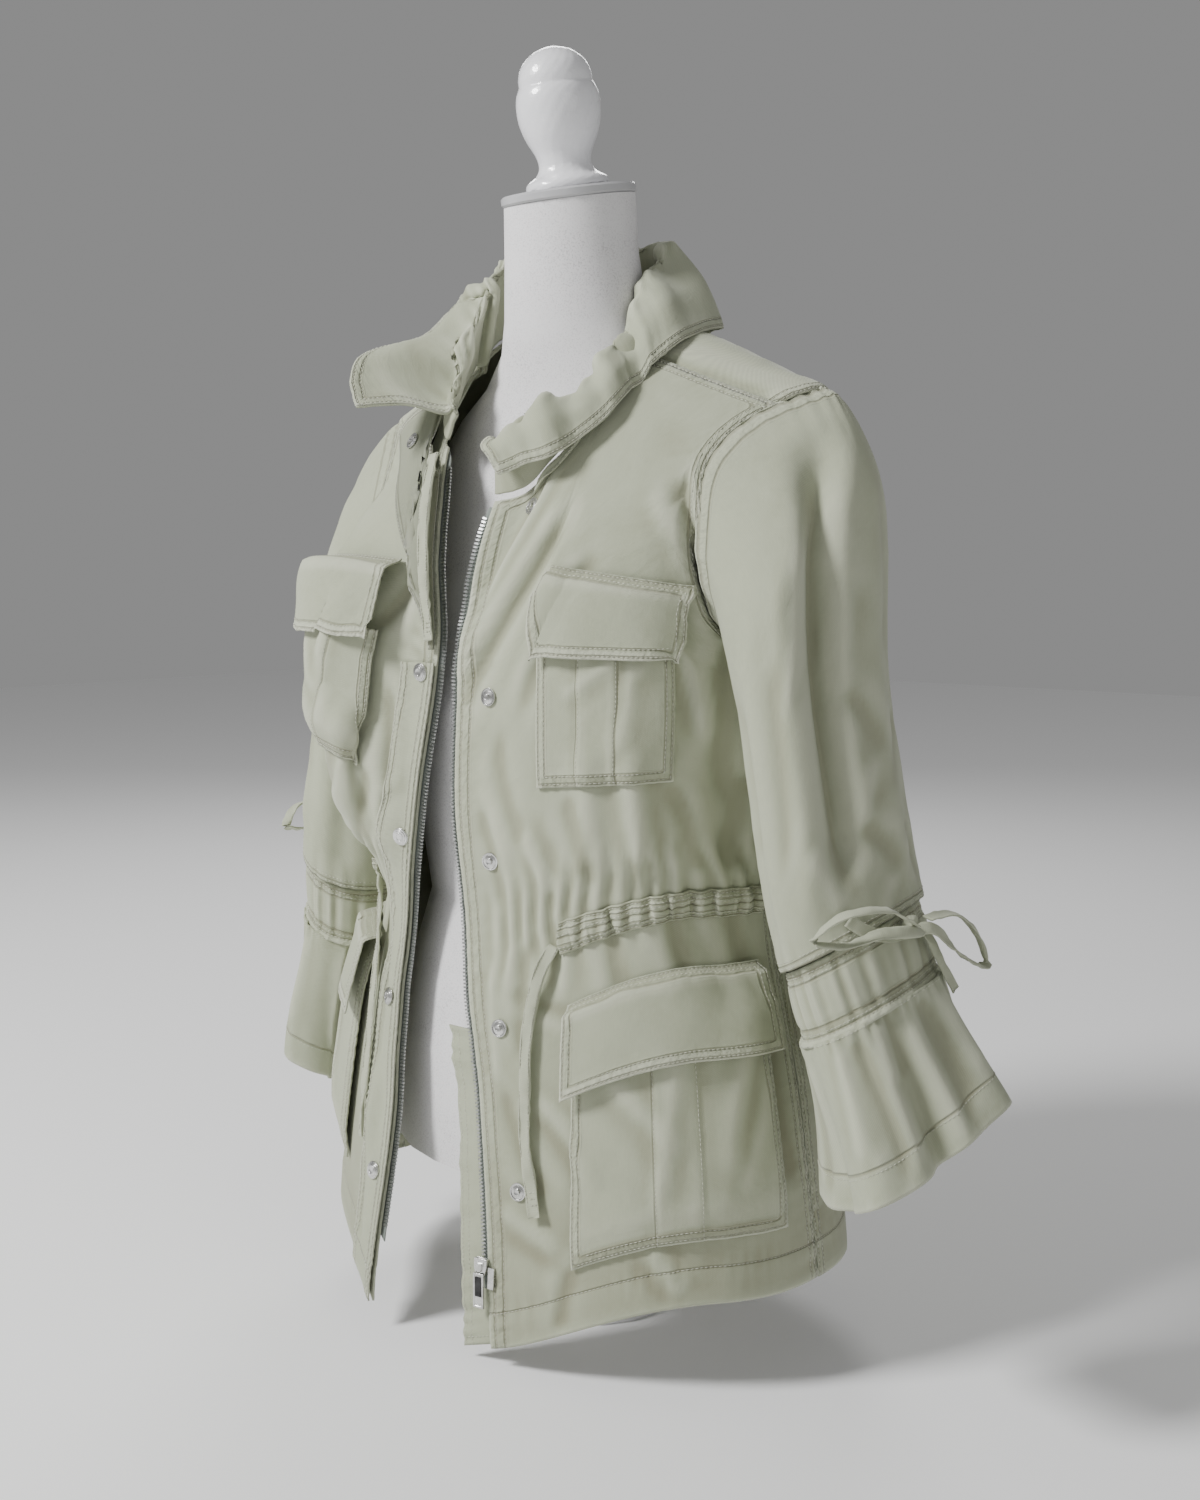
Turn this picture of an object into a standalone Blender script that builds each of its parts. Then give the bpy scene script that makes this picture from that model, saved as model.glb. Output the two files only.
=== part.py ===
import math

import bpy
import numpy as np

for item in list(bpy.data.objects):
    bpy.data.objects.remove(item, do_unlink=True)

# Lengths in metres. Turns in degrees round the body: 0 at the front, 90 at the wearer's left.
# A height is a level: 0 at the hem, 1 at the underarm, 2 on the shoulder ridge.
CLOTH = 0.0016
TRIM = 0.0011
SEAM_GAP = 0.0003
LAY_GAP = 0.0005
ARM_Z = 0.486
HEM_Z = 0.010
NECK_X = 0.075
NECK_Z = 0.724
RIDGE_DROP = 0.43
SHOULDER_SPREAD = 0.30
RIDGE_Y = 0.004
FRONT_YOKE_LEVEL = 1.90
BACK_YOKE_LEVEL = 1.50
FRONT_NECK_TURN = 27.0

BODY_RINGS = {
    "z": (0.006, 0.076, 0.156, 0.236, 0.300, 0.386, 0.486),
    "half_width": (0.211, 0.205, 0.195, 0.180, 0.165, 0.167, 0.172),
    "front": (0.146, 0.142, 0.136, 0.128, 0.119, 0.126, 0.125),
    "back": (0.142, 0.139, 0.134, 0.126, 0.114, 0.118, 0.121),
}
RING_POWER = 2.25

# How far a level rises from the front edge to the side seam, since the open fronts sag.
SIDE_RISE = {"level": (0.0, 0.5, 0.62, 0.80, 1.0), "rise": (0.055, 0.052, 0.038, 0.012, 0.0)}

# Turn of the armhole seam at each level above the underarm.
ARMHOLE = {
    "level": (1.0, 1.05, 1.14, 1.30, 1.50, 1.70, 1.85, 2.0),
    "front_turn": (89.7, 80.5, 71.5, 63.5, 57.0, 53.0, 57.0, 67.5),
    "back_turn": (89.7, 82.0, 76.0, 71.5, 69.5, 68.5, 68.0, 68.0),
}

# Turn of each front's free edge from its own side, so the wearer's left edge lies past the centre.
LEFT_EDGE = {
    "level": (0.0, 0.17, 0.35, 0.60, 0.80, 1.0, 1.47),
    "turn": (13.0, 11.0, 5.5, -6.5, -7.5, -6.0, 1.5),
}
RIGHT_EDGE = {
    "level": (0.0, 0.17, 0.35, 0.60, 0.80, 1.0, 1.30, 1.64),
    "turn": (27.0, 29.0, 31.0, 33.0, 24.0, 16.0, 17.5, 23.0),
}

# Soft troughs and ridges of the cloth: from one place to another on a front, half width in degrees, height.
FRONT_FOLDS = {
    "from_turn": (14.0, 60.0, 62.0, 50.0, 40.0, 66.0),
    "from_level": (1.52, 1.45, 0.98, 0.92, 0.88, 0.62),
    "to_turn": (-2.0, 66.0, 78.0, 54.0, 38.0, 74.0),
    "to_level": (1.12, 0.98, 0.66, 0.66, 0.67, 0.40),
    "half_width": (5.0, 7.0, 6.0, 5.0, 4.5, 6.0),
    "height": (-0.006, -0.007, -0.008, 0.005, 0.004, -0.006),
}
BACK_FOLDS = {
    "from_turn": (120.0, 205.0, 232.0, 150.0, 176.0, 212.0, 244.0),
    "from_level": (1.05, 1.08, 0.98, 0.60, 0.60, 0.58, 0.60),
    "to_turn": (132.0, 196.0, 220.0, 146.0, 178.0, 218.0, 240.0),
    "to_level": (0.68, 0.66, 0.68, 0.20, 0.10, 0.14, 0.20),
    "half_width": (6.0, 7.0, 6.0, 7.0, 8.0, 7.0, 6.0),
    "height": (-0.007, -0.006, -0.007, -0.007, -0.006, -0.007, -0.006),
}


def column(table, key, at):
    """Smooth value of a table's column at a place in its first column."""
    xs = np.array(table[next(iter(table))], float)
    ys = np.array(table[key], float)
    slopes = np.gradient(ys, xs)
    at = np.clip(np.asarray(at, float), xs[0], xs[-1])
    i = np.clip(np.searchsorted(xs, at, side="right") - 1, 0, len(xs) - 2)
    span = xs[i + 1] - xs[i]
    t = (at - xs[i]) / span
    first = (2 * t**3 - 3 * t**2 + 1) * ys[i] + (t**3 - 2 * t**2 + t) * span * slopes[i]
    return first + (3 * t**2 - 2 * t**3) * ys[i + 1] + (t**3 - t**2) * span * slopes[i + 1]


def ease(t):
    t = np.clip(t, 0, 1)
    return t * t * (3 - 2 * t)


def ring_xy(turn, z):
    """Point of the body's horizontal ring at a height."""
    a = np.radians(turn)
    width = column(BODY_RINGS, "half_width", z)
    depth = np.where(np.cos(a) > 0, column(BODY_RINGS, "front", z), column(BODY_RINGS, "back", z))
    power = RING_POWER
    reach = (np.abs(np.sin(a) / width) ** power + np.abs(np.cos(a) / depth) ** power) ** (-1 / power)
    return reach * np.sin(a), -reach * np.cos(a)


def level_z(turn, level):
    """Height of a level below the underarm."""
    side = ease((180 - np.abs(np.mod(turn, 360) - 180) - 4) / 62)
    return HEM_Z + (ARM_Z - HEM_Z) * level + column(SIDE_RISE, "rise", level) * side


def body_point(turn, level):
    """Point of the jacket's body before folds, on a turn and a level."""
    turn, level = np.broadcast_arrays(np.asarray(turn, float), np.asarray(level, float))
    low_z = level_z(turn, np.minimum(level, 1.0))
    x, y = ring_xy(turn, low_z)
    top_x, top_y = ring_xy(turn, ARM_Z)
    ridge_x = top_x * (1 + SHOULDER_SPREAD)
    ridge_z = NECK_Z - RIDGE_DROP * np.maximum(np.abs(ridge_x) - NECK_X, 0)
    t = np.clip(level - 1, 0, 1)
    front = top_y < 0
    fall = np.where(front, (1 - t**2.1) ** 0.72, (1 - t**3.0) ** 0.62)
    high_x = top_x * (1 + SHOULDER_SPREAD * ease(t))
    high_y = RIDGE_Y + (top_y - RIDGE_Y) * fall
    high_z = ARM_Z + t * (ridge_z - ARM_Z)
    above = level > 1
    return np.stack(
        [np.where(above, high_x, x), np.where(above, high_y, y), np.where(above, high_z, low_z)], -1
    )


def shoulder_point(ridge_x, over):
    """Point of the shoulders by its place along the ridge and how far over it: under 0 is in front."""
    ridge_x, over = np.broadcast_arrays(np.asarray(ridge_x, float), np.asarray(over, float))
    front_turns = np.linspace(0, 90, 181)
    front_x = ring_xy(front_turns, ARM_Z)[0] * (1 + SHOULDER_SPREAD)
    back_turns = np.linspace(180, 90, 181)
    back_x = ring_xy(back_turns, ARM_Z)[0] * (1 + SHOULDER_SPREAD)
    size = np.abs(ridge_x)
    turn = np.where(over < 0, np.interp(size, front_x, front_turns), np.interp(size, back_x, back_turns))
    point = body_point(turn, 2 - np.abs(over))
    point[..., 0] *= np.where(ridge_x < 0, -1, 1)
    return point


def fold_height(folds, turn, level):
    """Sum of the soft folds at a place."""
    total = np.zeros(np.broadcast(turn, level).shape)
    for i in range(len(folds["height"])):
        start = np.array([folds["from_turn"][i], folds["from_level"][i] * 100])
        along = np.array([folds["to_turn"][i], folds["to_level"][i] * 100]) - start
        place = np.stack(np.broadcast_arrays(turn, np.asarray(level) * 100), -1) - start
        share = np.clip((place @ along) / (along @ along), -0.15, 1.15)
        away = np.linalg.norm(place - share[..., None] * along, axis=-1) / folds["half_width"][i]
        fade = ease((share + 0.15) / 0.3) * ease((1.15 - share) / 0.3)
        total = total + folds["height"][i] * np.exp(-(away**2)) * fade
    return total


def grid_normals(points, wraps=False):
    """Unit normals of a grid of points: columns run anticlockwise from above and rows run up."""
    if wraps:
        across = np.roll(points, -1, 1) - np.roll(points, 1, 1)
    else:
        across = np.gradient(points, axis=1)
    normals = np.cross(across, np.gradient(points, axis=0))
    return normals / np.maximum(np.linalg.norm(normals, axis=-1, keepdims=True), 1e-12)


def material(name, colour, roughness, metallic=0.0):
    made = bpy.data.materials.new(name)
    made.use_nodes = True
    shader = made.node_tree.nodes["Principled BSDF"]
    shader.inputs["Base Color"].default_value = (*colour, 1.0)
    shader.inputs["Roughness"].default_value = roughness
    shader.inputs["Metallic"].default_value = metallic
    return made


CLOTH_COLOUR = (0.44, 0.45, 0.36)
TAPE_COLOUR = (0.22, 0.24, 0.22)
METAL_COLOUR = (0.62, 0.62, 0.60)
FORM_COLOUR = (0.78, 0.76, 0.76)
GLOSS_COLOUR = (0.86, 0.86, 0.87)
STAND_COLOUR = (0.80, 0.80, 0.80)


def build(name, points, faces, look, smooth=True):
    """Adds one solid from its points and faces, turned outwards, with a material of its own."""
    points = np.asarray(points, float)
    volume = sum(
        points[face[0]] @ np.cross(points[face[k]], points[face[k + 1]])
        for face in faces
        for k in range(1, len(face) - 1)
    )
    if volume < 0:
        faces = [face[::-1] for face in faces]
    triangles = [(face[0], face[k], face[k + 1]) for face in faces for k in range(1, len(face) - 1)]
    mesh = bpy.data.meshes.new(name)
    mesh.from_pydata([tuple(p) for p in points], [], triangles)
    mesh.update()
    mesh.materials.append(material(name, *look))
    for polygon in mesh.polygons:
        polygon.use_smooth = smooth
    solid = bpy.data.objects.new(name, mesh)
    bpy.context.scene.collection.objects.link(solid)
    return solid


CLOTH_LOOK = (CLOTH_COLOUR, 0.9)
TAPE_LOOK = (TAPE_COLOUR, 0.8)
METAL_LOOK = (METAL_COLOUR, 0.3, 1.0)


def wall(name, points, thick, wraps=False, normals=None, look=CLOTH_LOOK):
    """A closed wall whose outer face is a grid of points."""
    points = np.asarray(points, float)
    if normals is None:
        normals = grid_normals(points, wraps)
    inner = points - normals * thick
    rows, cols = points.shape[:2]
    count = rows * cols
    faces = []
    last = cols if wraps else cols - 1
    for r in range(rows - 1):
        for c in range(last):
            n = (c + 1) % cols
            a, b, d, e = r * cols + c, r * cols + n, (r + 1) * cols + n, (r + 1) * cols + c
            faces.append((a, b, d, e))
            faces.append((count + a, count + e, count + d, count + b))
    for c in range(last):
        n = (c + 1) % cols
        faces.append((c, count + c, count + n, n))
        top = (rows - 1) * cols
        faces.append((top + n, count + top + n, count + top + c, top + c))
    if not wraps:
        for r in range(rows - 1):
            a, b = r * cols, (r + 1) * cols
            faces.append((b, count + b, count + a, a))
            a, b = r * cols + cols - 1, (r + 1) * cols + cols - 1
            faces.append((a, count + a, count + b, b))
    return build(name, np.concatenate([points.reshape(-1, 3), inner.reshape(-1, 3)]), faces, look)


def mirrored(points):
    """The grid on the other side of the body, with its columns still anticlockwise."""
    return points[:, ::-1] * np.array([-1.0, 1.0, 1.0])


class Panel:
    """A cloth panel's outer face, kept with its own coordinates so that pieces can lie on it."""

    def __init__(self, points, columns, levels, turns=None):
        self.points = points
        self.normals = grid_normals(points)
        self.turns = turns
        self.columns = np.asarray(columns, float)
        self.levels = np.asarray(levels, float)

    def at(self, columns, levels):
        """Points and normals at each column and level of the panel, read across its faces."""
        c = np.clip(np.asarray(columns, float), self.columns[0], self.columns[-1])
        v = np.clip(np.asarray(levels, float), self.levels[0], self.levels[-1])
        i = np.clip(np.searchsorted(self.columns, c, side="right") - 1, 0, len(self.columns) - 2)
        j = np.clip(np.searchsorted(self.levels, v, side="right") - 1, 0, len(self.levels) - 2)
        s = ((c - self.columns[i]) / (self.columns[i + 1] - self.columns[i]))[..., None]
        t = ((v - self.levels[j]) / (self.levels[j + 1] - self.levels[j]))[..., None]
        read = []
        for grid in (self.points, self.normals):
            low = grid[j, i] * (1 - s) + grid[j, i + 1] * s
            high = grid[j + 1, i] * (1 - s) + grid[j + 1, i + 1] * s
            read.append(low * (1 - t) + high * t)
        read[1] = read[1] / np.linalg.norm(read[1], axis=-1, keepdims=True)
        return read

    def share_at(self, turn, level):
        """The column that lies on a turn, at a level."""
        row = [np.interp(level, self.levels, self.turns[:, k]) for k in range(len(self.columns))]
        if row[0] > row[-1]:
            return float(np.interp(turn, row[::-1], self.columns[::-1]))
        return float(np.interp(turn, row, self.columns))

    def lines(self, own, low, high, extra=()):
        """The panel's own grid lines between two places, with the ends and some more."""
        inside = [v for v in own if low + 1e-6 < v < high - 1e-6]
        wanted = sorted({round(float(v), 7) for v in [low, high, *inside, *extra] if low <= v <= high})
        kept = [wanted[0]]
        for value in wanted[1:]:
            if value - kept[-1] > 0.004:
                kept.append(value)
        kept[-1] = wanted[-1]
        return np.array(kept)


def patch(name, panel, columns, levels, lift, thick=TRIM, look=CLOTH_LOOK):
    """A piece lying on a panel. Lift gives the height of its outer face above the panel's."""
    columns, levels = np.asarray(columns, float), np.asarray(levels, float)
    c, v = (columns, levels) if columns.ndim == 2 else np.meshgrid(columns, levels)
    points, normals = panel.at(c, v)
    return wall(name, points + normals * lift(c, v)[..., None], thick, normals=normals, look=look)


# ---- fronts ----
FRONT_SHARES = np.array(
    [0, 0.045, 0.09, 0.135, 0.19, 0.25, 0.31, 0.37, 0.43, 0.50, 0.57, 0.64, 0.71, 0.78, 0.85, 0.93, 1.0]
)
STRAIGHT_SHARE = 0.55
FRONT_LEVELS = np.array(
    [0, 0.055, 0.14, 0.24, 0.34, 0.44, 0.52, 0.58, 0.65, 0.74, 0.85, 1.0, 1.13, 1.30, 1.50, 1.72, 2.0]
)

# The right front swings out from the body in a broad fold below the chest.
RIGHT_BULGE = {"height": 0.044, "turn": 58.0, "half_width": 19.0}


def front_grid(edge, neck_level, side):
    """Outer face of a front, drawn on the wearer's left. Levels over 1 stretch to the neck and yoke seam."""
    share, level = np.meshgrid(FRONT_SHARES, FRONT_LEVELS)
    true_level = np.minimum(level, 1.0)
    edge_top = float(column(edge, "turn", edge["level"][-1]))
    for _ in range(12):
        start = column(edge, "turn", true_level)
        end = np.where(true_level > 1, column(ARMHOLE, "front_turn", true_level), 89.9)
        reach = np.minimum((89.9 - start) / (end - start) * STRAIGHT_SHARE, 0.92)
        outer_share = np.clip((share - STRAIGHT_SHARE) / (1 - STRAIGHT_SHARE), 0, 1)
        inner_share = np.minimum(share / STRAIGHT_SHARE, 1)
        turn = start + (end - start) * (reach * inner_share + (1 - reach) * outer_share)
        in_neck = np.clip((turn - edge_top) / (FRONT_NECK_TURN - edge_top), 0, 1)
        top = neck_level + (FRONT_YOKE_LEVEL - neck_level) * (1 - np.sqrt(1 - in_neck**2))
        true_level = np.where(level > 1, 1 + (top - 1) * (level - 1), level)
    points = body_point(turn, true_level)
    points = points + grid_normals(points) * fold_height(FRONT_FOLDS, turn, true_level)[..., None]
    near_edge = np.clip(1 - share / 0.45, 0, 1) ** 2
    lower = np.clip(1 - true_level / 0.75, 0, 1)
    sway = (0.004 if side > 0 else 0.010) * np.sin(true_level * 9 + (0.4 if side > 0 else 1.7))
    hang = 0.0 if side > 0 else 0.009 * ease(lower * 1.6) * ease((1 - share) / 0.12)
    window = ease((true_level - 0.50) / 0.35) * ease((1.66 - true_level) / 0.40)
    window = window * ease((0.93 - share) / 0.16)
    away = (turn - RIGHT_BULGE["turn"]) / RIGHT_BULGE["half_width"]
    bulge = 0.0 if side > 0 else RIGHT_BULGE["height"] * np.exp(-(away**2)) * window
    points = points + grid_normals(points) * (near_edge * lower * sway + hang + bulge)[..., None]
    points[..., 2] -= 0.0 if side > 0 else 0.007 * near_edge * lower
    return points, turn


left_front, left_turns = front_grid(LEFT_EDGE, 1.47, 1)
right_front, right_turns = front_grid(RIGHT_EDGE, 1.64, -1)
right_front = mirrored(right_front)
wall("front_left", left_front, CLOTH)
wall("front_right", right_front, CLOTH)
LEFT = Panel(left_front, FRONT_SHARES, FRONT_LEVELS, left_turns)
# On the right the columns run from the side seam, at 0, to the free edge, at 1.
RIGHT_SHARES = 1 - FRONT_SHARES[::-1]
RIGHT = Panel(right_front, RIGHT_SHARES, FRONT_LEVELS, right_turns[:, ::-1])

# ---- back and yoke ----
BACK_COLUMNS = np.linspace(90, 270, 22)
BACK_LEVELS = np.array([0, 0.055, 0.18, 0.33, 0.46, 0.55, 0.605, 0.70, 0.85, 1.0, 1.3, 1.65, 2.0])


def back_grid():
    column_turn, level = np.meshgrid(BACK_COLUMNS, BACK_LEVELS)
    true_level = np.where(level > 1, 1 + (BACK_YOKE_LEVEL - 1) * (level - 1), level)
    start = np.where(true_level > 1, 180 - column(ARMHOLE, "back_turn", true_level), 90.15)
    turn = start + (360 - 2 * start) * (column_turn - 90) / 180
    points = body_point(turn, true_level)
    return points + grid_normals(points) * fold_height(BACK_FOLDS, turn, true_level)[..., None]


back_points = back_grid()
wall("back", back_points, CLOTH)
BACK = Panel(back_points, BACK_COLUMNS, BACK_LEVELS)

YOKE_NECK = {
    "over": (-0.10, -0.05, 0.0, 0.035, 0.070, 0.092, 0.100),
    "x": (0.0775, 0.0760, 0.0750, 0.0700, 0.0520, 0.0280, 0.0),
}
YOKE_GAP = 0.006


def yoke_rim():
    """The yoke's outer edge in its own plan: up the armhole, over the tip and down to the back seam."""
    levels = np.concatenate([np.linspace(FRONT_YOKE_LEVEL, 2, 4), np.linspace(2, BACK_YOKE_LEVEL, 6)[1:]])
    front = np.arange(len(levels)) < 4
    front_turns = column(ARMHOLE, "front_turn", levels)
    back_turns = 180 - column(ARMHOLE, "back_turn", levels)
    turns = np.where(front, front_turns, back_turns)
    x = ring_xy(turns, ARM_Z)[0] * (1 + SHOULDER_SPREAD) - 0.0012
    over = np.where(front, levels - 2, 2 - levels)
    return {"x": np.append(x, 0.0), "over": np.append(over, 2 - BACK_YOKE_LEVEL)}


def even_line(table, count):
    """Points of a table's polyline, evenly spaced."""
    line = np.stack([np.array(table["x"], float), np.array(table["over"], float)], -1)
    steps = np.linalg.norm(np.diff(line, axis=0) * np.array([1.0, 0.24]), axis=1)
    along = np.concatenate([[0], np.cumsum(steps)])
    wanted = np.linspace(0, along[-1], count)
    return np.stack([np.interp(wanted, along, line[:, k]) for k in range(2)], -1)


def yoke_grid(half_count, rows):
    """A fan from the neckline to the armholes and the back seam, from the left front round to the right."""
    inner = even_line(YOKE_NECK, half_count)
    outer = even_line(yoke_rim(), half_count)
    outer[:, 1] = np.minimum(outer[:, 1], 2 - BACK_YOKE_LEVEL - YOKE_GAP)
    inner[:, 1] = np.maximum(inner[:, 1], FRONT_YOKE_LEVEL - 2 + YOKE_GAP)
    outer[:, 1] = np.maximum(outer[:, 1], FRONT_YOKE_LEVEL - 2 + YOKE_GAP)
    share = np.linspace(0, 1, rows)[:, None, None]
    half = inner[None] * share + outer[None] * (1 - share)
    other = half[:, -2::-1] * np.array([-1.0, 1.0])
    plan = np.concatenate([half, other], 1)
    return shoulder_point(plan[..., 0], plan[..., 1])


yoke_points = yoke_grid(13, 6)
wall("yoke", yoke_points, CLOTH)
YOKE = Panel(yoke_points, np.linspace(0, 1, yoke_points.shape[1]), np.linspace(0, 1, 6))

# ---- sleeves ----
SLEEVE_RINGS = {
    "z": (0.086, 0.186, 0.266, 0.331, 0.406, 0.486, 0.556, 0.686),
    "out_left": (0.318, 0.294, 0.261, 0.240, 0.223, 0.208, 0.200, 0.197),
    "out_right": (0.243, 0.238, 0.232, 0.228, 0.221, 0.212, 0.204, 0.198),
    "ahead_left": (0.014, 0.016, 0.022, 0.025, 0.023, 0.020, 0.014, 0.005),
    "ahead_right": (0.006, 0.008, 0.010, 0.008, 0.004, 0.000, 0.000, 0.002),
    "wide_left": (0.074, 0.062, 0.049, 0.045, 0.044, 0.043, 0.045, 0.045),
    "wide_right": (0.056, 0.051, 0.043, 0.045, 0.044, 0.043, 0.045, 0.045),
    "deep": (0.080, 0.072, 0.062, 0.066, 0.066, 0.066, 0.068, 0.066),
}
CUFF_CLEAR = {"left": 0.018, "right": 0.044}
CUFF_DROP = {"left": 0.136, "right": 0.148}
SLEEVE_TILT = 0.023
TILT_TURN = 115.0
SLEEVE_END_Z = 0.316
SLEEVE_FOLDS = {
    "turn": (56.0, 24.0, 96.0, 150.0, 215.0, 330.0),
    "half_width": (10.0, 9.0, 12.0, 13.0, 14.0, 12.0),
    "height": (-0.015, 0.003, 0.004, -0.008, -0.007, -0.004),
    "from_share": (0.05, 0.20, 0.10, 0.15, 0.30, 0.25),
    "to_share": (0.92, 0.95, 0.98, 0.95, 0.92, 0.98),
}


def sleeve_fold(turn, share):
    total = np.zeros(np.broadcast(turn, share).shape)
    for i in range(len(SLEEVE_FOLDS["turn"])):
        away = (np.mod(turn - SLEEVE_FOLDS["turn"][i] + 180, 360) - 180) / SLEEVE_FOLDS["half_width"][i]
        start, end = SLEEVE_FOLDS["from_share"][i], SLEEVE_FOLDS["to_share"][i]
        fade = ease((share - start) / 0.12) * ease((end - share) / 0.10)
        total = total + SLEEVE_FOLDS["height"][i] * np.exp(-(away**2)) * fade
    return total


def off_body(points, gap, side):
    """The points moved outwards, where needed, to stay off the jacket's body."""
    x, y, z = np.moveaxis(points, -1, 0)
    depth = np.where(y < 0, column(BODY_RINGS, "front", z), column(BODY_RINGS, "back", z))
    reach = np.clip(1 - np.abs(y / depth) ** RING_POWER, 0, 1) ** (1 / RING_POWER)
    limit = column(BODY_RINGS, "half_width", z) * reach + gap
    if side == "right":
        limit = limit + 0.036 * np.exp(-(((y + 0.095) / 0.055) ** 2)) * ease((z - 0.25) / 0.1)
    moved = points.copy()
    moved[..., 0] = np.where(z < ARM_Z + 0.09, np.maximum(x, limit), x)
    return moved


def sleeve_ring(turn, z, side):
    """Point of the sleeve's section at a height, pressed flat where it meets the body."""
    a = np.radians(turn)
    wide = column(SLEEVE_RINGS, f"wide_{side}", z)
    deep = column(SLEEVE_RINGS, "deep", z)
    x = column(SLEEVE_RINGS, f"out_{side}", z) + wide * np.sin(a)
    y = -column(SLEEVE_RINGS, f"ahead_{side}", z) - deep * np.cos(a)
    return x, y


def tilted(turn, z):
    return z + SLEEVE_TILT * np.cos(np.radians(turn - TILT_TURN))


def armhole_point(turn):
    """Point of the armhole seam for a turn about the sleeve: 90 at the shoulder tip, 270 under the arm."""
    turn = np.mod(turn, 360)
    level = 1 + (1 + np.sin(np.radians(turn))) / 2
    in_front = np.cos(np.radians(turn)) > 0
    body_turn = np.where(
        in_front, column(ARMHOLE, "front_turn", level), 180 - column(ARMHOLE, "back_turn", level)
    )
    return body_point(body_turn, level)


def sleeve_grid(turns, shares, side):
    """Outer face of a sleeve, rows from its hem up to the armhole."""
    turn, share = np.meshgrid(turns, shares)
    top = armhole_point(turn)
    outward = np.stack([np.ones_like(turn), np.zeros_like(turn), np.zeros_like(turn)], -1)
    top = top + outward * 0.0024
    z = top[..., 2] + (tilted(turn, SLEEVE_END_Z) - top[..., 2]) * share
    ring_x, ring_y = sleeve_ring(turn, z, side)
    blend = 1 - (1 - np.clip(share / 0.30, 0, 1)) ** 2
    x = top[..., 0] + (ring_x - top[..., 0]) * blend
    y = top[..., 1] + (ring_y - top[..., 1]) * blend
    puff = np.sin(np.pi * np.clip(share / 0.26, 0, 1)) * np.clip(np.sin(np.radians(turn)), 0, 1) ** 4
    points = np.stack([x + 0.004 * puff, y, z + 0.003 * puff], -1)[::-1]
    points = points + grid_normals(points, True) * sleeve_fold(turn, share)[::-1][..., None]
    near = 0.0005 + 0.0055 * np.clip(share[::-1] / 0.15, 0, 1)
    return np.where((points[..., 2] < ARM_Z)[..., None], off_body(points, near, side), points)


SLEEVE_TURNS = np.concatenate([np.arange(0, 120, 12.0), np.arange(120, 360, 20.0)])
SLEEVE_SHARES = np.array([0, 0.035, 0.08, 0.14, 0.21, 0.30, 0.42, 0.55, 0.68, 0.80, 0.90, 0.955, 1.0])
CUFF_TURNS = np.arange(0, 360, 10.0)
CASING_DROP = 0.044
CUFF_WAVES = {
    "turn": (8.0, 52.0, 100.0, 146.0, 192.0, 238.0, 286.0, 332.0),
    "half_width": (13.0, 11.0, 14.0, 13.0, 12.0, 14.0, 13.0, 12.0),
    "height": (0.009, -0.019, 0.012, -0.012, 0.011, -0.012, 0.008, -0.010),
}


def cuff_grid(turns, drops, side):
    """Outer face of the cuff below the sleeve's hem, rows from its own hem up."""
    turn, drop = np.meshgrid(turns, drops)
    below = np.clip((drop - CASING_DROP) / (CUFF_DROP[side] - CASING_DROP), 0, 1)
    lean = 0.012 * np.cos(np.radians(turn - 130)) * below
    z = tilted(turn, SLEEVE_END_Z - drop) + lean
    x, y = sleeve_ring(turn, z, side)
    points = np.stack([x, y, z], -1)[::-1]
    wave = np.zeros_like(turn)
    for i in range(len(CUFF_WAVES["turn"])):
        away = (np.mod(turn - CUFF_WAVES["turn"][i] + 180, 360) - 180) / CUFF_WAVES["half_width"][i]
        wave += CUFF_WAVES["height"][i] * np.exp(-(away**2))
    wave *= ease((drop - CASING_DROP) / (CUFF_DROP[side] - CASING_DROP)) * 0.8 + 0.2 * (drop > CASING_DROP)
    points = points + grid_normals(points, True) * wave[::-1][..., None]
    return off_body(points, CUFF_CLEAR[side], side)


CASING_TURNS = np.arange(0, 360, 9.0)


def cuff_casing_grid(side):
    """The gathered drawcord channel round the top of the cuff, standing just proud of it."""
    drops = np.array([0.0, 0.014, 0.029, 0.0435])
    turn, drop = np.meshgrid(CASING_TURNS, drops)
    z = tilted(turn, SLEEVE_END_Z - SEAM_GAP * 3 - drop)
    x, y = sleeve_ring(turn, z, side)
    points = np.stack([x, y, z], -1)[::-1]
    gather = np.where(np.arange(len(CASING_TURNS)) % 2 == 0, 1.0, -1.0)[None, :]
    swell = np.sin(np.pi * np.clip(drop / 0.0435, 0, 1))[::-1]
    size = 0.0015 * gather * (0.4 + 0.6 * swell) + 0.0025 * swell - 0.004
    points = points + grid_normals(points, True) * size[..., None]
    return off_body(points, CUFF_CLEAR[side] * 0.6 + size, side)


def both_sides(name, grid, thick, wraps=False, look=CLOTH_LOOK):
    wall(f"{name}_left", grid[0], thick, wraps=wraps, look=look)
    wall(f"{name}_right", grid[1], thick, wraps=wraps, look=look)


def mirrored_tube(points):
    """A tube's grid on the other side, with its columns still anticlockwise."""
    return np.roll(points[:, ::-1], 1, 1) * np.array([-1.0, 1.0, 1.0])


left_sleeve = sleeve_grid(SLEEVE_TURNS, SLEEVE_SHARES, "left")
right_sleeve = mirrored_tube(sleeve_grid(SLEEVE_TURNS, SLEEVE_SHARES, "right"))
both_sides("sleeve", (left_sleeve, right_sleeve), CLOTH, True)
CUFF_GAP = 0.0014
CUFF_SHARES = np.array([0.0, 0.15, 0.38, 0.68, 1.0])


def cuff_drops(side):
    return CASING_DROP + CUFF_GAP + (CUFF_DROP[side] - CASING_DROP - CUFF_GAP) * CUFF_SHARES


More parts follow.
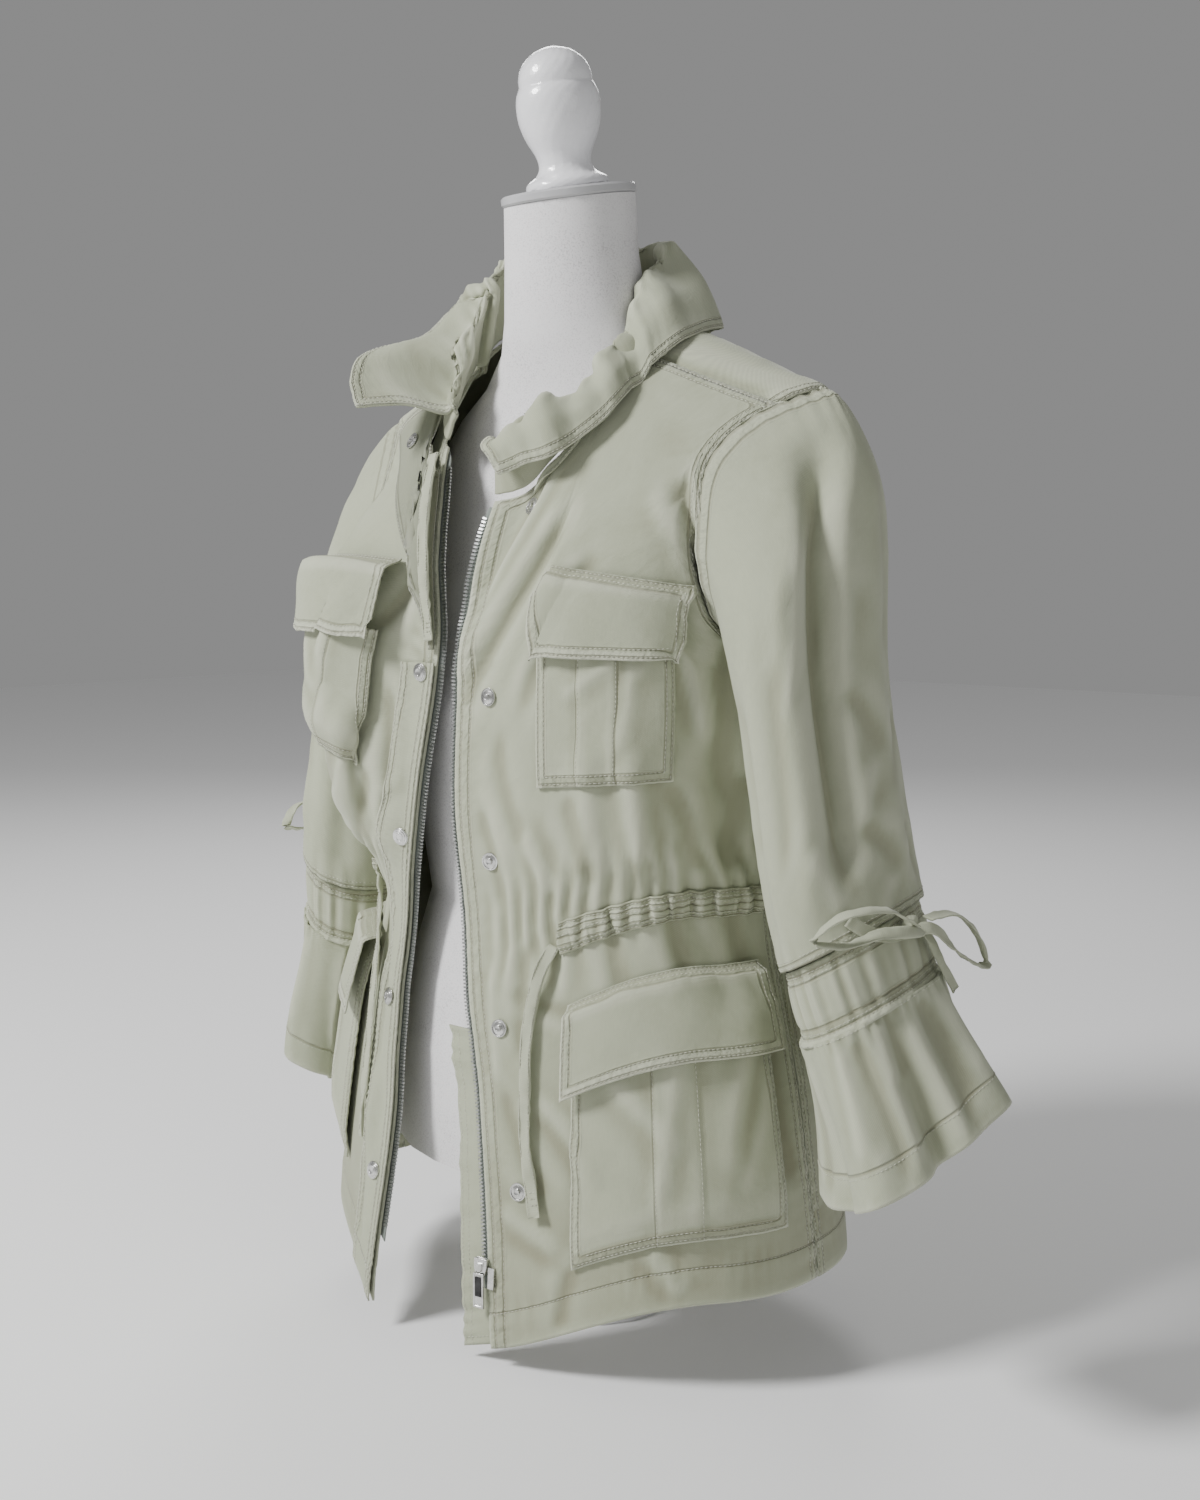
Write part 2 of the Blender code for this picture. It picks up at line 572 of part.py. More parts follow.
left_cuff = cuff_grid(CUFF_TURNS, cuff_drops("left"), "left")
right_cuff = mirrored_tube(cuff_grid(CUFF_TURNS, cuff_drops("right"), "right"))
both_sides("cuff", (left_cuff, right_cuff), CLOTH, True)
left_casing = cuff_casing_grid("left")
right_casing = mirrored_tube(cuff_casing_grid("right"))
both_sides("cuff_casing", (left_casing, right_casing), CLOTH, True)

# ---- collar ----
# Stations run from the wearer's left front end round the back of the neck to the right front end, which
# lies open. The roll is the collar's top line. It and the fall's edge are measured from the neckline seam.
COLLAR = {
    "share": (
        0.00, 0.05, 0.10, 0.15, 0.20, 0.25, 0.30, 0.35, 0.40, 0.45,
        0.50, 0.60, 0.70, 0.75, 0.80, 0.85, 0.90, 0.93, 1.00,
    ),
    "aim": (10, 15, 25, 35, 45, 55, 70, 90, 115, 140, 165, 190, 235, 265, 280, 288, 292, 292, 292),
    "roll_x": (0, -9, -9, -6, -9, -10, -11, -15, -22, -20, -21, -14, -7, -6, -1, 6, 6, 6, 5),
    "roll_y": (-5, -13, -13, -9, -8, -9, -6, -5, 0, -4, -8, -4, 2, -5, -1, 2, 1, 1, -1),
    "roll_z": (35, 37, 32, 20, 12, 12, 17, 30, 54, 73, 79, 77, 66, 53, 52, 53, 46, 41, 23),
    "edge_x": (13, 8, 8, 8, 12, 13, 18, 27, 26, 15, 10, 0, -18, -38, -34, -28, -32, -46, -40),
    "edge_y": (-10, -17, -19, -18, -19, -20, -20, -20, 2, 12, 27, 38, 42, 24, 2, -5, -22, -46, -52),
    "edge_z": (13, 11, -4, -14, -20, -23, -23, -21, -4, 8, 15, 17, 12, 12, 38, 39, 34, 34, 23),
}
COLLAR_UNIT = 0.001


def neckline():
    """Points of the neckline seam from the left front edge round to the right."""
    left = left_front[-1, : len([s for s in FRONT_SHARES if s < 0.30])]
    right = right_front[-1, ::-1][: len([s for s in FRONT_SHARES if s < 0.10])]
    round_back = yoke_points[-1]
    return np.concatenate([left[left[:, 2] < yoke_points[-1, 0, 2]], round_back, right[::-1]])


def resampled(line, count):
    steps = np.linalg.norm(np.diff(line, axis=0), axis=1)
    along = np.concatenate([[0], np.cumsum(steps)])
    wanted = np.linspace(0, along[-1], count)
    return np.stack([np.interp(wanted, along, line[:, k]) for k in range(3)], -1)


def catmull_rom(keys, count):
    """A smooth run of some points through a list of key points."""
    made = []
    for value in np.linspace(0, len(keys) - 1, count):
        i = min(int(value), len(keys) - 2)
        t = value - i
        first, second = keys[i], keys[i + 1]
        before, after = keys[max(i - 1, 0)], keys[min(i + 2, len(keys) - 1)]
        curve = 2 * first + (second - before) * t
        curve = curve + (2 * before - 5 * first + 4 * second - after) * t**2
        curve = curve + (3 * first - before - 3 * second + after) * t**3
        made.append(curve / 2)
    return np.stack(made)


def collar_grid(stations, rows):
    """Outer face of the collar: the stand inside, the roll, and the fall outside, rows from the seam."""
    seam = resampled(neckline(), stations)
    share = np.linspace(0, 1, stations)
    aim = np.radians(column(COLLAR, "aim", share))
    outward = np.stack([np.sin(aim), -np.cos(aim), np.zeros_like(aim)], -1)
    up = np.array([0.0, 0.0, 1.0])
    seam = seam + up * 0.0044 - outward * 0.001
    roll, edge = (
        seam + np.stack([column(COLLAR, f"{line}_{axis}", share) for axis in "xyz"], -1) * COLLAR_UNIT
        for line in ("roll", "edge")
    )
    keys = [
        seam,
        seam * 0.5 + roll * 0.5 - outward * 0.002,
        roll - outward * 0.004 - up * 0.005,
        roll,
        roll + outward * 0.007 - up * 0.004,
        roll * 0.5 + edge * 0.5 + outward * 0.006 + up * 0.002,
        edge,
    ]
    points = catmull_rom(keys, rows)
    crease = 0.0030 * np.sin(share * 62 + 0.6) + 0.0022 * np.sin(share * 107 + 2.0)
    height = crease[None, :] * np.sin(np.pi * np.linspace(0.10, 0.92, rows))[:, None]
    return points - grid_normals(points) * height[..., None]


collar_points = collar_grid(35, 8)[::-1]
wall("collar", collar_points, 0.0022)

# ---- what lies on the fronts ----
POCKETS = {
    "name": ("chest_left", "chest_right", "hip_left", "hip_right"),
    "turn": ((24.0, 61.5), (35.5, 62.5), (34.5, 83.0), (49.0, 81.0)),
    "bottom": (0.825, 0.825, 0.090, 0.100),
    "top": (1.10, 1.10, 0.440, 0.440),
    "flap_bottom": (1.035, 1.07, 0.330, 0.330),
    "flap_top": (1.32, 1.34, 0.466, 0.466),
    "pleat": ((37.5, 47.5), (46.0, 53.5), (54.5, 64.0), (62.0, 70.0)),
    "swell": (0.0012, 0.0115, 0.0045, 0.0085),
    "columns": (8, 8, 10, 9),
    "lean": (0.0, 20.0, 0.0, 0.0),
    "rise": (0.0, 0.06, 0.0, 0.0),
}


LEAN_LEVEL = 1.10
PLEAT_PROUD = 0.0014
FLAP_CLEAR = 0.0018
FLAP_KICK = 0.0022


def turn_grid(panel, turns, levels, lean, rise):
    """A grid of turns on a panel. Lean moves the upper rows back, and rise lifts the far end."""
    place = (turns - turns[0]) / (turns[-1] - turns[0])
    cell_levels = levels[:, None] + rise * place[None, :]
    cell_turns = turns[None, :] + lean * (LEAN_LEVEL - cell_levels)
    cells = zip(cell_turns.ravel(), cell_levels.ravel())
    columns = np.array([panel.share_at(turn, level) for turn, level in cells])
    return columns.reshape(cell_levels.shape), cell_levels


def add_pocket(row):
    kind, side = row["name"].split("_")
    panel = LEFT if side == "left" else RIGHT
    first, last = row["turn"]
    pleat = row["pleat"]
    swell = row["swell"]
    edges = [pleat[0], pleat[0] + 0.7, pleat[1] - 0.7, pleat[1]]
    inset = 0.03 * (last - first)
    even = np.linspace(first + inset, last - inset, row["columns"])
    turns = np.sort([t for t in even if min(abs(t - e) for e in edges) > 1.2] + edges)
    levels = panel.lines(panel.levels, row["bottom"], row["top"])
    columns, cell_levels = turn_grid(panel, turns, levels, row["lean"], row["rise"])
    place = (turns - turns[0]) / (turns[-1] - turns[0])
    proud = ease((turns - pleat[0]) / 0.7) * ease((pleat[1] - turns) / 0.7)
    rise = ease((levels - levels[0]) / 0.05)[:, None]
    fullness = swell * (0.45 + 0.55 * np.sin(np.pi * place))[None, :] * (0.12 + 0.88 * rise)
    height = LAY_GAP * 2 + TRIM + fullness + PLEAT_PROUD * proud
    body = [columns, cell_levels, height]

    levels = panel.lines(panel.levels, row["flap_bottom"], row["flap_top"], [row["flap_top"] - 0.018])
    even = np.linspace(first, last, row["columns"])
    columns, cell_levels = turn_grid(panel, even, levels, row["lean"], row["rise"])
    down = ((row["flap_top"] - levels) / (row["flap_top"] - row["flap_bottom"]))[:, None]
    free = LAY_GAP * 3 + TRIM * 2 + swell + FLAP_CLEAR + FLAP_KICK * down + 0 * columns
    height = np.where(down > 0, free, LAY_GAP * 2.6 + TRIM)
    flap = [columns, cell_levels, height]
    for label, grids in (("pocket", body), ("flap", flap)):
        if side == "right":
            grids = [grid[:, ::-1] for grid in grids]
        patch(f"{kind}_{label}_{side}", panel, grids[0], grids[1], lambda c, v, h=grids[2]: h)


for i in range(len(POCKETS["name"])):
    add_pocket({key: values[i] for key, values in POCKETS.items()})


CASING_LEVELS = (0.548, 0.576, 0.604)
CASING_CLEAR = 0.0010
GATHER = 0.0011
CASING_SWELL = 0.0024


def casing_lift(c, v):
    """Gathers of the waist channel, which stand out most along its middle."""
    wave = np.cos(np.pi * np.arange(c.shape[1]))[None, :]
    middle = 1 - np.abs(2 * (v - v.min()) / (v.max() - v.min()) - 1)
    gathers = GATHER * wave * (0.5 + 0.5 * middle)
    return LAY_GAP + TRIM + CASING_CLEAR + gathers + CASING_SWELL * middle


def add_casing(name, panel, low, high, gathers):
    columns = np.linspace(low, high, 2 * gathers + 1)
    patch(name, panel, columns, np.array(CASING_LEVELS), casing_lift)


add_casing("waist_casing_left", LEFT, 0.394, 0.996, 14)
add_casing("waist_casing_right", RIGHT, 0.004, 0.62, 12)
add_casing("waist_casing_back", BACK, 90.6, 269.4, 21)

tab_columns = LEFT.lines(LEFT.columns, 0.16, 0.31)
tab_levels = np.array([1.90, 1.94, 1.975])
patch("collar_tab_left", LEFT, tab_columns, tab_levels, lambda c, v: 0.0044 + 0.0008 * np.sin(c * 17))

PLACKET_TOP = 1.0


def flat_lift(height):
    return lambda c, v: np.full(c.shape, height)


placket_levels = RIGHT.lines(RIGHT.levels, 0.0, PLACKET_TOP)
placket_columns = RIGHT.lines(RIGHT.columns, 0.81, 1.0)
patch("placket_right", RIGHT, placket_columns, placket_levels, flat_lift(LAY_GAP * 3 + TRIM))


def turned_corner():
    """The placket's top corner, turned out over the front, widest at the neckline."""
    levels = np.array([1.06, 1.20, 1.34, 1.48, 1.62, 1.76, 1.88])
    shares = np.linspace(0, 1, 5)
    share, level = np.meshgrid(shares, levels)
    wide = 0.03 + 0.46 * ((level - levels[0]) / (levels[-1] - levels[0])) ** 1.3
    points, normals = RIGHT.at(0.995 - wide * (1 - share), level)
    height = 0.004 + 0.010 * np.sin(np.pi * share) ** 0.8 * (level - 1.0)
    return points + normals * height[..., None], normals


corner_points, corner_normals = turned_corner()
wall("placket_corner_right", corner_points, TRIM, normals=corner_normals, look=((0.30, 0.30, 0.24), 0.9))

# ---- zip ----
TAPE_THICK = 0.0010


def strip_beyond(panel, at_start, levels, width, sink):
    """A strip running on past a front's free edge, set a little inside it."""
    edge_column = 0 if at_start else -1
    toward = 1 if at_start else -2
    rows = []
    for level in levels:
        edge, normal = panel.at(panel.columns[edge_column], level)
        inner, _ = panel.at(panel.columns[toward], level)
        away = edge - inner
        away = away / np.linalg.norm(away)
        near = edge - away * 0.004 - normal * sink
        far = edge + away * width - normal * sink
        rows.append([far, near] if at_start else [near, far])
    return np.array(rows)


tape_levels = LEFT.lines(LEFT.levels, 0.09, 1.97)
left_tape = strip_beyond(LEFT, True, tape_levels, 0.005, CLOTH + LAY_GAP)
wall("zip_tape_left", left_tape, TAPE_THICK, look=TAPE_LOOK)
right_tape_levels = RIGHT.lines(RIGHT.levels, 0.09, 1.97)
right_tape = strip_beyond(RIGHT, False, right_tape_levels, 0.004, CLOTH + 3 * LAY_GAP)
wall("zip_tape_right", right_tape, TAPE_THICK, look=TAPE_LOOK)
guard_levels = LEFT.lines(LEFT.levels, 0.004, 0.46)
guard = strip_beyond(LEFT, True, guard_levels, 0.026, CLOTH + 2 * LAY_GAP + TAPE_THICK)
wall("zip_guard_left", guard, TRIM)


def box(name, centre, axes, sizes, look=METAL_LOOK, taper=1.0):
    """A block on its own three axes. Taper narrows its lower end."""
    axes = np.array([np.asarray(a, float) / np.linalg.norm(a) for a in axes])
    points = []
    for k in (-1, 1):
        for i, j in ((-1, -1), (1, -1), (1, 1), (-1, 1)):
            wide = taper if k < 0 else 1.0
            corner = np.array([i * wide, j, k]) * np.array(sizes) / 2
            points.append(np.asarray(centre) + corner @ axes)
    faces = [(3, 2, 1, 0), (4, 5, 6, 7), (0, 1, 5, 4), (1, 2, 6, 5), (2, 3, 7, 6), (3, 0, 4, 7)]
    return build(name, points, faces, look, smooth=False)


# ---- snaps ----
SNAP_R = 0.0062


def disc(name, centre, normal, profile, look=METAL_LOOK, sides=10):
    """A turned solid from a profile of (radius, height) pairs, closed on its axis at both ends."""
    normal = np.asarray(normal, float) / np.linalg.norm(normal)
    side = np.cross(normal, [0.0, 0.0, 1.0])
    side = side / np.linalg.norm(side) if np.linalg.norm(side) > 1e-6 else np.array([1.0, 0.0, 0.0])
    other = np.cross(normal, side)
    points, faces = [], []
    for radius, height in profile:
        for k in range(sides):
            a = 2 * math.pi * k / sides
            spoke = side * math.cos(a) + other * math.sin(a)
            points.append(np.asarray(centre) + spoke * radius + normal * height)
    for r in range(len(profile) - 1):
        for k in range(sides):
            n = (k + 1) % sides
            faces.append((r * sides + k, r * sides + n, (r + 1) * sides + n, (r + 1) * sides + k))
    faces.append(tuple(range(sides))[::-1])
    top = (len(profile) - 1) * sides
    faces.append(tuple(range(top, top + sides)))
    return build(name, points, faces, look)


STUD_PROFILE = ((SNAP_R, 0.0), (SNAP_R, 0.0007), (0.0042, 0.0012), (0.0023, 0.0013), (0.0019, 0.0033))
CAP_PROFILE = (
    (SNAP_R, 0.0),
    (SNAP_R + 0.0004, 0.0008),
    (0.0058, 0.0018),
    (0.0036, 0.0025),
    (0.0010, 0.0027),
)
SNAP_LEVELS = {"left": (0.225, 0.470, 0.715, 0.955, 1.88), "right": (0.165, 0.420, 0.715, 0.985)}

for number, level in enumerate(SNAP_LEVELS["left"]):
    point, normal = LEFT.at(0.14, level)
    disc(f"snap_stud_{number + 1}", point + normal * 2 * SEAM_GAP, normal, STUD_PROFILE)
for number, level in enumerate(SNAP_LEVELS["right"]):
    point, normal = RIGHT.at(0.93, level)
    lift = LAY_GAP * 3 + TRIM + 2 * SEAM_GAP
    disc(f"snap_cap_{number + 1}", point + normal * lift, normal, CAP_PROFILE)
corner_place = corner_points[-2, 2]
disc("snap_socket", corner_place + corner_normals[-2, 2] * SEAM_GAP, corner_normals[-2, 2], STUD_PROFILE)

# ---- slider and pull ----
slider_edge, slider_normal = LEFT.at(0.0, 0.125)
slider_inner, _ = LEFT.at(0.09, 0.125)
across = slider_inner - slider_edge
across = across / np.linalg.norm(across)
down = np.cross(across, slider_normal)
if down[2] > 0:
    down = -down
slider_centre = slider_edge - across * 0.0045 + slider_normal * 0.0016
box("zip_slider", slider_centre, (across, slider_normal, -down), (0.0100, 0.0030, 0.0110), taper=0.75)
pull_centre = slider_centre + slider_normal * 0.0034 + np.array([0, 0, -0.0165])
pull_out = np.array([slider_normal[0], slider_normal[1], 0.0])
pull_side = np.cross(pull_out, [0.0, 0.0, 1.0])
box("zip_pull", pull_centre, (pull_side, pull_out, (0, 0, 1.0)), (0.0085, 0.0016, 0.0250))


# ---- ties ----
def smooth_path(points, count):
    """A smooth curve through some points, evenly spaced."""
    points = np.asarray(points, float)
    steps = np.linalg.norm(np.diff(points, axis=0), axis=1)
    along = np.concatenate([[0], np.cumsum(steps)])
    slopes = np.gradient(points, along, axis=0)
    fine = np.linspace(0, along[-1], count * 6)
    i = np.clip(np.searchsorted(along, fine, side="right") - 1, 0, len(along) - 2)
    span = (along[i + 1] - along[i])[:, None]
    t = ((fine - along[i]) / span[:, 0])[:, None]
    curve = (2 * t**3 - 3 * t**2 + 1) * points[i] + (t**3 - 2 * t**2 + t) * span * slopes[i]
    curve = curve + (3 * t**2 - 2 * t**3) * points[i + 1] + (t**3 - t**2) * span * slopes[i + 1]
    return resampled(curve, count)


def ribbon(name, path, facing, width, thick):
    """A flat tie along a path, its broad side turned to the facing directions."""
    path = np.asarray(path, float)
    facing = np.broadcast_to(np.asarray(facing, float), path.shape)
    tangent = np.gradient(path, axis=0)
    tangent = tangent / np.linalg.norm(tangent, axis=1)[:, None]
    side = np.cross(tangent, facing)
    side = side / np.linalg.norm(side, axis=1)[:, None]
    normal = np.cross(side, tangent)
    corners = ((-1, -1), (1, -1), (1, 1), (-1, 1))
    points = np.concatenate([path + side * i * width / 2 + normal * j * thick / 2 for i, j in corners])
    count = len(path)
    faces = []
    for k in range(4):
        n = (k + 1) % 4
        for r in range(count - 1):
            faces.append((k * count + r, n * count + r, n * count + r + 1, k * count + r + 1))
    faces.append((3 * count, 2 * count, count, 0))
    faces.append((count - 1, 2 * count - 1, 3 * count - 1, 4 * count - 1))
    return build(name, points, faces, CLOTH_LOOK)


TIE_WIDE = 0.0095
TIE_THICK = 0.0018


def add_tie(name, panel, shares, levels, heights, count):
    """A ribbon that lies along a panel."""
    points, normals = panel.at(np.array(shares), np.array(levels))
    path = smooth_path(points + normals * np.array(heights)[:, None], count)
    keys = np.linspace(0, 1, len(shares))
    even = np.linspace(0, 1, count)
    _, facing = panel.at(np.interp(even, keys, shares), np.interp(even, keys, levels))
    ribbon(name, path, facing, TIE_WIDE, TIE_THICK)


WAIST_TIE = {
    "share": (0.373, 0.340, 0.290, 0.250, 0.215, 0.195, 0.190, 0.205),
    "right_share": (0.642, 0.676, 0.735, 0.775, 0.795, 0.805, 0.810, 0.815),
    "level": (0.566, 0.548, 0.500, 0.440, 0.370, 0.295, 0.225, 0.180),
    "height": (0.0019, 0.0060, 0.0060, 0.0055, 0.0050, 0.0050, 0.0050, 0.0050),
}
WAIST_STEPS = 24
for side, panel, key in (("left", LEFT, "share"), ("right", RIGHT, "right_share")):
    rows = (WAIST_TIE[key], WAIST_TIE["level"], WAIST_TIE["height"])
    add_tie(f"waist_tie_{side}", panel, *rows, WAIST_STEPS)

COLLAR_TIE = {
    "share": (0.985, 0.985, 0.988, 0.990),
    "level": (1.93, 1.70, 1.40, 1.10),
    "height": (0.0095, 0.0130, 0.0110, 0.0070),
}
add_tie("collar_tie_right", RIGHT, *COLLAR_TIE.values(), 12)

# Bow on the outer side of each cuff casing: two loops and two ends from one knot.
BOW = {
    "piece": ("loop_front", "loop_back", "end_short", "end_long"),
    "turns": (
        (82, 60, 36, 22, 34, 60, 82),
        (92, 108, 122, 130, 120, 104, 92),
        (81.5, 66, 52, 44),
        (95, 104, 108, 112),
    ),
    "drops": (
        (0.004, -0.016, -0.020, -0.012, -0.004, 0.000, 0.008),
        (0.004, 0.006, 0.022, 0.044, 0.040, 0.024, 0.010),
        (0.010, 0.006, -0.004, -0.014),
        (0.012, 0.026, 0.042, 0.056),
    ),
    "heights": (
        (0.013, 0.020, 0.022, 0.018, 0.014, 0.0135, 0.013),
        (0.013, 0.021, 0.028, 0.028, 0.020, 0.0155, 0.013),
        (0.004, 0.0045, 0.005, 0.006),
        (0.004, 0.0045, 0.005, 0.006),
    ),
}


def cuff_frame(turn, drop, side):
    """Point and outward direction on the casing."""
    z = tilted(turn, SLEEVE_END_Z - drop)
    x, y = sleeve_ring(turn, z, side)
    a = np.radians(turn)
    outward = np.stack([np.sin(a), -np.cos(a), np.zeros_like(a)], -1)
    return np.stack([x, y, z], -1), outward


KNOT_SIZE = (0.0108, 0.0072, 0.0104)
KNOT_TURN = 87.3
KNOT_DROP = 0.007


def add_bow(side, sign, shift):
    """A bow on one cuff. Sign is 1 on the wearer's left, and shift turns it round the cuff."""
    knot, outward = cuff_frame(np.array([KNOT_TURN + shift]), np.array([KNOT_DROP]), side)
    mirror = np.array([sign, 1.0, 1.0])
    knot_middle = (knot[0] + outward[0] * (0.0005 + KNOT_SIZE[1] / 2)) * mirror
    knot_out = outward[0] * mirror
    upward = np.array([0.0, 0.0, 1.0])
    knot_axes = (np.cross(knot_out, upward), knot_out, upward)
    box(f"bow_knot_{side}", knot_middle, knot_axes, KNOT_SIZE, look=CLOTH_LOOK)
    for i, kind in enumerate(BOW["piece"]):
        turns = np.array(BOW["turns"][i], float) + shift
        points, out = cuff_frame(turns, np.array(BOW["drops"][i]), side)
        points = points + out * np.array(BOW["heights"][i])[:, None]
        path = smooth_path(points, 6 * len(turns) // 2)
        inner = knot[0] + outward[0] * 0.004
        facing = path - inner + np.array([0.03, -0.02, 0.03])
        if "loop" in kind:
            facing = np.array([0.25, 0.0, 1.0])
        ribbon(f"bow_{kind}_{side}", path * mirror, facing * mirror, TIE_WIDE * 0.9, TIE_THICK * 0.8)


add_bow("left", 1.0, 0.0)
add_bow("right", -1.0, 30.0)

# ---- dress form and stand ----
FORM_RINGS = {
    "z": (
        0.116, 0.186, 0.246, 0.311, 0.386, 0.456, 0.516, 0.566,
        0.606, 0.636, 0.664, 0.682, 0.700, 0.724, 0.768, 0.826,
    ),
    "half_width": (
        0.166, 0.164, 0.152, 0.130, 0.140, 0.152, 0.156, 0.157,
        0.153, 0.143, 0.118, 0.092, 0.070, 0.057, 0.050, 0.0475,
    ),
    "front": (
        0.112, 0.114, 0.108, 0.096, 0.106, 0.114, 0.100, 0.080,
        0.066, 0.058, 0.052, 0.052, 0.056, 0.062, 0.066, 0.068,
    ),
    "back": (
        0.110, 0.114, 0.110, 0.096, 0.100, 0.104, 0.103, 0.098,
        0.088, 0.078, 0.062, 0.050, 0.042, 0.034, 0.026, 0.0225,
    ),
}
FORM_LOOK = (FORM_COLOUR, 0.85)


def stacked(name, rings, look, smooth=True):
    """A solid from rings of points, closed by a face at each end."""
    sides = len(rings[0])
    points = np.concatenate(rings)
    faces = []
    for r in range(len(rings) - 1):
        for k in range(sides):
            n = (k + 1) % sides
            faces.append((r * sides + k, r * sides + n, (r + 1) * sides + n, (r + 1) * sides + k))
    faces.append(tuple(range(sides))[::-1])
    top = (len(rings) - 1) * sides
    faces.append(tuple(range(top, top + sides)))
    return build(name, points, faces, look, smooth)


def form_ring(z, turns):
    a = np.radians(turns)
    wide = column(FORM_RINGS, "half_width", z)
    front = column(FORM_RINGS, "front", z)
    back = column(FORM_RINGS, "back", z)
    centre = (back - front) / 2
    deep = (front + back) / 2
    power = 2.25 - 0.25 * ease((z - 0.646) / 0.06)
    reach = (np.abs(np.sin(a) / wide) ** power + np.abs(np.cos(a) / deep) ** power) ** (-1 / power)
    return np.stack([reach * np.sin(a), centre - reach * np.cos(a), np.full_like(a, z)], -1)


form_turns = np.arange(0, 360, 15.0)
NECK_TILT = 0.19
form_heights = (
    0.116, 0.15, 0.20, 0.25, 0.31, 0.38, 0.45, 0.51, 0.56,
    0.60, 0.635, 0.662, 0.684, 0.706, 0.730, 0.770, 0.811,
)
form_rings = [form_ring(z, form_turns) for z in form_heights]
for ring, z in zip(form_rings, form_heights):
    tilt = NECK_TILT * float(ease((z - 0.686) / 0.13))
    middle = ring[:, 1].mean()
    ring[:, 2] += (ring[:, 1] - middle) * tilt
stacked("form_torso", form_rings, FORM_LOOK)

neck_top = form_rings[-1].mean(0)
neck_axis = np.array([0.0, -NECK_TILT, 1.0]) / math.hypot(NECK_TILT, 1.0)


def turned(name, start, profile, look, sides=24):
    """A turned piece standing on the neck's axis."""
    flat = np.array([0.0, 1.0, NECK_TILT]) / math.hypot(NECK_TILT, 1.0)
    rings = []
    for radius, height in profile:
        a = np.radians(np.arange(0, 360, 360 / sides))[:, None]
        spoke = np.sin(a) * np.array([1.0, 0.0, 0.0]) - np.cos(a) * flat
        rings.append(start + neck_axis * height + spoke * radius)
    return stacked(name, rings, look)


PLATE = ((0.0470, 0), (0.0485, 0.0015), (0.0485, 0.0055), (0.0470, 0.0070))
turned("form_neck_plate", neck_top + neck_axis * SEAM_GAP, PLATE, (GLOSS_COLOUR, 0.25))
FINIAL_SCALE = 0.965
FINIAL = (
    (0.0310, 0.0), (0.0315, 0.0035), (0.0300, 0.0070), (0.0225, 0.0105), (0.0190, 0.0170),
    (0.0205, 0.0250), (0.0280, 0.0380), (0.0315, 0.0520), (0.0310, 0.0650), (0.0285, 0.0710),
    (0.0270, 0.0725), (0.0275, 0.0790), (0.0240, 0.0880), (0.0150, 0.0960), (0.0040, 0.0990),
)
finial = [(radius * FINIAL_SCALE, height * FINIAL_SCALE) for radius, height in FINIAL]
turned("form_finial", neck_top + neck_axis * (0.0070 + 2 * SEAM_GAP), finial, (GLOSS_COLOUR, 0.2), 20)


def upright(name, profile, look, sides):
    """A turned solid on the vertical axis."""
    a = np.radians(np.arange(0, 360, 360 / sides))
    rings = [np.stack([r * np.sin(a), -r * np.cos(a), np.full_like(a, z)], -1) for r, z in profile]
    return stacked(name, rings, look)


STAND_LOOK = (STAND_COLOUR, 0.35)
BASE = ((0.068, 0.0), (0.068, 0.006), (0.065, 0.008), (0.026, 0.014))
POLE = ((0.014, 0.014 + SEAM_GAP), (0.014, 0.116 - SEAM_GAP))
upright("stand_base", BASE, STAND_LOOK, 22)
upright("stand_pole", POLE, STAND_LOOK, 14)
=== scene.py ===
import math

import bpy
import numpy as np
from mathutils import Matrix, Vector


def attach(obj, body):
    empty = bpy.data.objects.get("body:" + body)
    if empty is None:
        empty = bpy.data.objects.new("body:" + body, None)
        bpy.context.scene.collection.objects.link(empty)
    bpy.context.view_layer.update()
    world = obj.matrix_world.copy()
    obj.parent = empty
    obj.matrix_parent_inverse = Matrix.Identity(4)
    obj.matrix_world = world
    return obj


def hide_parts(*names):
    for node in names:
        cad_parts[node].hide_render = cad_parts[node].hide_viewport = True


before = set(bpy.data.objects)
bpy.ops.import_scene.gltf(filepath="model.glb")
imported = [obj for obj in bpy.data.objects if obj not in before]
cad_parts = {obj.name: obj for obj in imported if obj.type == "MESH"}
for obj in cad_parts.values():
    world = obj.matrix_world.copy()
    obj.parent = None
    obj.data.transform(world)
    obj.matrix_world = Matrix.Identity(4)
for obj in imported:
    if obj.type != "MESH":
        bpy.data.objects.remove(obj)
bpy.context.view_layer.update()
scene = bpy.context.scene

# camera, at the photo's angle
cameraPlace = {"turn": 40.0, "away": 1.28, "aside": 0.0074, "height": 0.558, "pitch": 6.3, "lens": 41.47}


def addCamera(place):
    turn = math.radians(place["turn"])
    toward = np.array([math.sin(turn), -math.cos(turn), 0.0])
    side = np.array([math.cos(turn), math.sin(turn), 0.0])
    data = bpy.data.cameras.new("camera")
    data.sensor_fit = "VERTICAL"
    data.sensor_height = 36.0
    data.lens = place["lens"]
    data.dof.use_dof = False
    camera = bpy.data.objects.new("camera", data)
    camera.location = toward * place["away"] + side * place["aside"] + np.array([0.0, 0.0, place["height"]])
    camera.rotation_euler = (math.radians(90 - place["pitch"]), 0.0, turn)
    scene.collection.objects.link(camera)
    scene.camera = camera


addCamera(cameraPlace)
print("camera set")

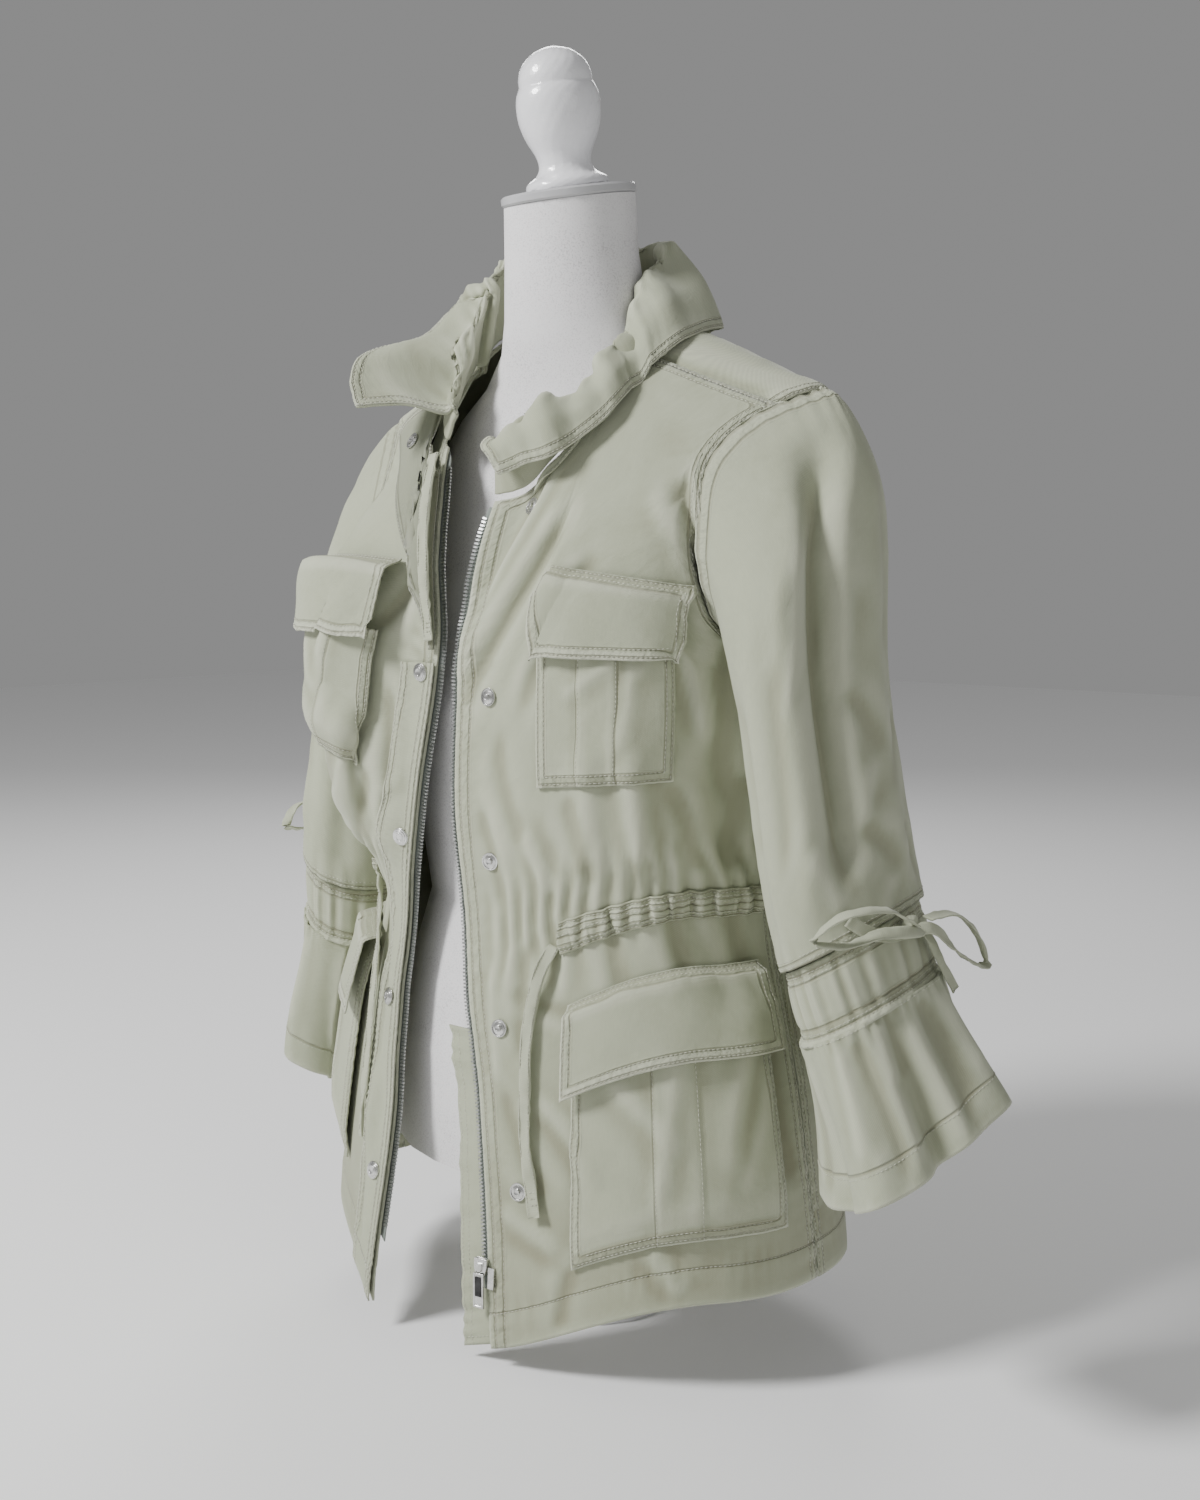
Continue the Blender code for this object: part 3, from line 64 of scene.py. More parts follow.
# lengths in metres, turns in degrees round the body: 0 at the front, 90 at the left, 180 at the back
# a level is 0 at the hem, 1 at the underarm, 2 on the shoulder ridge
clothThick = 0.0016
trimThick = 0.0011
seamGap = 0.0003
layGap = 0.0005
armZ = 0.486
hemZ = 0.010
neckX = 0.075
neckZ = 0.724
ridgeDrop = 0.43
shoulderSpread = 0.30
ridgeY = 0.004
frontYokeLevel = 1.90
backYokeLevel = 1.50
frontNeckTurn = 27.0
bodyRings = {
    "z": (0.006, 0.076, 0.156, 0.236, 0.300, 0.386, 0.486),
    "halfWidth": (0.211, 0.205, 0.195, 0.180, 0.165, 0.167, 0.172),
    "front": (0.146, 0.142, 0.136, 0.128, 0.119, 0.126, 0.125),
    "back": (0.142, 0.139, 0.134, 0.126, 0.114, 0.118, 0.121),
}
ringPower = 2.25
sideRise = {"level": (0.0, 0.5, 0.62, 0.80, 1.0), "rise": (0.055, 0.052, 0.038, 0.012, 0.0)}
armholeTable = {
    "level": (1.0, 1.05, 1.14, 1.30, 1.50, 1.70, 1.85, 2.0),
    "frontTurn": (89.7, 80.5, 71.5, 63.5, 57.0, 53.0, 57.0, 67.5),
    "backTurn": (89.7, 82.0, 76.0, 71.5, 69.5, 68.5, 68.0, 68.0),
}
leftEdge = {
    "level": (0.0, 0.17, 0.35, 0.60, 0.80, 1.0, 1.47), "turn": (13.0, 11.0, 5.5, -6.5, -7.5, -6.0, 1.5)
}
rightEdge = {
    "level": (0.0, 0.17, 0.35, 0.60, 0.80, 1.0, 1.30, 1.64),
    "turn": (27.0, 29.0, 31.0, 33.0, 24.0, 16.0, 17.5, 23.0),
}
frontFolds = {
    "fromTurn": (14.0, 60.0, 62.0, 50.0, 40.0, 66.0),
    "fromLevel": (1.52, 1.45, 0.98, 0.92, 0.88, 0.62),
    "toTurn": (-2.0, 66.0, 78.0, 54.0, 38.0, 74.0),
    "toLevel": (1.12, 0.98, 0.66, 0.66, 0.67, 0.40),
    "halfWidth": (5.0, 7.0, 6.0, 5.0, 4.5, 6.0),
    "height": (-0.006, -0.007, -0.008, 0.005, 0.004, -0.006),
}
backFolds = {
    "fromTurn": (120.0, 205.0, 232.0, 150.0, 176.0, 212.0, 244.0),
    "fromLevel": (1.05, 1.08, 0.98, 0.60, 0.60, 0.58, 0.60),
    "toTurn": (132.0, 196.0, 220.0, 146.0, 178.0, 218.0, 240.0),
    "toLevel": (0.68, 0.66, 0.68, 0.20, 0.10, 0.14, 0.20),
    "halfWidth": (6.0, 7.0, 6.0, 7.0, 8.0, 7.0, 6.0),
    "height": (-0.007, -0.006, -0.007, -0.007, -0.006, -0.007, -0.006),
}


def column(table, key, at):
    xs = np.array(table[next(iter(table))], float)
    ys = np.array(table[key], float)
    slopes = np.gradient(ys, xs)
    at = np.clip(np.asarray(at, float), xs[0], xs[-1])
    i = np.clip(np.searchsorted(xs, at, side="right") - 1, 0, len(xs) - 2)
    span = xs[i + 1] - xs[i]
    t = (at - xs[i]) / span
    first = (2 * t**3 - 3 * t**2 + 1) * ys[i] + (t**3 - 2 * t**2 + t) * span * slopes[i]
    return first + (3 * t**2 - 2 * t**3) * ys[i + 1] + (t**3 - t**2) * span * slopes[i + 1]


def ease(t):
    t = np.clip(t, 0, 1)
    return t * t * (3 - 2 * t)


def ringXy(turn, z):
    a = np.radians(turn)
    width = column(bodyRings, "halfWidth", z)
    depth = np.where(np.cos(a) > 0, column(bodyRings, "front", z), column(bodyRings, "back", z))
    power = ringPower
    reach = (np.abs(np.sin(a) / width) ** power + np.abs(np.cos(a) / depth) ** power) ** (-1 / power)
    return reach * np.sin(a), -reach * np.cos(a)


def levelZ(turn, level):
    side = ease((180 - np.abs(np.mod(turn, 360) - 180) - 4) / 62)
    return hemZ + (armZ - hemZ) * level + column(sideRise, "rise", level) * side


def bodyPoint(turn, level):
    turn, level = np.broadcast_arrays(np.asarray(turn, float), np.asarray(level, float))
    lowZ = levelZ(turn, np.minimum(level, 1.0))
    x, y = ringXy(turn, lowZ)
    topX, topY = ringXy(turn, armZ)
    ridgeX = topX * (1 + shoulderSpread)
    ridgeZ = neckZ - ridgeDrop * np.maximum(np.abs(ridgeX) - neckX, 0)
    t = np.clip(level - 1, 0, 1)
    front = topY < 0
    fall = np.where(front, (1 - t**2.1) ** 0.72, (1 - t**3.0) ** 0.62)
    highX = topX * (1 + shoulderSpread * ease(t))
    highY = ridgeY + (topY - ridgeY) * fall
    highZ = armZ + t * (ridgeZ - armZ)
    above = level > 1
    return np.stack(
        [np.where(above, highX, x), np.where(above, highY, y), np.where(above, highZ, lowZ)], -1
    )


def shoulderPoint(ridgeX, over):
    ridgeX, over = np.broadcast_arrays(np.asarray(ridgeX, float), np.asarray(over, float))
    frontTurns = np.linspace(0, 90, 181)
    frontX = ringXy(frontTurns, armZ)[0] * (1 + shoulderSpread)
    backTurns = np.linspace(180, 90, 181)
    backX = ringXy(backTurns, armZ)[0] * (1 + shoulderSpread)
    size = np.abs(ridgeX)
    turn = np.where(over < 0, np.interp(size, frontX, frontTurns), np.interp(size, backX, backTurns))
    point = bodyPoint(turn, 2 - np.abs(over))
    point[..., 0] *= np.where(ridgeX < 0, -1, 1)
    return point


def foldHeight(folds, turn, level):
    total = np.zeros(np.broadcast(turn, level).shape)
    for i in range(len(folds["height"])):
        start = np.array([folds["fromTurn"][i], folds["fromLevel"][i] * 100])
        along = np.array([folds["toTurn"][i], folds["toLevel"][i] * 100]) - start
        place = np.stack(np.broadcast_arrays(turn, np.asarray(level) * 100), -1) - start
        share = np.clip((place @ along) / (along @ along), -0.15, 1.15)
        away = np.linalg.norm(place - share[..., None] * along, axis=-1) / folds["halfWidth"][i]
        fade = ease((share + 0.15) / 0.3) * ease((1.15 - share) / 0.3)
        total = total + folds["height"][i] * np.exp(-(away**2)) * fade
    return total


def gridNormals(points, wraps=False):
    if wraps:
        across = np.roll(points, -1, 1) - np.roll(points, 1, 1)
    else:
        across = np.gradient(points, axis=1)
    normals = np.cross(across, np.gradient(points, axis=0))
    return normals / np.maximum(np.linalg.norm(normals, axis=-1, keepdims=True), 1e-12)


def mirrored(points):
    return points[:, ::-1] * np.array([-1.0, 1.0, 1.0])


class Panel:
    def __init__(self, points, columns, levels, turns=None):
        self.points = points
        self.normals = gridNormals(points)
        self.turns = turns
        self.columns = np.asarray(columns, float)
        self.levels = np.asarray(levels, float)

    def at(self, columns, levels):
        c = np.clip(np.asarray(columns, float), self.columns[0], self.columns[-1])
        v = np.clip(np.asarray(levels, float), self.levels[0], self.levels[-1])
        i = np.clip(np.searchsorted(self.columns, c, side="right") - 1, 0, len(self.columns) - 2)
        j = np.clip(np.searchsorted(self.levels, v, side="right") - 1, 0, len(self.levels) - 2)
        s = ((c - self.columns[i]) / (self.columns[i + 1] - self.columns[i]))[..., None]
        t = ((v - self.levels[j]) / (self.levels[j + 1] - self.levels[j]))[..., None]
        read = []
        for grid in (self.points, self.normals):
            low = grid[j, i] * (1 - s) + grid[j, i + 1] * s
            high = grid[j + 1, i] * (1 - s) + grid[j + 1, i + 1] * s
            read.append(low * (1 - t) + high * t)
        read[1] = read[1] / np.linalg.norm(read[1], axis=-1, keepdims=True)
        return read

    def sharesAt(self, turns, levels):
        place = np.interp(levels.ravel(), self.levels, np.arange(len(self.levels)))
        found = []
        for turn, row in zip(turns.ravel(), place):
            low = min(int(row), len(self.levels) - 2)
            line = self.turns[low] * (1 - row + low) + self.turns[low + 1] * (row - low)
            step = 1 if line[0] < line[-1] else -1
            found.append(np.interp(turn, line[::step], self.columns[::step]))
        return np.reshape(found, turns.shape)


frontShares = np.array(
    [0, 0.045, 0.09, 0.135, 0.19, 0.25, 0.31, 0.37, 0.43, 0.50, 0.57, 0.64, 0.71, 0.78, 0.85, 0.93, 1.0]
)
straightShare = 0.55
frontLevels = np.array(
    [0, 0.055, 0.14, 0.24, 0.34, 0.44, 0.52, 0.58, 0.65, 0.74, 0.85, 1.0, 1.13, 1.30, 1.50, 1.72, 2.0]
)
rightBulge = {"height": 0.044, "turn": 58.0, "halfWidth": 19.0}


def frontGrid(edge, neckLevel, side):
    share, level = np.meshgrid(frontShares, frontLevels)
    trueLevel = np.minimum(level, 1.0)
    edgeTop = float(column(edge, "turn", edge["level"][-1]))
    for _ in range(12):
        start = column(edge, "turn", trueLevel)
        end = np.where(trueLevel > 1, column(armholeTable, "frontTurn", trueLevel), 89.9)
        reach = np.minimum((89.9 - start) / (end - start) * straightShare, 0.92)
        outerShare = np.clip((share - straightShare) / (1 - straightShare), 0, 1)
        innerShare = np.minimum(share / straightShare, 1)
        turn = start + (end - start) * (reach * innerShare + (1 - reach) * outerShare)
        inNeck = np.clip((turn - edgeTop) / (frontNeckTurn - edgeTop), 0, 1)
        top = neckLevel + (frontYokeLevel - neckLevel) * (1 - np.sqrt(1 - inNeck**2))
        trueLevel = np.where(level > 1, 1 + (top - 1) * (level - 1), level)
    points = bodyPoint(turn, trueLevel)
    points = points + gridNormals(points) * foldHeight(frontFolds, turn, trueLevel)[..., None]
    nearEdge = np.clip(1 - share / 0.45, 0, 1) ** 2
    lower = np.clip(1 - trueLevel / 0.75, 0, 1)
    sway = (0.004 if side > 0 else 0.010) * np.sin(trueLevel * 9 + (0.4 if side > 0 else 1.7))
    hang = 0.0 if side > 0 else 0.009 * ease(lower * 1.6) * ease((1 - share) / 0.12)
    window = ease((trueLevel - 0.50) / 0.35) * ease((1.66 - trueLevel) / 0.40) * ease((0.93 - share) / 0.16)
    away = (turn - rightBulge["turn"]) / rightBulge["halfWidth"]
    bulge = 0.0 if side > 0 else rightBulge["height"] * np.exp(-(away**2)) * window
    points = points + gridNormals(points) * (nearEdge * lower * sway + hang + bulge)[..., None]
    points[..., 2] -= 0.0 if side > 0 else 0.007 * nearEdge * lower
    return points, turn


backLevels = np.array([0, 0.055, 0.18, 0.33, 0.46, 0.55, 0.605, 0.70, 0.85, 1.0, 1.3, 1.65, 2.0])


def backGrid():
    columnTurn, level = np.meshgrid(backColumns, backLevels)
    trueLevel = np.where(level > 1, 1 + (backYokeLevel - 1) * (level - 1), level)
    start = np.where(trueLevel > 1, 180 - column(armholeTable, "backTurn", trueLevel), 90.15)
    turn = start + (360 - 2 * start) * (columnTurn - 90) / 180
    points = bodyPoint(turn, trueLevel)
    return points + gridNormals(points) * foldHeight(backFolds, turn, trueLevel)[..., None]


yokeNeck = {
    "over": (-0.10, -0.05, 0.0, 0.035, 0.070, 0.092, 0.100),
    "x": (0.0775, 0.0760, 0.0750, 0.0700, 0.0520, 0.0280, 0.0),
}
yokeGap = -0.012


def yokeRim():
    levels = np.concatenate([np.linspace(frontYokeLevel, 2, 4), np.linspace(2, backYokeLevel, 6)[1:]])
    front = np.arange(len(levels)) < 4
    turns = np.where(
        front, column(armholeTable, "frontTurn", levels), 180 - column(armholeTable, "backTurn", levels)
    )
    x = ringXy(turns, armZ)[0] * (1 + shoulderSpread) - 0.0012
    over = np.where(front, levels - 2, 2 - levels)
    return {"x": np.append(x, 0.0), "over": np.append(over, 2 - backYokeLevel)}


def evenLine(table, count):
    line = np.stack([np.array(table["x"], float), np.array(table["over"], float)], -1)
    steps = np.linalg.norm(np.diff(line, axis=0) * np.array([1.0, 0.24]), axis=1)
    along = np.concatenate([[0], np.cumsum(steps)])
    wanted = np.linspace(0, along[-1], count)
    return np.stack([np.interp(wanted, along, line[:, k]) for k in range(2)], -1)


def yokeGrid(halfCount, rows):
    inner = evenLine(yokeNeck, halfCount)
    outer = evenLine(yokeRim(), halfCount)
    outer[:, 1] = np.minimum(outer[:, 1], 2 - backYokeLevel - yokeGap)
    inner[:, 1] = np.maximum(inner[:, 1], frontYokeLevel - 2 + yokeGap)
    outer[:, 1] = np.maximum(outer[:, 1], frontYokeLevel - 2 + yokeGap)
    share = np.linspace(0, 1, rows)[:, None, None]
    half = inner[None] * share + outer[None] * (1 - share)
    other = half[:, -2::-1] * np.array([-1.0, 1.0])
    plan = np.concatenate([half, other], 1)
    return shoulderPoint(plan[..., 0], plan[..., 1])


sleeveRings = {
    "z": (0.086, 0.186, 0.266, 0.331, 0.406, 0.486, 0.556, 0.686),
    "out_left": (0.318, 0.294, 0.261, 0.240, 0.223, 0.208, 0.200, 0.197),
    "out_right": (0.243, 0.238, 0.232, 0.228, 0.221, 0.212, 0.204, 0.198),
    "ahead_left": (0.014, 0.016, 0.022, 0.025, 0.023, 0.020, 0.014, 0.005),
    "ahead_right": (0.006, 0.008, 0.010, 0.008, 0.004, 0.000, 0.000, 0.002),
    "wide_left": (0.074, 0.062, 0.049, 0.045, 0.044, 0.043, 0.045, 0.045),
    "wide_right": (0.056, 0.051, 0.043, 0.045, 0.044, 0.043, 0.045, 0.045),
    "deep": (0.080, 0.072, 0.062, 0.066, 0.066, 0.066, 0.068, 0.066),
}
cuffClear = {"left": 0.018, "right": 0.044}
cuffDrop = {"left": 0.136, "right": 0.148}
sleeveTilt = 0.023
tiltTurn = 115.0
sleeveEndZ = 0.316
sleeveFolds = {
    "turn": (56.0, 24.0, 96.0, 150.0, 215.0, 330.0),
    "halfWidth": (10.0, 9.0, 12.0, 13.0, 14.0, 12.0),
    "height": (-0.015, 0.003, 0.004, -0.008, -0.007, -0.004),
    "fromShare": (0.05, 0.20, 0.10, 0.15, 0.30, 0.25),
    "toShare": (0.92, 0.95, 0.98, 0.95, 0.92, 0.98),
}


def sleeveFold(turn, share):
    total = np.zeros(np.broadcast(turn, share).shape)
    for i in range(len(sleeveFolds["turn"])):
        away = (np.mod(turn - sleeveFolds["turn"][i] + 180, 360) - 180) / sleeveFolds["halfWidth"][i]
        start, end = sleeveFolds["fromShare"][i], sleeveFolds["toShare"][i]
        fade = ease((share - start) / 0.12) * ease((end - share) / 0.10)
        total = total + sleeveFolds["height"][i] * np.exp(-(away**2)) * fade
    return total


def offBody(points, gap, side):
    x, y, z = np.moveaxis(points, -1, 0)
    depth = np.where(y < 0, column(bodyRings, "front", z), column(bodyRings, "back", z))
    reach = np.clip(1 - np.abs(y / depth) ** ringPower, 0, 1) ** (1 / ringPower)
    limit = column(bodyRings, "halfWidth", z) * reach + gap
    if side == "right":
        limit = limit + 0.036 * np.exp(-(((y + 0.095) / 0.055) ** 2)) * ease((z - 0.25) / 0.1)
    moved = points.copy()
    moved[..., 0] = np.where(z < armZ + 0.09, np.maximum(x, limit), x)
    return moved


def sleeveRing(turn, z, side):
    a = np.radians(turn)
    wide = column(sleeveRings, f"wide_{side}", z)
    deep = column(sleeveRings, "deep", z)
    x = column(sleeveRings, f"out_{side}", z) + wide * np.sin(a)
    y = -column(sleeveRings, f"ahead_{side}", z) - deep * np.cos(a)
    return x, y


def tilted(turn, z):
    return z + sleeveTilt * np.cos(np.radians(turn - tiltTurn))


def armholePoint(turn):
    turn = np.mod(turn, 360)
    level = 1 + (1 + np.sin(np.radians(turn))) / 2
    inFront = np.cos(np.radians(turn)) > 0
    bodyTurn = np.where(
        inFront, column(armholeTable, "frontTurn", level), 180 - column(armholeTable, "backTurn", level)
    )
    return bodyPoint(bodyTurn, level)


def sleeveGrid(turns, shares, side, extra):
    turn, share = np.meshgrid(turns, shares)
    top = armholePoint(turn)
    outward = np.stack([np.ones_like(turn), np.zeros_like(turn), np.zeros_like(turn)], -1)
    top = top + outward * (0.0024 - 0.006 * np.exp(-((share / 0.012) ** 2)))[..., None]
    z = top[..., 2] + (tilted(turn, sleeveEndZ) - top[..., 2]) * share
    ringX, ringY = sleeveRing(turn, z, side)
    blend = 1 - (1 - np.clip(share / 0.30, 0, 1)) ** 2
    x = top[..., 0] + (ringX - top[..., 0]) * blend
    y = top[..., 1] + (ringY - top[..., 1]) * blend
    puff = np.sin(np.pi * np.clip(share / 0.26, 0, 1)) * np.clip(np.sin(np.radians(turn)), 0, 1) ** 4
    points = np.stack([x + 0.004 * puff, y, z + 0.003 * puff], -1)[::-1]
    height = sleeveFold(turn, share) + extra(turn, share)
    points = points + gridNormals(points, True) * height[::-1][..., None]
    near = 0.0005 + 0.0055 * np.clip(share[::-1] / 0.15, 0, 1)
    return np.where((points[..., 2] < armZ)[..., None], offBody(points, near, side), points)


casingDrop = 0.044
cuffWaves = {
    "turn": (8.0, 52.0, 100.0, 146.0, 192.0, 238.0, 286.0, 332.0),
    "halfWidth": (13.0, 11.0, 14.0, 13.0, 12.0, 14.0, 13.0, 12.0),
    "height": (0.009, -0.019, 0.012, -0.012, 0.011, -0.012, 0.008, -0.010),
}


def cuffGrid(turns, drops, side, extra):
    turn, drop = np.meshgrid(turns, drops)
    below = np.clip((drop - casingDrop) / (cuffDrop[side] - casingDrop), 0, 1)
    lean = 0.012 * np.cos(np.radians(turn - 130)) * below
    z = tilted(turn, sleeveEndZ - drop) + lean
    x, y = sleeveRing(turn, z, side)
    points = np.stack([x, y, z], -1)[::-1]
    wave = np.zeros_like(turn)
    for i in range(len(cuffWaves["turn"])):
        away = (np.mod(turn - cuffWaves["turn"][i] + 180, 360) - 180) / cuffWaves["halfWidth"][i]
        wave += cuffWaves["height"][i] * np.exp(-(away**2))
    wave *= ease((drop - casingDrop) / (cuffDrop[side] - casingDrop)) * 0.8 + 0.2 * (drop > casingDrop)
    points = points + gridNormals(points, True) * (wave + extra(turn, drop))[::-1][..., None]
    return offBody(points, cuffClear[side], side)


def mirroredTube(points):
    return np.roll(points[:, ::-1], 1, 1) * np.array([-1.0, 1.0, 1.0])


# shapes and their seam distances are made for the left arm, and turned over for the right
def forArm(side, points, rest):
    if side == "left":
        return points, rest
    return mirroredTube(points), [np.roll(grid[:, ::-1], 1, 1) for grid in rest]


cuffGap = 0.0014
collarTable = {
    "share": (
        0.00, 0.05, 0.10, 0.15, 0.20, 0.25, 0.30, 0.35, 0.40, 0.45, 0.50, 0.60, 0.70, 0.75, 0.80, 0.85,
        0.90, 0.93, 1.00,
    ),
    "aim": (10, 15, 25, 35, 45, 55, 70, 90, 115, 140, 165, 190, 235, 265, 280, 288, 292, 292, 292),
    "roll_x": (0, -9, -9, -6, -9, -10, -11, -15, -22, -20, -21, -14, -7, -6, -1, 6, 6, 6, 5),
    "roll_y": (-5, -13, -13, -9, -8, -9, -6, -5, 0, -4, -8, -4, 2, -5, -1, 2, 1, 1, -1),
    "roll_z": (35, 37, 32, 20, 12, 12, 17, 30, 54, 73, 79, 77, 66, 53, 52, 53, 46, 41, 23),
    "edge_x": (13, 8, 8, 8, 12, 13, 18, 27, 26, 15, 10, 0, -18, -38, -34, -28, -32, -46, -40),
    "edge_y": (-10, -17, -19, -18, -19, -20, -20, -20, 2, 12, 27, 38, 42, 24, 2, -5, -22, -46, -52),
    "edge_z": (13, 11, -4, -14, -20, -23, -23, -21, -4, 8, 15, 17, 12, 12, 38, 39, 34, 34, 23),
}
collarUnit = 0.001


def neckline():
    left = leftFront[-1, : len([s for s in frontShares if s < 0.30])]
    right = rightFront[-1, ::-1][: len([s for s in frontShares if s < 0.10])]
    roundBack = yokePoints[-1]
    return np.concatenate([left[left[:, 2] < yokePoints[-1, 0, 2]], roundBack, right[::-1]])


def lengthsAlong(line):
    return np.concatenate([[0], np.cumsum(np.linalg.norm(np.diff(line, axis=0), axis=1))])


def resampled(line, count):
    along = lengthsAlong(line)
    wanted = np.linspace(0, along[-1], count)
    return np.stack([np.interp(wanted, along, line[:, k]) for k in range(3)], -1)


def catmullRom(keys, count):
    made = []
    for value in np.linspace(0, len(keys) - 1, count):
        i = min(int(value), len(keys) - 2)
        t = value - i
        first, second = keys[i], keys[i + 1]
        before, after = keys[max(i - 1, 0)], keys[min(i + 2, len(keys) - 1)]
        curve = 2 * first + (second - before) * t
        curve = curve + (2 * before - 5 * first + 4 * second - after) * t**2
        curve = curve + (3 * first - before - 3 * second + after) * t**3
        made.append(curve / 2)
    return np.stack(made)


def collarGrid(stations, rows):
    seam = resampled(neckline(), stations)
    share = np.linspace(0, 1, stations)
    aim = np.radians(column(collarTable, "aim", share))
    outward = np.stack([np.sin(aim), -np.cos(aim), np.zeros_like(aim)], -1)
    up = np.array([0.0, 0.0, 1.0])
    seam = seam + up * 0.0044 - outward * 0.001
    roll, edge = (
        seam + np.stack([column(collarTable, f"{line}_{axis}", share) for axis in "xyz"], -1) * collarUnit
        for line in ("roll", "edge")
    )
    keys = [
        seam,
        seam * 0.5 + roll * 0.5 - outward * 0.002,
        roll - outward * 0.004 - up * 0.005,
        roll,
        roll + outward * 0.007 - up * 0.004,
        roll * 0.5 + edge * 0.5 + outward * 0.006 + up * 0.002,
        edge,
    ]
    points = catmullRom(keys, rows)
    crease = 0.0030 * np.sin(share * 62 + 0.6) + 0.0022 * np.sin(share * 107 + 2.0)
    height = crease[None, :] * np.sin(np.pi * np.linspace(0.10, 0.92, rows))[:, None]
    return points - gridNormals(points) * height[..., None]


pocketTable = {
    "name": ("chest_left", "chest_right", "hip_left", "hip_right"),
    "turn": ((24.0, 61.5), (35.5, 62.5), (34.5, 83.0), (49.0, 81.0)),
    "bottom": (0.825, 0.825, 0.090, 0.100),
    "top": (1.10, 1.10, 0.440, 0.440),
    "flapBottom": (1.035, 1.07, 0.330, 0.330),
    "flapTop": (1.32, 1.34, 0.466, 0.466),
    "pleat": ((37.5, 47.5), (46.0, 53.5), (54.5, 64.0), (62.0, 70.0)),
    "swell": (0.0012, 0.0115, 0.0045, 0.0085),
    "columns": (8, 8, 10, 9),
    "lean": (0.0, 20.0, 0.0, 0.0),
    "rise": (0.0, 0.06, 0.0, 0.0),
}
leanLevel = 1.10


def smoothPath(points, count):
    points = np.asarray(points, float)
    along = lengthsAlong(points)
    slopes = np.gradient(points, along, axis=0)
    fine = np.linspace(0, along[-1], count * 6)
    i = np.clip(np.searchsorted(along, fine, side="right") - 1, 0, len(along) - 2)
    span = (along[i + 1] - along[i])[:, None]
    t = ((fine - along[i]) / span[:, 0])[:, None]
    curve = (2 * t**3 - 3 * t**2 + 1) * points[i] + (t**3 - 2 * t**2 + t) * span * slopes[i]
    curve = curve + (3 * t**2 - 2 * t**3) * points[i + 1] + (t**3 - t**2) * span * slopes[i + 1]
    return resampled(curve, count)


waistTie = {
    "share": (0.373, 0.340, 0.290, 0.250, 0.215, 0.195, 0.190, 0.205),
    "rightShare": (0.642, 0.676, 0.735, 0.775, 0.795, 0.805, 0.810, 0.815),
    "level": (0.566, 0.548, 0.500, 0.440, 0.370, 0.295, 0.225, 0.180),
    "height": (0.0019, 0.0060, 0.0060, 0.0055, 0.0050, 0.0050, 0.0050, 0.0050),
}
collarTie = {
    "share": (0.985, 0.985, 0.988, 0.990),
    "level": (1.93, 1.70, 1.40, 1.10),
    "height": (0.0095, 0.0130, 0.0110, 0.0070),
}
bowTable = {
    "piece": ("loop_front", "loop_back", "end_short", "end_long"),
    "turns": (
        (82, 60, 36, 22, 34, 60, 82), (92, 108, 122, 130, 120, 104, 92), (81.5, 66, 52, 44),
        (95, 104, 108, 112),
    ),
    "drops": (
        (0.004, -0.016, -0.020, -0.012, -0.004, 0.000, 0.008),
        (0.004, 0.006, 0.022, 0.044, 0.040, 0.024, 0.010),
        (0.010, 0.006, -0.004, -0.014),
        (0.012, 0.026, 0.042, 0.056),
    ),
    "heights": (
        (0.013, 0.020, 0.022, 0.018, 0.014, 0.0135, 0.013),
        (0.013, 0.021, 0.028, 0.028, 0.020, 0.0155, 0.013),
        (0.004, 0.0045, 0.005, 0.006),
        (0.004, 0.0045, 0.005, 0.006),
    ),
}


def cuffFrame(turn, drop, side):
    z = tilted(turn, sleeveEndZ - drop)
    x, y = sleeveRing(turn, z, side)
    a = np.radians(turn)
    outward = np.stack([np.sin(a), -np.cos(a), np.zeros_like(a)], -1)
    return np.stack([x, y, z], -1), outward


def dense(values, count):
    values = np.asarray(values, float)
    return np.interp(np.linspace(0, len(values) - 1, count), np.arange(len(values)), values)


frontShares = dense(frontShares, 92)
frontLevels = dense(frontLevels, 190)
backLevels = dense(backLevels, 170)
backColumns = np.linspace(90, 270, 128)


# soft value noise, the same each time
def noiseField(x, y, size, seed):
    table = np.random.default_rng(seed).standard_normal((64, 64))
    x = np.asarray(x, float) / size + 17.0
    y = np.asarray(y, float) / size + 23.0
    i, j = np.floor(x).astype(int), np.floor(y).astype(int)
    s, t = ease(x - i), ease(y - j)
    corner = [[table[(i + a) % 64, (j + b) % 64] for b in (0, 1)] for a in (0, 1)]
    low = corner[0][0] * (1 - s) + corner[1][0] * s
    high = corner[0][1] * (1 - s) + corner[1][1] * s
    return low * (1 - t) + high * t


# washed cloth: broad waves, then small sharp ridges
def crumpled(x, y, seed, amount=1.0):
    bend = noiseField(x, y, 70, seed + 5) * 18
    broad = noiseField(x + bend, y, 46, seed) * 0.00075
    ridge = (0.5 - np.abs(noiseField(x + bend, y + bend, 27, seed + 1))) * 0.00065
    small = (0.4 - np.abs(noiseField(x - bend, y + bend, 12, seed + 2))) * 0.00026
    return (broad * 0.8 + ridge * 0.42 + small * 0.3) * amount


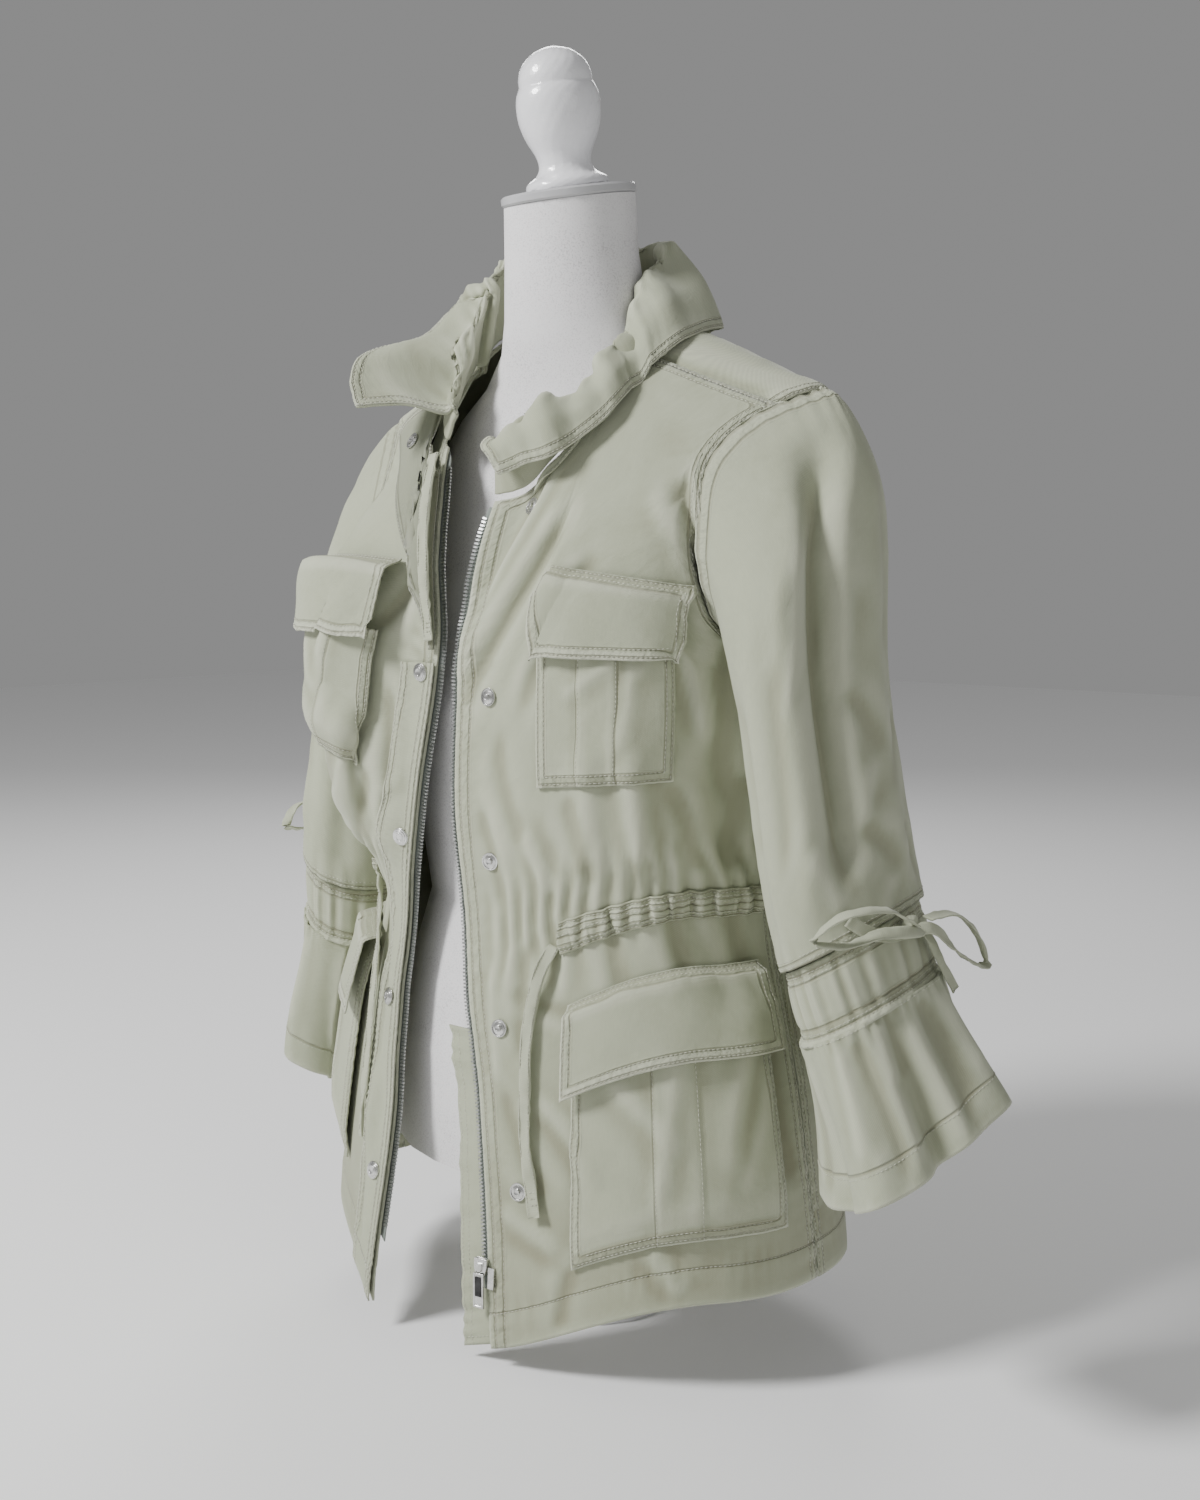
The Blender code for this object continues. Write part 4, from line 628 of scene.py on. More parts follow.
# rows: from x, y to x, y, width, depth and sideways bend, all in mm
def creased(rows, x, y, wrap=None):
    total = np.zeros(np.broadcast(x, y).shape)
    for x0, y0, x1, y1, width, depth, bend in rows:
        dx, dy = x - x0, y - y0
        if wrap:
            dx = (dx + wrap / 2) % wrap - wrap / 2
        length = math.hypot(x1 - x0, y1 - y0)
        share = (dx * (x1 - x0) + dy * (y1 - y0)) / length**2
        off = (dx * (y1 - y0) - dy * (x1 - x0)) / length
        off = (off - bend * 4 * share * (1 - share)) / width
        profile = np.exp(-np.abs(off) ** 1.6) - 0.42 * np.exp(-(((off - 1.9) / 1.2) ** 2))
        fade = ease((share + 0.08) / 0.24) * ease((1.08 - share) / 0.26)
        total += depth * 0.001 * profile * fade
    return total


# small wrinkles kept above the layer below, without a kink where they meet it
def raised(height):
    return np.sqrt(height**2 + 0.0007**2) * 0.6 + height * 0.4


def arcs(points, axis):
    steps = np.linalg.norm(np.diff(points, axis=axis), axis=-1)
    start = np.zeros_like(np.take(steps, [0], axis))
    return np.concatenate([start, np.cumsum(steps, axis)], axis) * 1000


# ripples pinched by a stitched seam: away from it and along it, in mm
def puckered(away, along, wave, height, reach, seed):
    shift = noiseField(along, away * 0.3, 30, seed) * 4.0
    ripple = np.sin((along + shift) * 2 * math.pi / wave)
    uneven = 0.55 + 0.45 * noiseField(along, away * 0.1, 41, seed + 3)
    return height * 0.001 * ripple * uneven * np.exp(-np.maximum(away, 0) / reach)


class Surface:
    def __init__(self, points, normals=None, wraps=False):
        self.points = points
        self.normals = gridNormals(points, wraps) if normals is None else normals

    def sample(self, rows, cols):
        rows = np.clip(rows, 0, self.points.shape[0] - 1)
        cols = np.clip(cols, 0, self.points.shape[1] - 1)
        i = np.minimum(rows.astype(int), self.points.shape[0] - 2)
        j = np.minimum(cols.astype(int), self.points.shape[1] - 2)
        s, t = (rows - i)[:, None], (cols - j)[:, None]
        read = []
        for grid in (self.points, self.normals):
            low = grid[i, j] * (1 - t) + grid[i, j + 1] * t
            high = grid[i + 1, j] * (1 - t) + grid[i + 1, j + 1] * t
            read.append(low * (1 - s) + high * s)
        return read

    # a line at one distance, in mm, inside an edge, over a share of that edge
    def inset(self, edge, distance, start=0.0, end=1.0):
        axis = 1 if edge in ("first", "last") else 0
        grid = self.points if edge in ("first", "low") else np.flip(self.points, axis)
        arc = arcs(grid, axis)
        if axis == 0:
            arc = arc.T
        place = np.array([np.interp(distance, row, np.arange(len(row))) for row in arc])
        if edge in ("last", "high"):
            place = arc.shape[1] - 1 - place
        other = np.arange(len(place), dtype=float)
        keep = (other >= start * other[-1] - 0.01) & (other <= end * other[-1] + 0.01)
        return self.sample(other[keep], place[keep]) if axis else self.sample(place[keep], other[keep])


def addMesh(name, points, faces, looks, uv=None, values=None, smooth=True):
    faces = np.asarray(faces)
    mesh = bpy.data.meshes.new(name)
    mesh.vertices.add(len(points))
    mesh.vertices.foreach_set("co", np.asarray(points, float).ravel())
    mesh.loops.add(faces.size)
    mesh.loops.foreach_set("vertex_index", faces.ravel())
    mesh.polygons.add(len(faces))
    mesh.polygons.foreach_set("loop_start", np.arange(len(faces)) * faces.shape[1])
    mesh.polygons.foreach_set("loop_total", np.full(len(faces), faces.shape[1]))
    mesh.polygons.foreach_set("use_smooth", np.full(len(faces), smooth))
    mesh.update(calc_edges=True)
    if uv is not None:
        layer = mesh.uv_layers.new(name="cloth")
        layer.data.foreach_set("uv", uv[faces.ravel()].ravel())
    for key, value in (values or {}).items():
        mesh.attributes.new(key, "FLOAT", "POINT").data.foreach_set("value", value)
    mesh.materials.append(looks)
    made = bpy.data.objects.new(name, mesh)
    scene.collection.objects.link(made)
    return made


def gridFaces(rows, cols, wraps):
    r, c = np.meshgrid(np.arange(rows - 1), np.arange(cols if wraps else cols - 1), indexing="ij")
    n = (c + 1) % cols
    count = rows * cols
    outer = np.stack(
        [r * cols + c, r * cols + n, (r + 1) * cols + n, (r + 1) * cols + c], -1
    ).reshape(-1, 4)
    parts = [outer, outer[:, ::-1] + count]
    c = np.arange(cols if wraps else cols - 1)
    n = (c + 1) % cols
    top = (rows - 1) * cols
    parts.append(np.stack([c, count + c, count + n, n], -1))
    parts.append(np.stack([top + n, count + top + n, count + top + c, top + c], -1))
    if not wraps:
        a = np.arange(rows - 1) * cols
        b = a + cols
        parts.append(np.stack([b, count + b, count + a, a], -1))
        a, b = a + cols - 1, b + cols - 1
        parts.append(np.stack([a, count + a, count + b, b], -1))
    return np.concatenate(parts)


# a thin closed sheet of cloth on a grid of points, its cut size and area worked out and printed
# a distance that no seam reaches, in mm
farAway = 60.0


def cloth(
    name,
    points,
    thick,
    look,
    wraps=False,
    normals=None,
    wearAndShade=None,
    edge=None,
    line=None,
):
    normals = gridNormals(points, wraps) if normals is None else normals
    rows, cols = points.shape[:2]
    if wraps:
        # the closing column lies on the side of the arm that faces the body
        turned = -(3 * cols // 4 if "left" in name else cols // 4)
        points, normals = np.roll(points, turned, 1), np.roll(normals, turned, 1)
        wearAndShade, edge = np.roll(wearAndShade, turned, 1), np.roll(edge, turned, 1)
    across, along = arcs(points, 1) * 0.001, arcs(points, 0) * 0.001
    uv = np.stack([across - across[:, cols // 2 : cols // 2 + 1], along], -1).reshape(-1, 2)
    inner = points - normals * thick
    values = {}
    # the inner face gets 0.40, below the plain 0.5, so it is darker: painted shade
    for key, grid, usual, inside in (
        ("wearAndShade", wearAndShade, 0.5, 0.40), ("edge", edge, farAway, farAway), ("line", line, farAway, farAway)
    ):
        outer = (
            np.full(rows * cols, usual) if grid is None
            else np.broadcast_to(grid, (rows, cols)).astype(float).ravel()
        )
        values[key] = np.concatenate([outer, np.full(rows * cols, inside)])
    made = addMesh(
        name + "_cloth",
        np.concatenate([points.reshape(-1, 3), inner.reshape(-1, 3)]),
        gridFaces(rows, cols, wraps),
        look,
        np.concatenate([uv, uv]),
        values,
    )
    corners = [points[:-1, :-1], points[:-1, 1:], points[1:, 1:], points[1:, :-1]]
    area = 0.5 * np.linalg.norm(np.cross(corners[2] - corners[0], corners[3] - corners[1]), axis=-1).sum()
    width, length = across[:, -1].max(), along[-1].max()
    if wraps:
        closing = np.linalg.norm(points[:, 0] - points[:, -1], axis=-1)
        width = (across[:, -1] + closing).max()
        area += 0.5 * (closing[1:] + closing[:-1]) @ (along[1:, -1] - along[:-1, -1])
    width, length = round(width, 3), round(length, 3)
    area = min(max(area, 0.301 * width * length), 0.999 * width * length)
    handOver(made, [name])
    print(f"{name}: {width:.3f} x {length:.3f} m, {area:.4f} m2")
    return made


def handOver(piece, nodes, body="jacket_on_form"):
    if nodes:
        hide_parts(*nodes)
    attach(piece, body)


# materials
def nodeMaker(name):
    made = bpy.data.materials.new(name)
    made.use_nodes = True
    tree = made.node_tree
    shader = tree.nodes["Principled BSDF"]

    def add(kind, inputs=None, **settings):
        node = tree.nodes.new(kind)
        for key, value in settings.items():
            setattr(node, key, value)
        for key, value in (inputs or {}).items():
            if isinstance(value, bpy.types.NodeSocket):
                tree.links.new(value, node.inputs[key])
            else:
                node.inputs[key].default_value = value
        return node

    return made, tree, shader, add


def mixed(add, factor, first, second, blend="MIX"):
    node = add("ShaderNodeMix", data_type="RGBA", blend_type=blend)
    for place, value in ((0, factor), (6, first), (7, second)):
        if isinstance(value, bpy.types.NodeSocket):
            node.id_data.links.new(value, node.inputs[place])
        else:
            node.inputs[place].default_value = value
    return node.outputs[2]


def ramped(add, value, low, high):
    node = add("ShaderNodeMapRange", {0: value, 1: low, 2: high, 3: 0.0, 4: 1.0})
    return node.outputs[0]


# light and dark vary the cloth's tone at random, worn is the faded colour of wear, and the darkest colour
# paints shade
clothValues = {
    "light": (0.412, 0.438, 0.322, 1.0),
    "dark": (0.340, 0.362, 0.256, 1.0),
    "worn": (0.560, 0.575, 0.455, 1.0),
    "shadeTone": (0.215, 0.205, 0.132, 1.0),
    "twillPitch": 0.0011,
    "twillTurn": 62.0,
    "rough": 0.93,
}


# a narrow groove where a row of stitches pulls the cloth in, at a distance in mm
needleRows = (2.2, 7.4)


def groove(add, distance, place):
    away = add("ShaderNodeMath", {0: distance, 1: place}, operation="SUBTRACT").outputs[0]
    away = add("ShaderNodeMath", {0: away}, operation="ABSOLUTE").outputs[0]
    return add(
        "ShaderNodeMapRange", {0: away, 1: 1.3, 2: 0.1, 3: 0.0, 4: 1.0}, interpolation_type="SMOOTHSTEP"
    ).outputs[0]


def clothMaterial(name, values, shade=1.0):
    made, tree, shader, add = nodeMaker(name)
    uv = add("ShaderNodeUVMap", uv_map="cloth").outputs[0]
    wearAndShade = add("ShaderNodeAttribute", attribute_name="wearAndShade").outputs["Fac"]
    turned = add(
        "ShaderNodeMapping", {"Vector": uv, "Rotation": (0, 0, math.radians(values["twillTurn"]))}
    ).outputs[0]
    scale = 2 * math.pi / (20 * values["twillPitch"])
    twill = add(
        "ShaderNodeTexWave",
        {"Vector": turned, "Scale": scale, "Distortion": 0.6, "Detail": 1.0, "Detail Scale": 2.0},
    )
    broad = add(
        "ShaderNodeTexNoise", {"Vector": uv, "Scale": 11.0, "Detail": 4.0, "Roughness": 0.6}
    ).outputs[0]
    fine = add(
        "ShaderNodeTexNoise", {"Vector": uv, "Scale": 170.0, "Detail": 5.0, "Roughness": 0.7}
    ).outputs[0]
    slub = add("ShaderNodeMapping", {"Vector": uv, "Scale": (1400.0, 90.0, 1.0)}).outputs[0]
    thread = add("ShaderNodeTexNoise", {"Vector": slub, "Scale": 1.0, "Detail": 2.0}).outputs[0]
    light = tuple(c * shade for c in values["light"][:3]) + (1.0,)
    dark = tuple(c * shade for c in values["dark"][:3]) + (1.0,)
    worn = tuple(c * shade for c in values["worn"][:3]) + (1.0,)
    colour = mixed(add, ramped(add, broad, 0.30, 0.70), dark, light)
    colour = mixed(add, ramped(add, fine, 0.2, 0.85), colour, light)
    faded = ramped(add, wearAndShade, 0.5, 1.0)
    colour = mixed(add, faded, colour, worn)
    # below 0.5 the wear-and-shade value mixes in the darkest colour: painted shade in troughs, towards the
    # hem and on the inner face
    paintedShade = ramped(add, wearAndShade, 0.5, 0.0)
    colour = mixed(add, paintedShade, colour, tuple(c * shade for c in values["shadeTone"][:3]) + (1.0,))
    weave = add("ShaderNodeMath", {0: twill.outputs["Fac"], 1: thread}, operation="MULTIPLY").outputs[0]
    colour = mixed(add, ramped(add, weave, 0.0, 1.6), colour, (0.78, 0.78, 0.72, 1.0), "SOFT_LIGHT")
    edge = add("ShaderNodeAttribute", attribute_name="edge").outputs["Fac"]
    line = add("ShaderNodeAttribute", attribute_name="line").outputs["Fac"]
    seams = add(
        "ShaderNodeMath",
        {0: groove(add, edge, needleRows[0]), 1: groove(add, edge, needleRows[1])},
        operation="ADD",
    ).outputs[0]
    seams = add("ShaderNodeMath", {0: seams, 1: groove(add, line, 0.0)}, operation="ADD").outputs[0]
    # stitch grooves are darkened towards the darkest colour: painted shade
    shaded = add("ShaderNodeMath", {0: seams, 1: 0.50}, operation="MULTIPLY").outputs[0]
    colour = mixed(add, shaded, colour, tuple(c * shade for c in values["shadeTone"][:3]) + (1.0,))
    tree.links.new(colour, shader.inputs["Base Color"])
    shader.inputs["Roughness"].default_value = values["rough"]
    shader.inputs["Sheen Weight"].default_value = 0.18
    shader.inputs["Sheen Roughness"].default_value = 0.55
    shader.inputs["Specular IOR Level"].default_value = 0.18
    wrinkle = add(
        "ShaderNodeTexNoise",
        {"Vector": uv, "Scale": 85.0, "Detail": 4.0, "Roughness": 0.55, "Distortion": 0.4},
    ).outputs[0]
    nearSeam = add("ShaderNodeMapRange", {0: edge, 1: 14.0, 2: 4.0, 3: 0.35, 4: 1.0}).outputs[0]
    pinched = add("ShaderNodeMath", {0: wrinkle, 1: nearSeam}, operation="MULTIPLY").outputs[0]
    ladder = add("ShaderNodeTexNoise", {"Vector": uv, "Scale": 230.0, "Detail": 1.5}).outputs[0]
    between = add("ShaderNodeMapRange", {0: edge, 1: 9.5, 2: 6.5, 3: 0.0, 4: 0.9}).outputs[0]
    ladder = add("ShaderNodeMath", {0: ladder, 1: between, 2: pinched}, operation="MULTIPLY_ADD").outputs[0]
    sunk = add("ShaderNodeMath", {0: seams, 1: -0.55, 2: ladder}, operation="MULTIPLY_ADD").outputs[0]
    first = add("ShaderNodeBump", {"Strength": 0.9, "Distance": 0.0016, "Height": sunk}).outputs[0]
    second = add(
        "ShaderNodeBump", {"Strength": 0.35, "Distance": 0.0002, "Height": weave, "Normal": first}
    ).outputs[0]
    tree.links.new(second, shader.inputs["Normal"])
    return made


twill = clothMaterial("washed_twill", clothValues)
# a copy of the twill at 0.62 brightness for the turned-back corner: painted shade
twillShadedInside = clothMaterial("washed_twill_shaded_inside", clothValues, 0.62)
tapeCloth = clothMaterial(
    "zip_tape_cloth",
    dict(
        clothValues,
        light=(0.23, 0.255, 0.235, 1),
        dark=(0.16, 0.18, 0.165, 1),
        worn=(0.30, 0.325, 0.30, 1),
        shadeTone=(0.12, 0.12, 0.10, 1),
    ),
)


def threadMaterial():
    made, tree, shader, add = nodeMaker("topstitch_thread")
    place = add("ShaderNodeTexCoord").outputs["Object"]
    spots = add("ShaderNodeTexNoise", {"Vector": place, "Scale": 260.0, "Detail": 2.0}).outputs[0]
    tree.links.new(
        mixed(add, ramped(add, spots, 0.3, 0.7), (0.50, 0.51, 0.41, 1), (0.62, 0.63, 0.53, 1)),
        shader.inputs["Base Color"],
    )
    shader.inputs["Roughness"].default_value = 0.7
    return made


def metalMaterial(name, bright, dull, rough):
    made, tree, shader, add = nodeMaker(name)
    place = add("ShaderNodeTexCoord").outputs["Object"]
    smear = add(
        "ShaderNodeTexNoise", {"Vector": place, "Scale": 190.0, "Detail": 5.0, "Roughness": 0.6}
    ).outputs[0]
    tree.links.new(mixed(add, ramped(add, smear, 0.3, 0.75), dull, bright), shader.inputs["Base Color"])
    tree.links.new(
        add("ShaderNodeMapRange", {0: smear, 1: 0.2, 2: 0.8, 3: rough + 0.15, 4: rough}).outputs[0],
        shader.inputs["Roughness"],
    )
    shader.inputs["Metallic"].default_value = 1.0
    scratch = add("ShaderNodeMapping", {"Vector": place, "Scale": (900.0, 900.0, 160.0)}).outputs[0]
    lines = add("ShaderNodeTexNoise", {"Vector": scratch, "Scale": 1.0, "Detail": 3.0}).outputs[0]
    tree.links.new(
        add("ShaderNodeBump", {"Strength": 0.2, "Distance": 0.0001, "Height": lines}).outputs[0],
        shader.inputs["Normal"],
    )
    return made


thread = threadMaterial()
metal = metalMaterial("brushed_silver", (0.80, 0.80, 0.78, 1), (0.52, 0.52, 0.50, 1), 0.2)
darkMetal = metalMaterial("dark_inset", (0.10, 0.10, 0.10, 1), (0.04, 0.04, 0.04, 1), 0.45)


# every stitch is a small rounded lozenge along a line, the raised middle on the cloth
def addStitches(name, lines, pitch=3.2, wide=0.00078, tall=0.00050):
    points, faces, count = [], [], 0
    for line, normals in lines:
        along = lengthsAlong(line)
        total = int(along[-1] * 1000 / pitch)
        if total < 1:
            continue
        ends = np.arange(total)[:, None] * pitch * 0.001 + np.array(
            [0.00022, pitch * 0.0005, pitch * 0.001 - 0.00022]
        )
        place = np.stack([np.interp(ends, along, line[:, k]) for k in range(3)], -1)
        up = np.stack([np.interp(ends[:, 1], along, normals[:, k]) for k in range(3)], -1)
        way = place[:, 2] - place[:, 0]
        length = np.linalg.norm(way, axis=1, keepdims=True)
        keep = length[:, 0] > 0.0008
        place, up, way = place[keep], up[keep], way[keep] / length[keep]
        side = np.cross(up, way)
        side /= np.maximum(np.linalg.norm(side, axis=1, keepdims=True), 1e-9)
        made = []
        for k, (half, top, low) in enumerate(((0.55, 0.35, -0.5), (1.0, 1.0, -0.2), (0.55, 0.35, -0.5))):
            base = place[:, k]
            made.append(base - side * wide / 2 * half + up * tall * low)
            made.append(base + side * wide / 2 * half + up * tall * low)
            made.append(base + up * tall * top)
        block = np.stack(made, 1)
        shape = [
            (0, 1, 4, 3), (1, 2, 5, 4), (2, 0, 3, 5), (3, 4, 7, 6), (4, 5, 8, 7), (5, 3, 6, 8),
            (0, 2, 1, 1), (6, 7, 8, 8),
        ]
        starts = count + np.arange(len(block)) * 9
        faces.append((starts[:, None, None] + np.array(shape[:6])[None]).reshape(-1, 4))
        points.append(block.reshape(-1, 3))
        count += len(block) * 9
    points, faces = np.concatenate(points), np.concatenate(faces)
    starts = np.arange(0, len(points), 9)
    caps = np.concatenate([starts[:, None] + np.array([0, 2, 1]), starts[:, None] + np.array([6, 7, 8])])
    triangles = np.concatenate([faces[:, [0, 1, 2]], faces[:, [0, 2, 3]], caps])
    handOver(addMesh(name, points, triangles, thread), [])


print("materials made")


# fronts: the creases are placed from the free edge and up from the hem
leftFrontFolds = [
    (96, 560, 10, 455, 9, -5.0, 3), (60, 600, 18, 520, 6, 2.4, 0), (118, 520, 60, 430, 7, -2.6, 4),
    (182, 560, 200, 470, 8, -5.5, -4), (205, 470, 215, 330, 10, -5.0, 6), (168, 452, 196, 380, 6, 3.0, 0),
    (150, 300, 140, 372, 8, 3.0, 0), (110, 292, 96, 356, 7, -2.6, 0), (186, 292, 172, 350, 7, -3.0, 3),
    (214, 290, 228, 356, 9, -3.6, 0), (82, 292, 60, 345, 6, 2.2, 0), (36, 300, 24, 372, 6, -2.2, 2),
    (120, 272, 128, 214, 7, -2.6, 0), (166, 270, 180, 206, 8, -3.2, 3), (206, 268, 222, 200, 8, -3.4, 0),
    (92, 272, 84, 222, 6, 2.2, 0), (60, 268, 44, 190, 7, -2.6, 4), (26, 262, 20, 182, 6, 2.0, 0),
    (24, 176, 52, 96, 8, -2.4, 5), (14, 96, 60, 60, 6, 1.8, 0), (230, 190, 236, 70, 12, -4.0, 4),
    (40, 236, 92, 206, 5, -1.5, 0), (54, 160, 96, 92, 6, 1.8, -4), (40, 420, 64, 330, 7, -2.0, 5),
    (210, 150, 190, 44, 8, -2.4, 0), (128, 42, 150, 8, 6, 1.8, 0), (70, 44, 60, 4, 7, -1.8, 0),
]
rightFrontFolds = [
    (20, 560, 64, 470, 8, -3.6, 3), (52, 600, 24, 500, 6, 2.2, 0), (100, 500, 128, 420, 8, -3.6, 4),
    (46, 430, 30, 330, 7, -3.0, 5), (82, 330, 70, 420, 7, 2.6, 0), (112, 300, 116, 372, 8, -3.2, 0),
    (60, 300, 54, 368, 7, -2.8, 0), (88, 296, 90, 352, 6, 2.6, 0), (136, 296, 146, 366, 8, -3.0, 0),
    (64, 268, 56, 190, 8, -3.4, 3), (92, 270, 98, 206, 7, 2.8, 0), (118, 268, 126, 196, 8, -3.0, 0),
    (34, 262, 26, 150, 8, -2.6, 6), (150, 262, 160, 186, 8, -3.0, 0), (22, 150, 40, 60, 7, 2.0, 0),
    (46, 120, 30, 20, 8, -2.4, 4), (150, 470, 160, 380, 9, -4.0, 0), (14, 380, 40, 352, 5, 1.6, 0),
]
frontValues = {"pucker": 0.5, "crumple": 0.5, "hem": 25.0}


def frontDetail(points, folds, side):
    fromEdge, up = arcs(points, 1), arcs(points, 0)
    fromSide, down = fromEdge[:, -1:] - fromEdge, up[-1:] - up
    height = creased(folds, fromEdge, up)
    height += crumpled(fromEdge, up, 11 if side > 0 else 29, frontValues["crumple"])
    size = frontValues["pucker"]
    height += puckered(np.abs(fromEdge - (9 if side > 0 else 21)), up, 13, size, 9, 3)
    height += puckered(np.abs(up - frontValues["hem"]), fromEdge, 12, size * 1.2, 12, 5)
    height += puckered(down, fromEdge, 11, size * 1.3, 11, 7)
    height += puckered(fromSide, up, 12, size * 1.3, 11, 9)
    gather = ease(1 - np.abs(up - 281) / 52) * ease(fromEdge / 60)
    height += 0.0019 * gather * np.cos(
        fromEdge * 2 * math.pi / 14.5 + 1.6 * noiseField(fromEdge, up, 34, 4)
    )
    height += 0.0005 * ease((frontValues["hem"] - up) / 1.5)
    return height


# paler on ridges and near edges from wear, darker in troughs as painted shade; 0.5 is plain cloth
def wearAndShadeFrom(height, edges):
    rough = height - sum(np.roll(height, shift, axis) for shift in (-4, 4) for axis in (0, 1)) / 4
    worn = 0.5 + np.clip(rough * 210, -0.20, 0.22)
    for away, reach, amount in edges:
        worn = worn + amount * np.exp(-away / reach)
    return np.clip(worn, 0, 1)


def makeFront(edge, neckLevel, side, folds):
    points, turns = frontGrid(edge, neckLevel, side)
    height = frontDetail(points, folds, side)
    fromEdge, up = arcs(points, 1), arcs(points, 0)
    edges = [
        (fromEdge, 2.0, 0.35),
        (up, 2.0, 0.4),
        (fromEdge[:, -1:] - fromEdge, 3.0, 0.25),
        (up[-1:] - up, 3, 0.25),
    ]
    # the lowest 300 mm is made darker: painted shade
    wearAndShade = wearAndShadeFrom(height, edges) - 0.16 * ease((300 - up) / 300)
    edge = np.minimum(2.2 + (fromEdge - 5.5) * 0.65, np.minimum(fromEdge[:, -1:] - fromEdge, up[-1:] - up))
    normals = gridNormals(points)
    # what is sewn on bridges the troughs
    bridged = points + normals * np.maximum(height, -0.0006)[..., None]
    return points + normals * height[..., None], turns, (wearAndShade, edge, up - frontValues["hem"]), bridged


leftFront, leftTurns, leftWearAndShade, leftBridged = makeFront(leftEdge, 1.47, 1, leftFrontFolds)
rightFront, rightTurns, rightWearAndShade, rightBridged = makeFront(rightEdge, 1.64, -1, rightFrontFolds)
rightFront, rightWearAndShade = mirrored(rightFront), [grid[:, ::-1] for grid in rightWearAndShade]
leftPanel = Panel(leftFront, frontShares, frontLevels, leftTurns)
leftUnder = Panel(leftBridged, frontShares, frontLevels, leftTurns)
rightUnder = Panel(mirrored(rightBridged), 1 - frontShares[::-1], frontLevels, rightTurns[:, ::-1])
# on the right the columns run from the side seam, at 0, to the free edge, at 1
rightPanel = Panel(rightFront, 1 - frontShares[::-1], frontLevels, rightTurns[:, ::-1])
print("fronts shaped")

# back and yoke
backCreases = [
    (-150, 560, -96, 470, 11, -4.0, 5), (150, 566, 104, 476, 11, -4.0, -4), (
        -196, 520, -176, 400, 12, -4.5, 4
    ),
    (200, 520, 184, 392, 12, -4.5, -4), (-60, 470, 20, 430, 10, 2.4, 6), (30, 520, -14, 470, 8, -2.2, 3),
    (-120, 292, -110, 366, 8, -3.2, 0), (-70, 292, -76, 372, 8, 3.0, 0), (-30, 292, -26, 360, 8, -3.0, 0),
    (10, 292, 14, 372, 8, 3.0, 0), (56, 292, 50, 366, 8, -3.2, 0), (98, 292, 104, 360, 8, 2.8, 0),
    (146, 292, 158, 356, 9, -3.4, 0), (
        -170, 292, -186, 350, 9, -3.4, 0
    ), (-104, 268, -112, 180, 8, -3.4, 3),
    (-56, 268, -50, 200, 8, 3.0, 0), (-8, 268, -16, 170, 9, -3.4, 3), (40, 268, 46, 196, 8, 3.0, 0),
    (88, 268, 80, 176, 8, -3.4, -3), (134, 268, 146, 190, 9, 2.8, 0), (176, 268, 190, 160, 9, -3.4, 0),
    (-150, 268, -166, 170, 9, 2.8, 0), (-196, 250, -206, 120, 10, -3.4, 3), (-90, 120, -60, 20, 9, -2.2, 4),
    (30, 130, 10, 24, 9, -2.2, 3), (120, 120, 140, 20, 9, -2.4, 3),
]


def makeBack():
    points = backGrid()
    across, up = arcs(points, 1), arcs(points, 0)
    middle = across - across[:, 64:65]
    size = frontValues["pucker"]
    height = creased(backCreases, middle, up) + crumpled(middle, up, 47, 1.2)
    height += puckered(np.abs(up - frontValues["hem"]), middle, 12, size * 1.2, 12, 13)
    height += puckered(up[-1:] - up, middle, 11, size * 1.3, 12, 15)
    for away in (across, across[:, -1:] - across):
        height += puckered(away, up, 12, size * 1.3, 11, 17)
    gather = ease(1 - np.abs(up - 281) / 56)
    height += 0.0019 * gather * np.cos(middle * 2 * math.pi / 14.5 + 1.6 * noiseField(middle, up, 34, 4))
    height += 0.0005 * ease((frontValues["hem"] - up) / 1.5)
    edges = [
        (across, 3.0, 0.25), (across[:, -1:] - across, 3.0, 0.25), (up, 2.0, 0.4), (up[-1:] - up, 3, 0.25)
    ]
    edge = np.minimum(np.minimum(across, across[:, -1:] - across), up[-1:] - up)
    # the lowest 300 mm is made darker: painted shade
    wearAndShade = wearAndShadeFrom(height, edges) - 0.16 * ease((300 - up) / 300)
    return points + gridNormals(points) * height[..., None], (wearAndShade, edge, up - frontValues["hem"])


backPoints, backWearAndShade = makeBack()
backPanel = Panel(backPoints, backColumns, backLevels)


def makeYoke():
    points = yokeGrid(56, 34)
    across, up = arcs(points, 1), arcs(points, 0)
    ends = np.minimum(across, across[:, -1:] - across)
    height = 0.0012 + crumpled(across, up, 61, 0.6)
    height -= 0.0050 * np.exp(-((ends / 7) ** 2)) + 0.0014 * np.exp(
        -((np.minimum(up, up[-1:] - up) / 1.5) ** 2)
    )
    height += puckered(up, across, 10, 0.45, 9, 21) + puckered(up[-1:] - up, across, 9, 0.45, 8, 23)
    edges = [
        (up, 3.0, 0.3), (up[-1:] - up, 3.0, 0.2), (across, 3.0, 0.3), (across[:, -1:] - across, 3.0, 0.3)
    ]
    return points + gridNormals(points) * height[..., None], (
        wearAndShadeFrom(height, edges), np.minimum(up, up[-1:] - up + 2), farAway
    )


yokePoints, yokeWearAndShade = makeYoke()
print("back and yoke shaped")

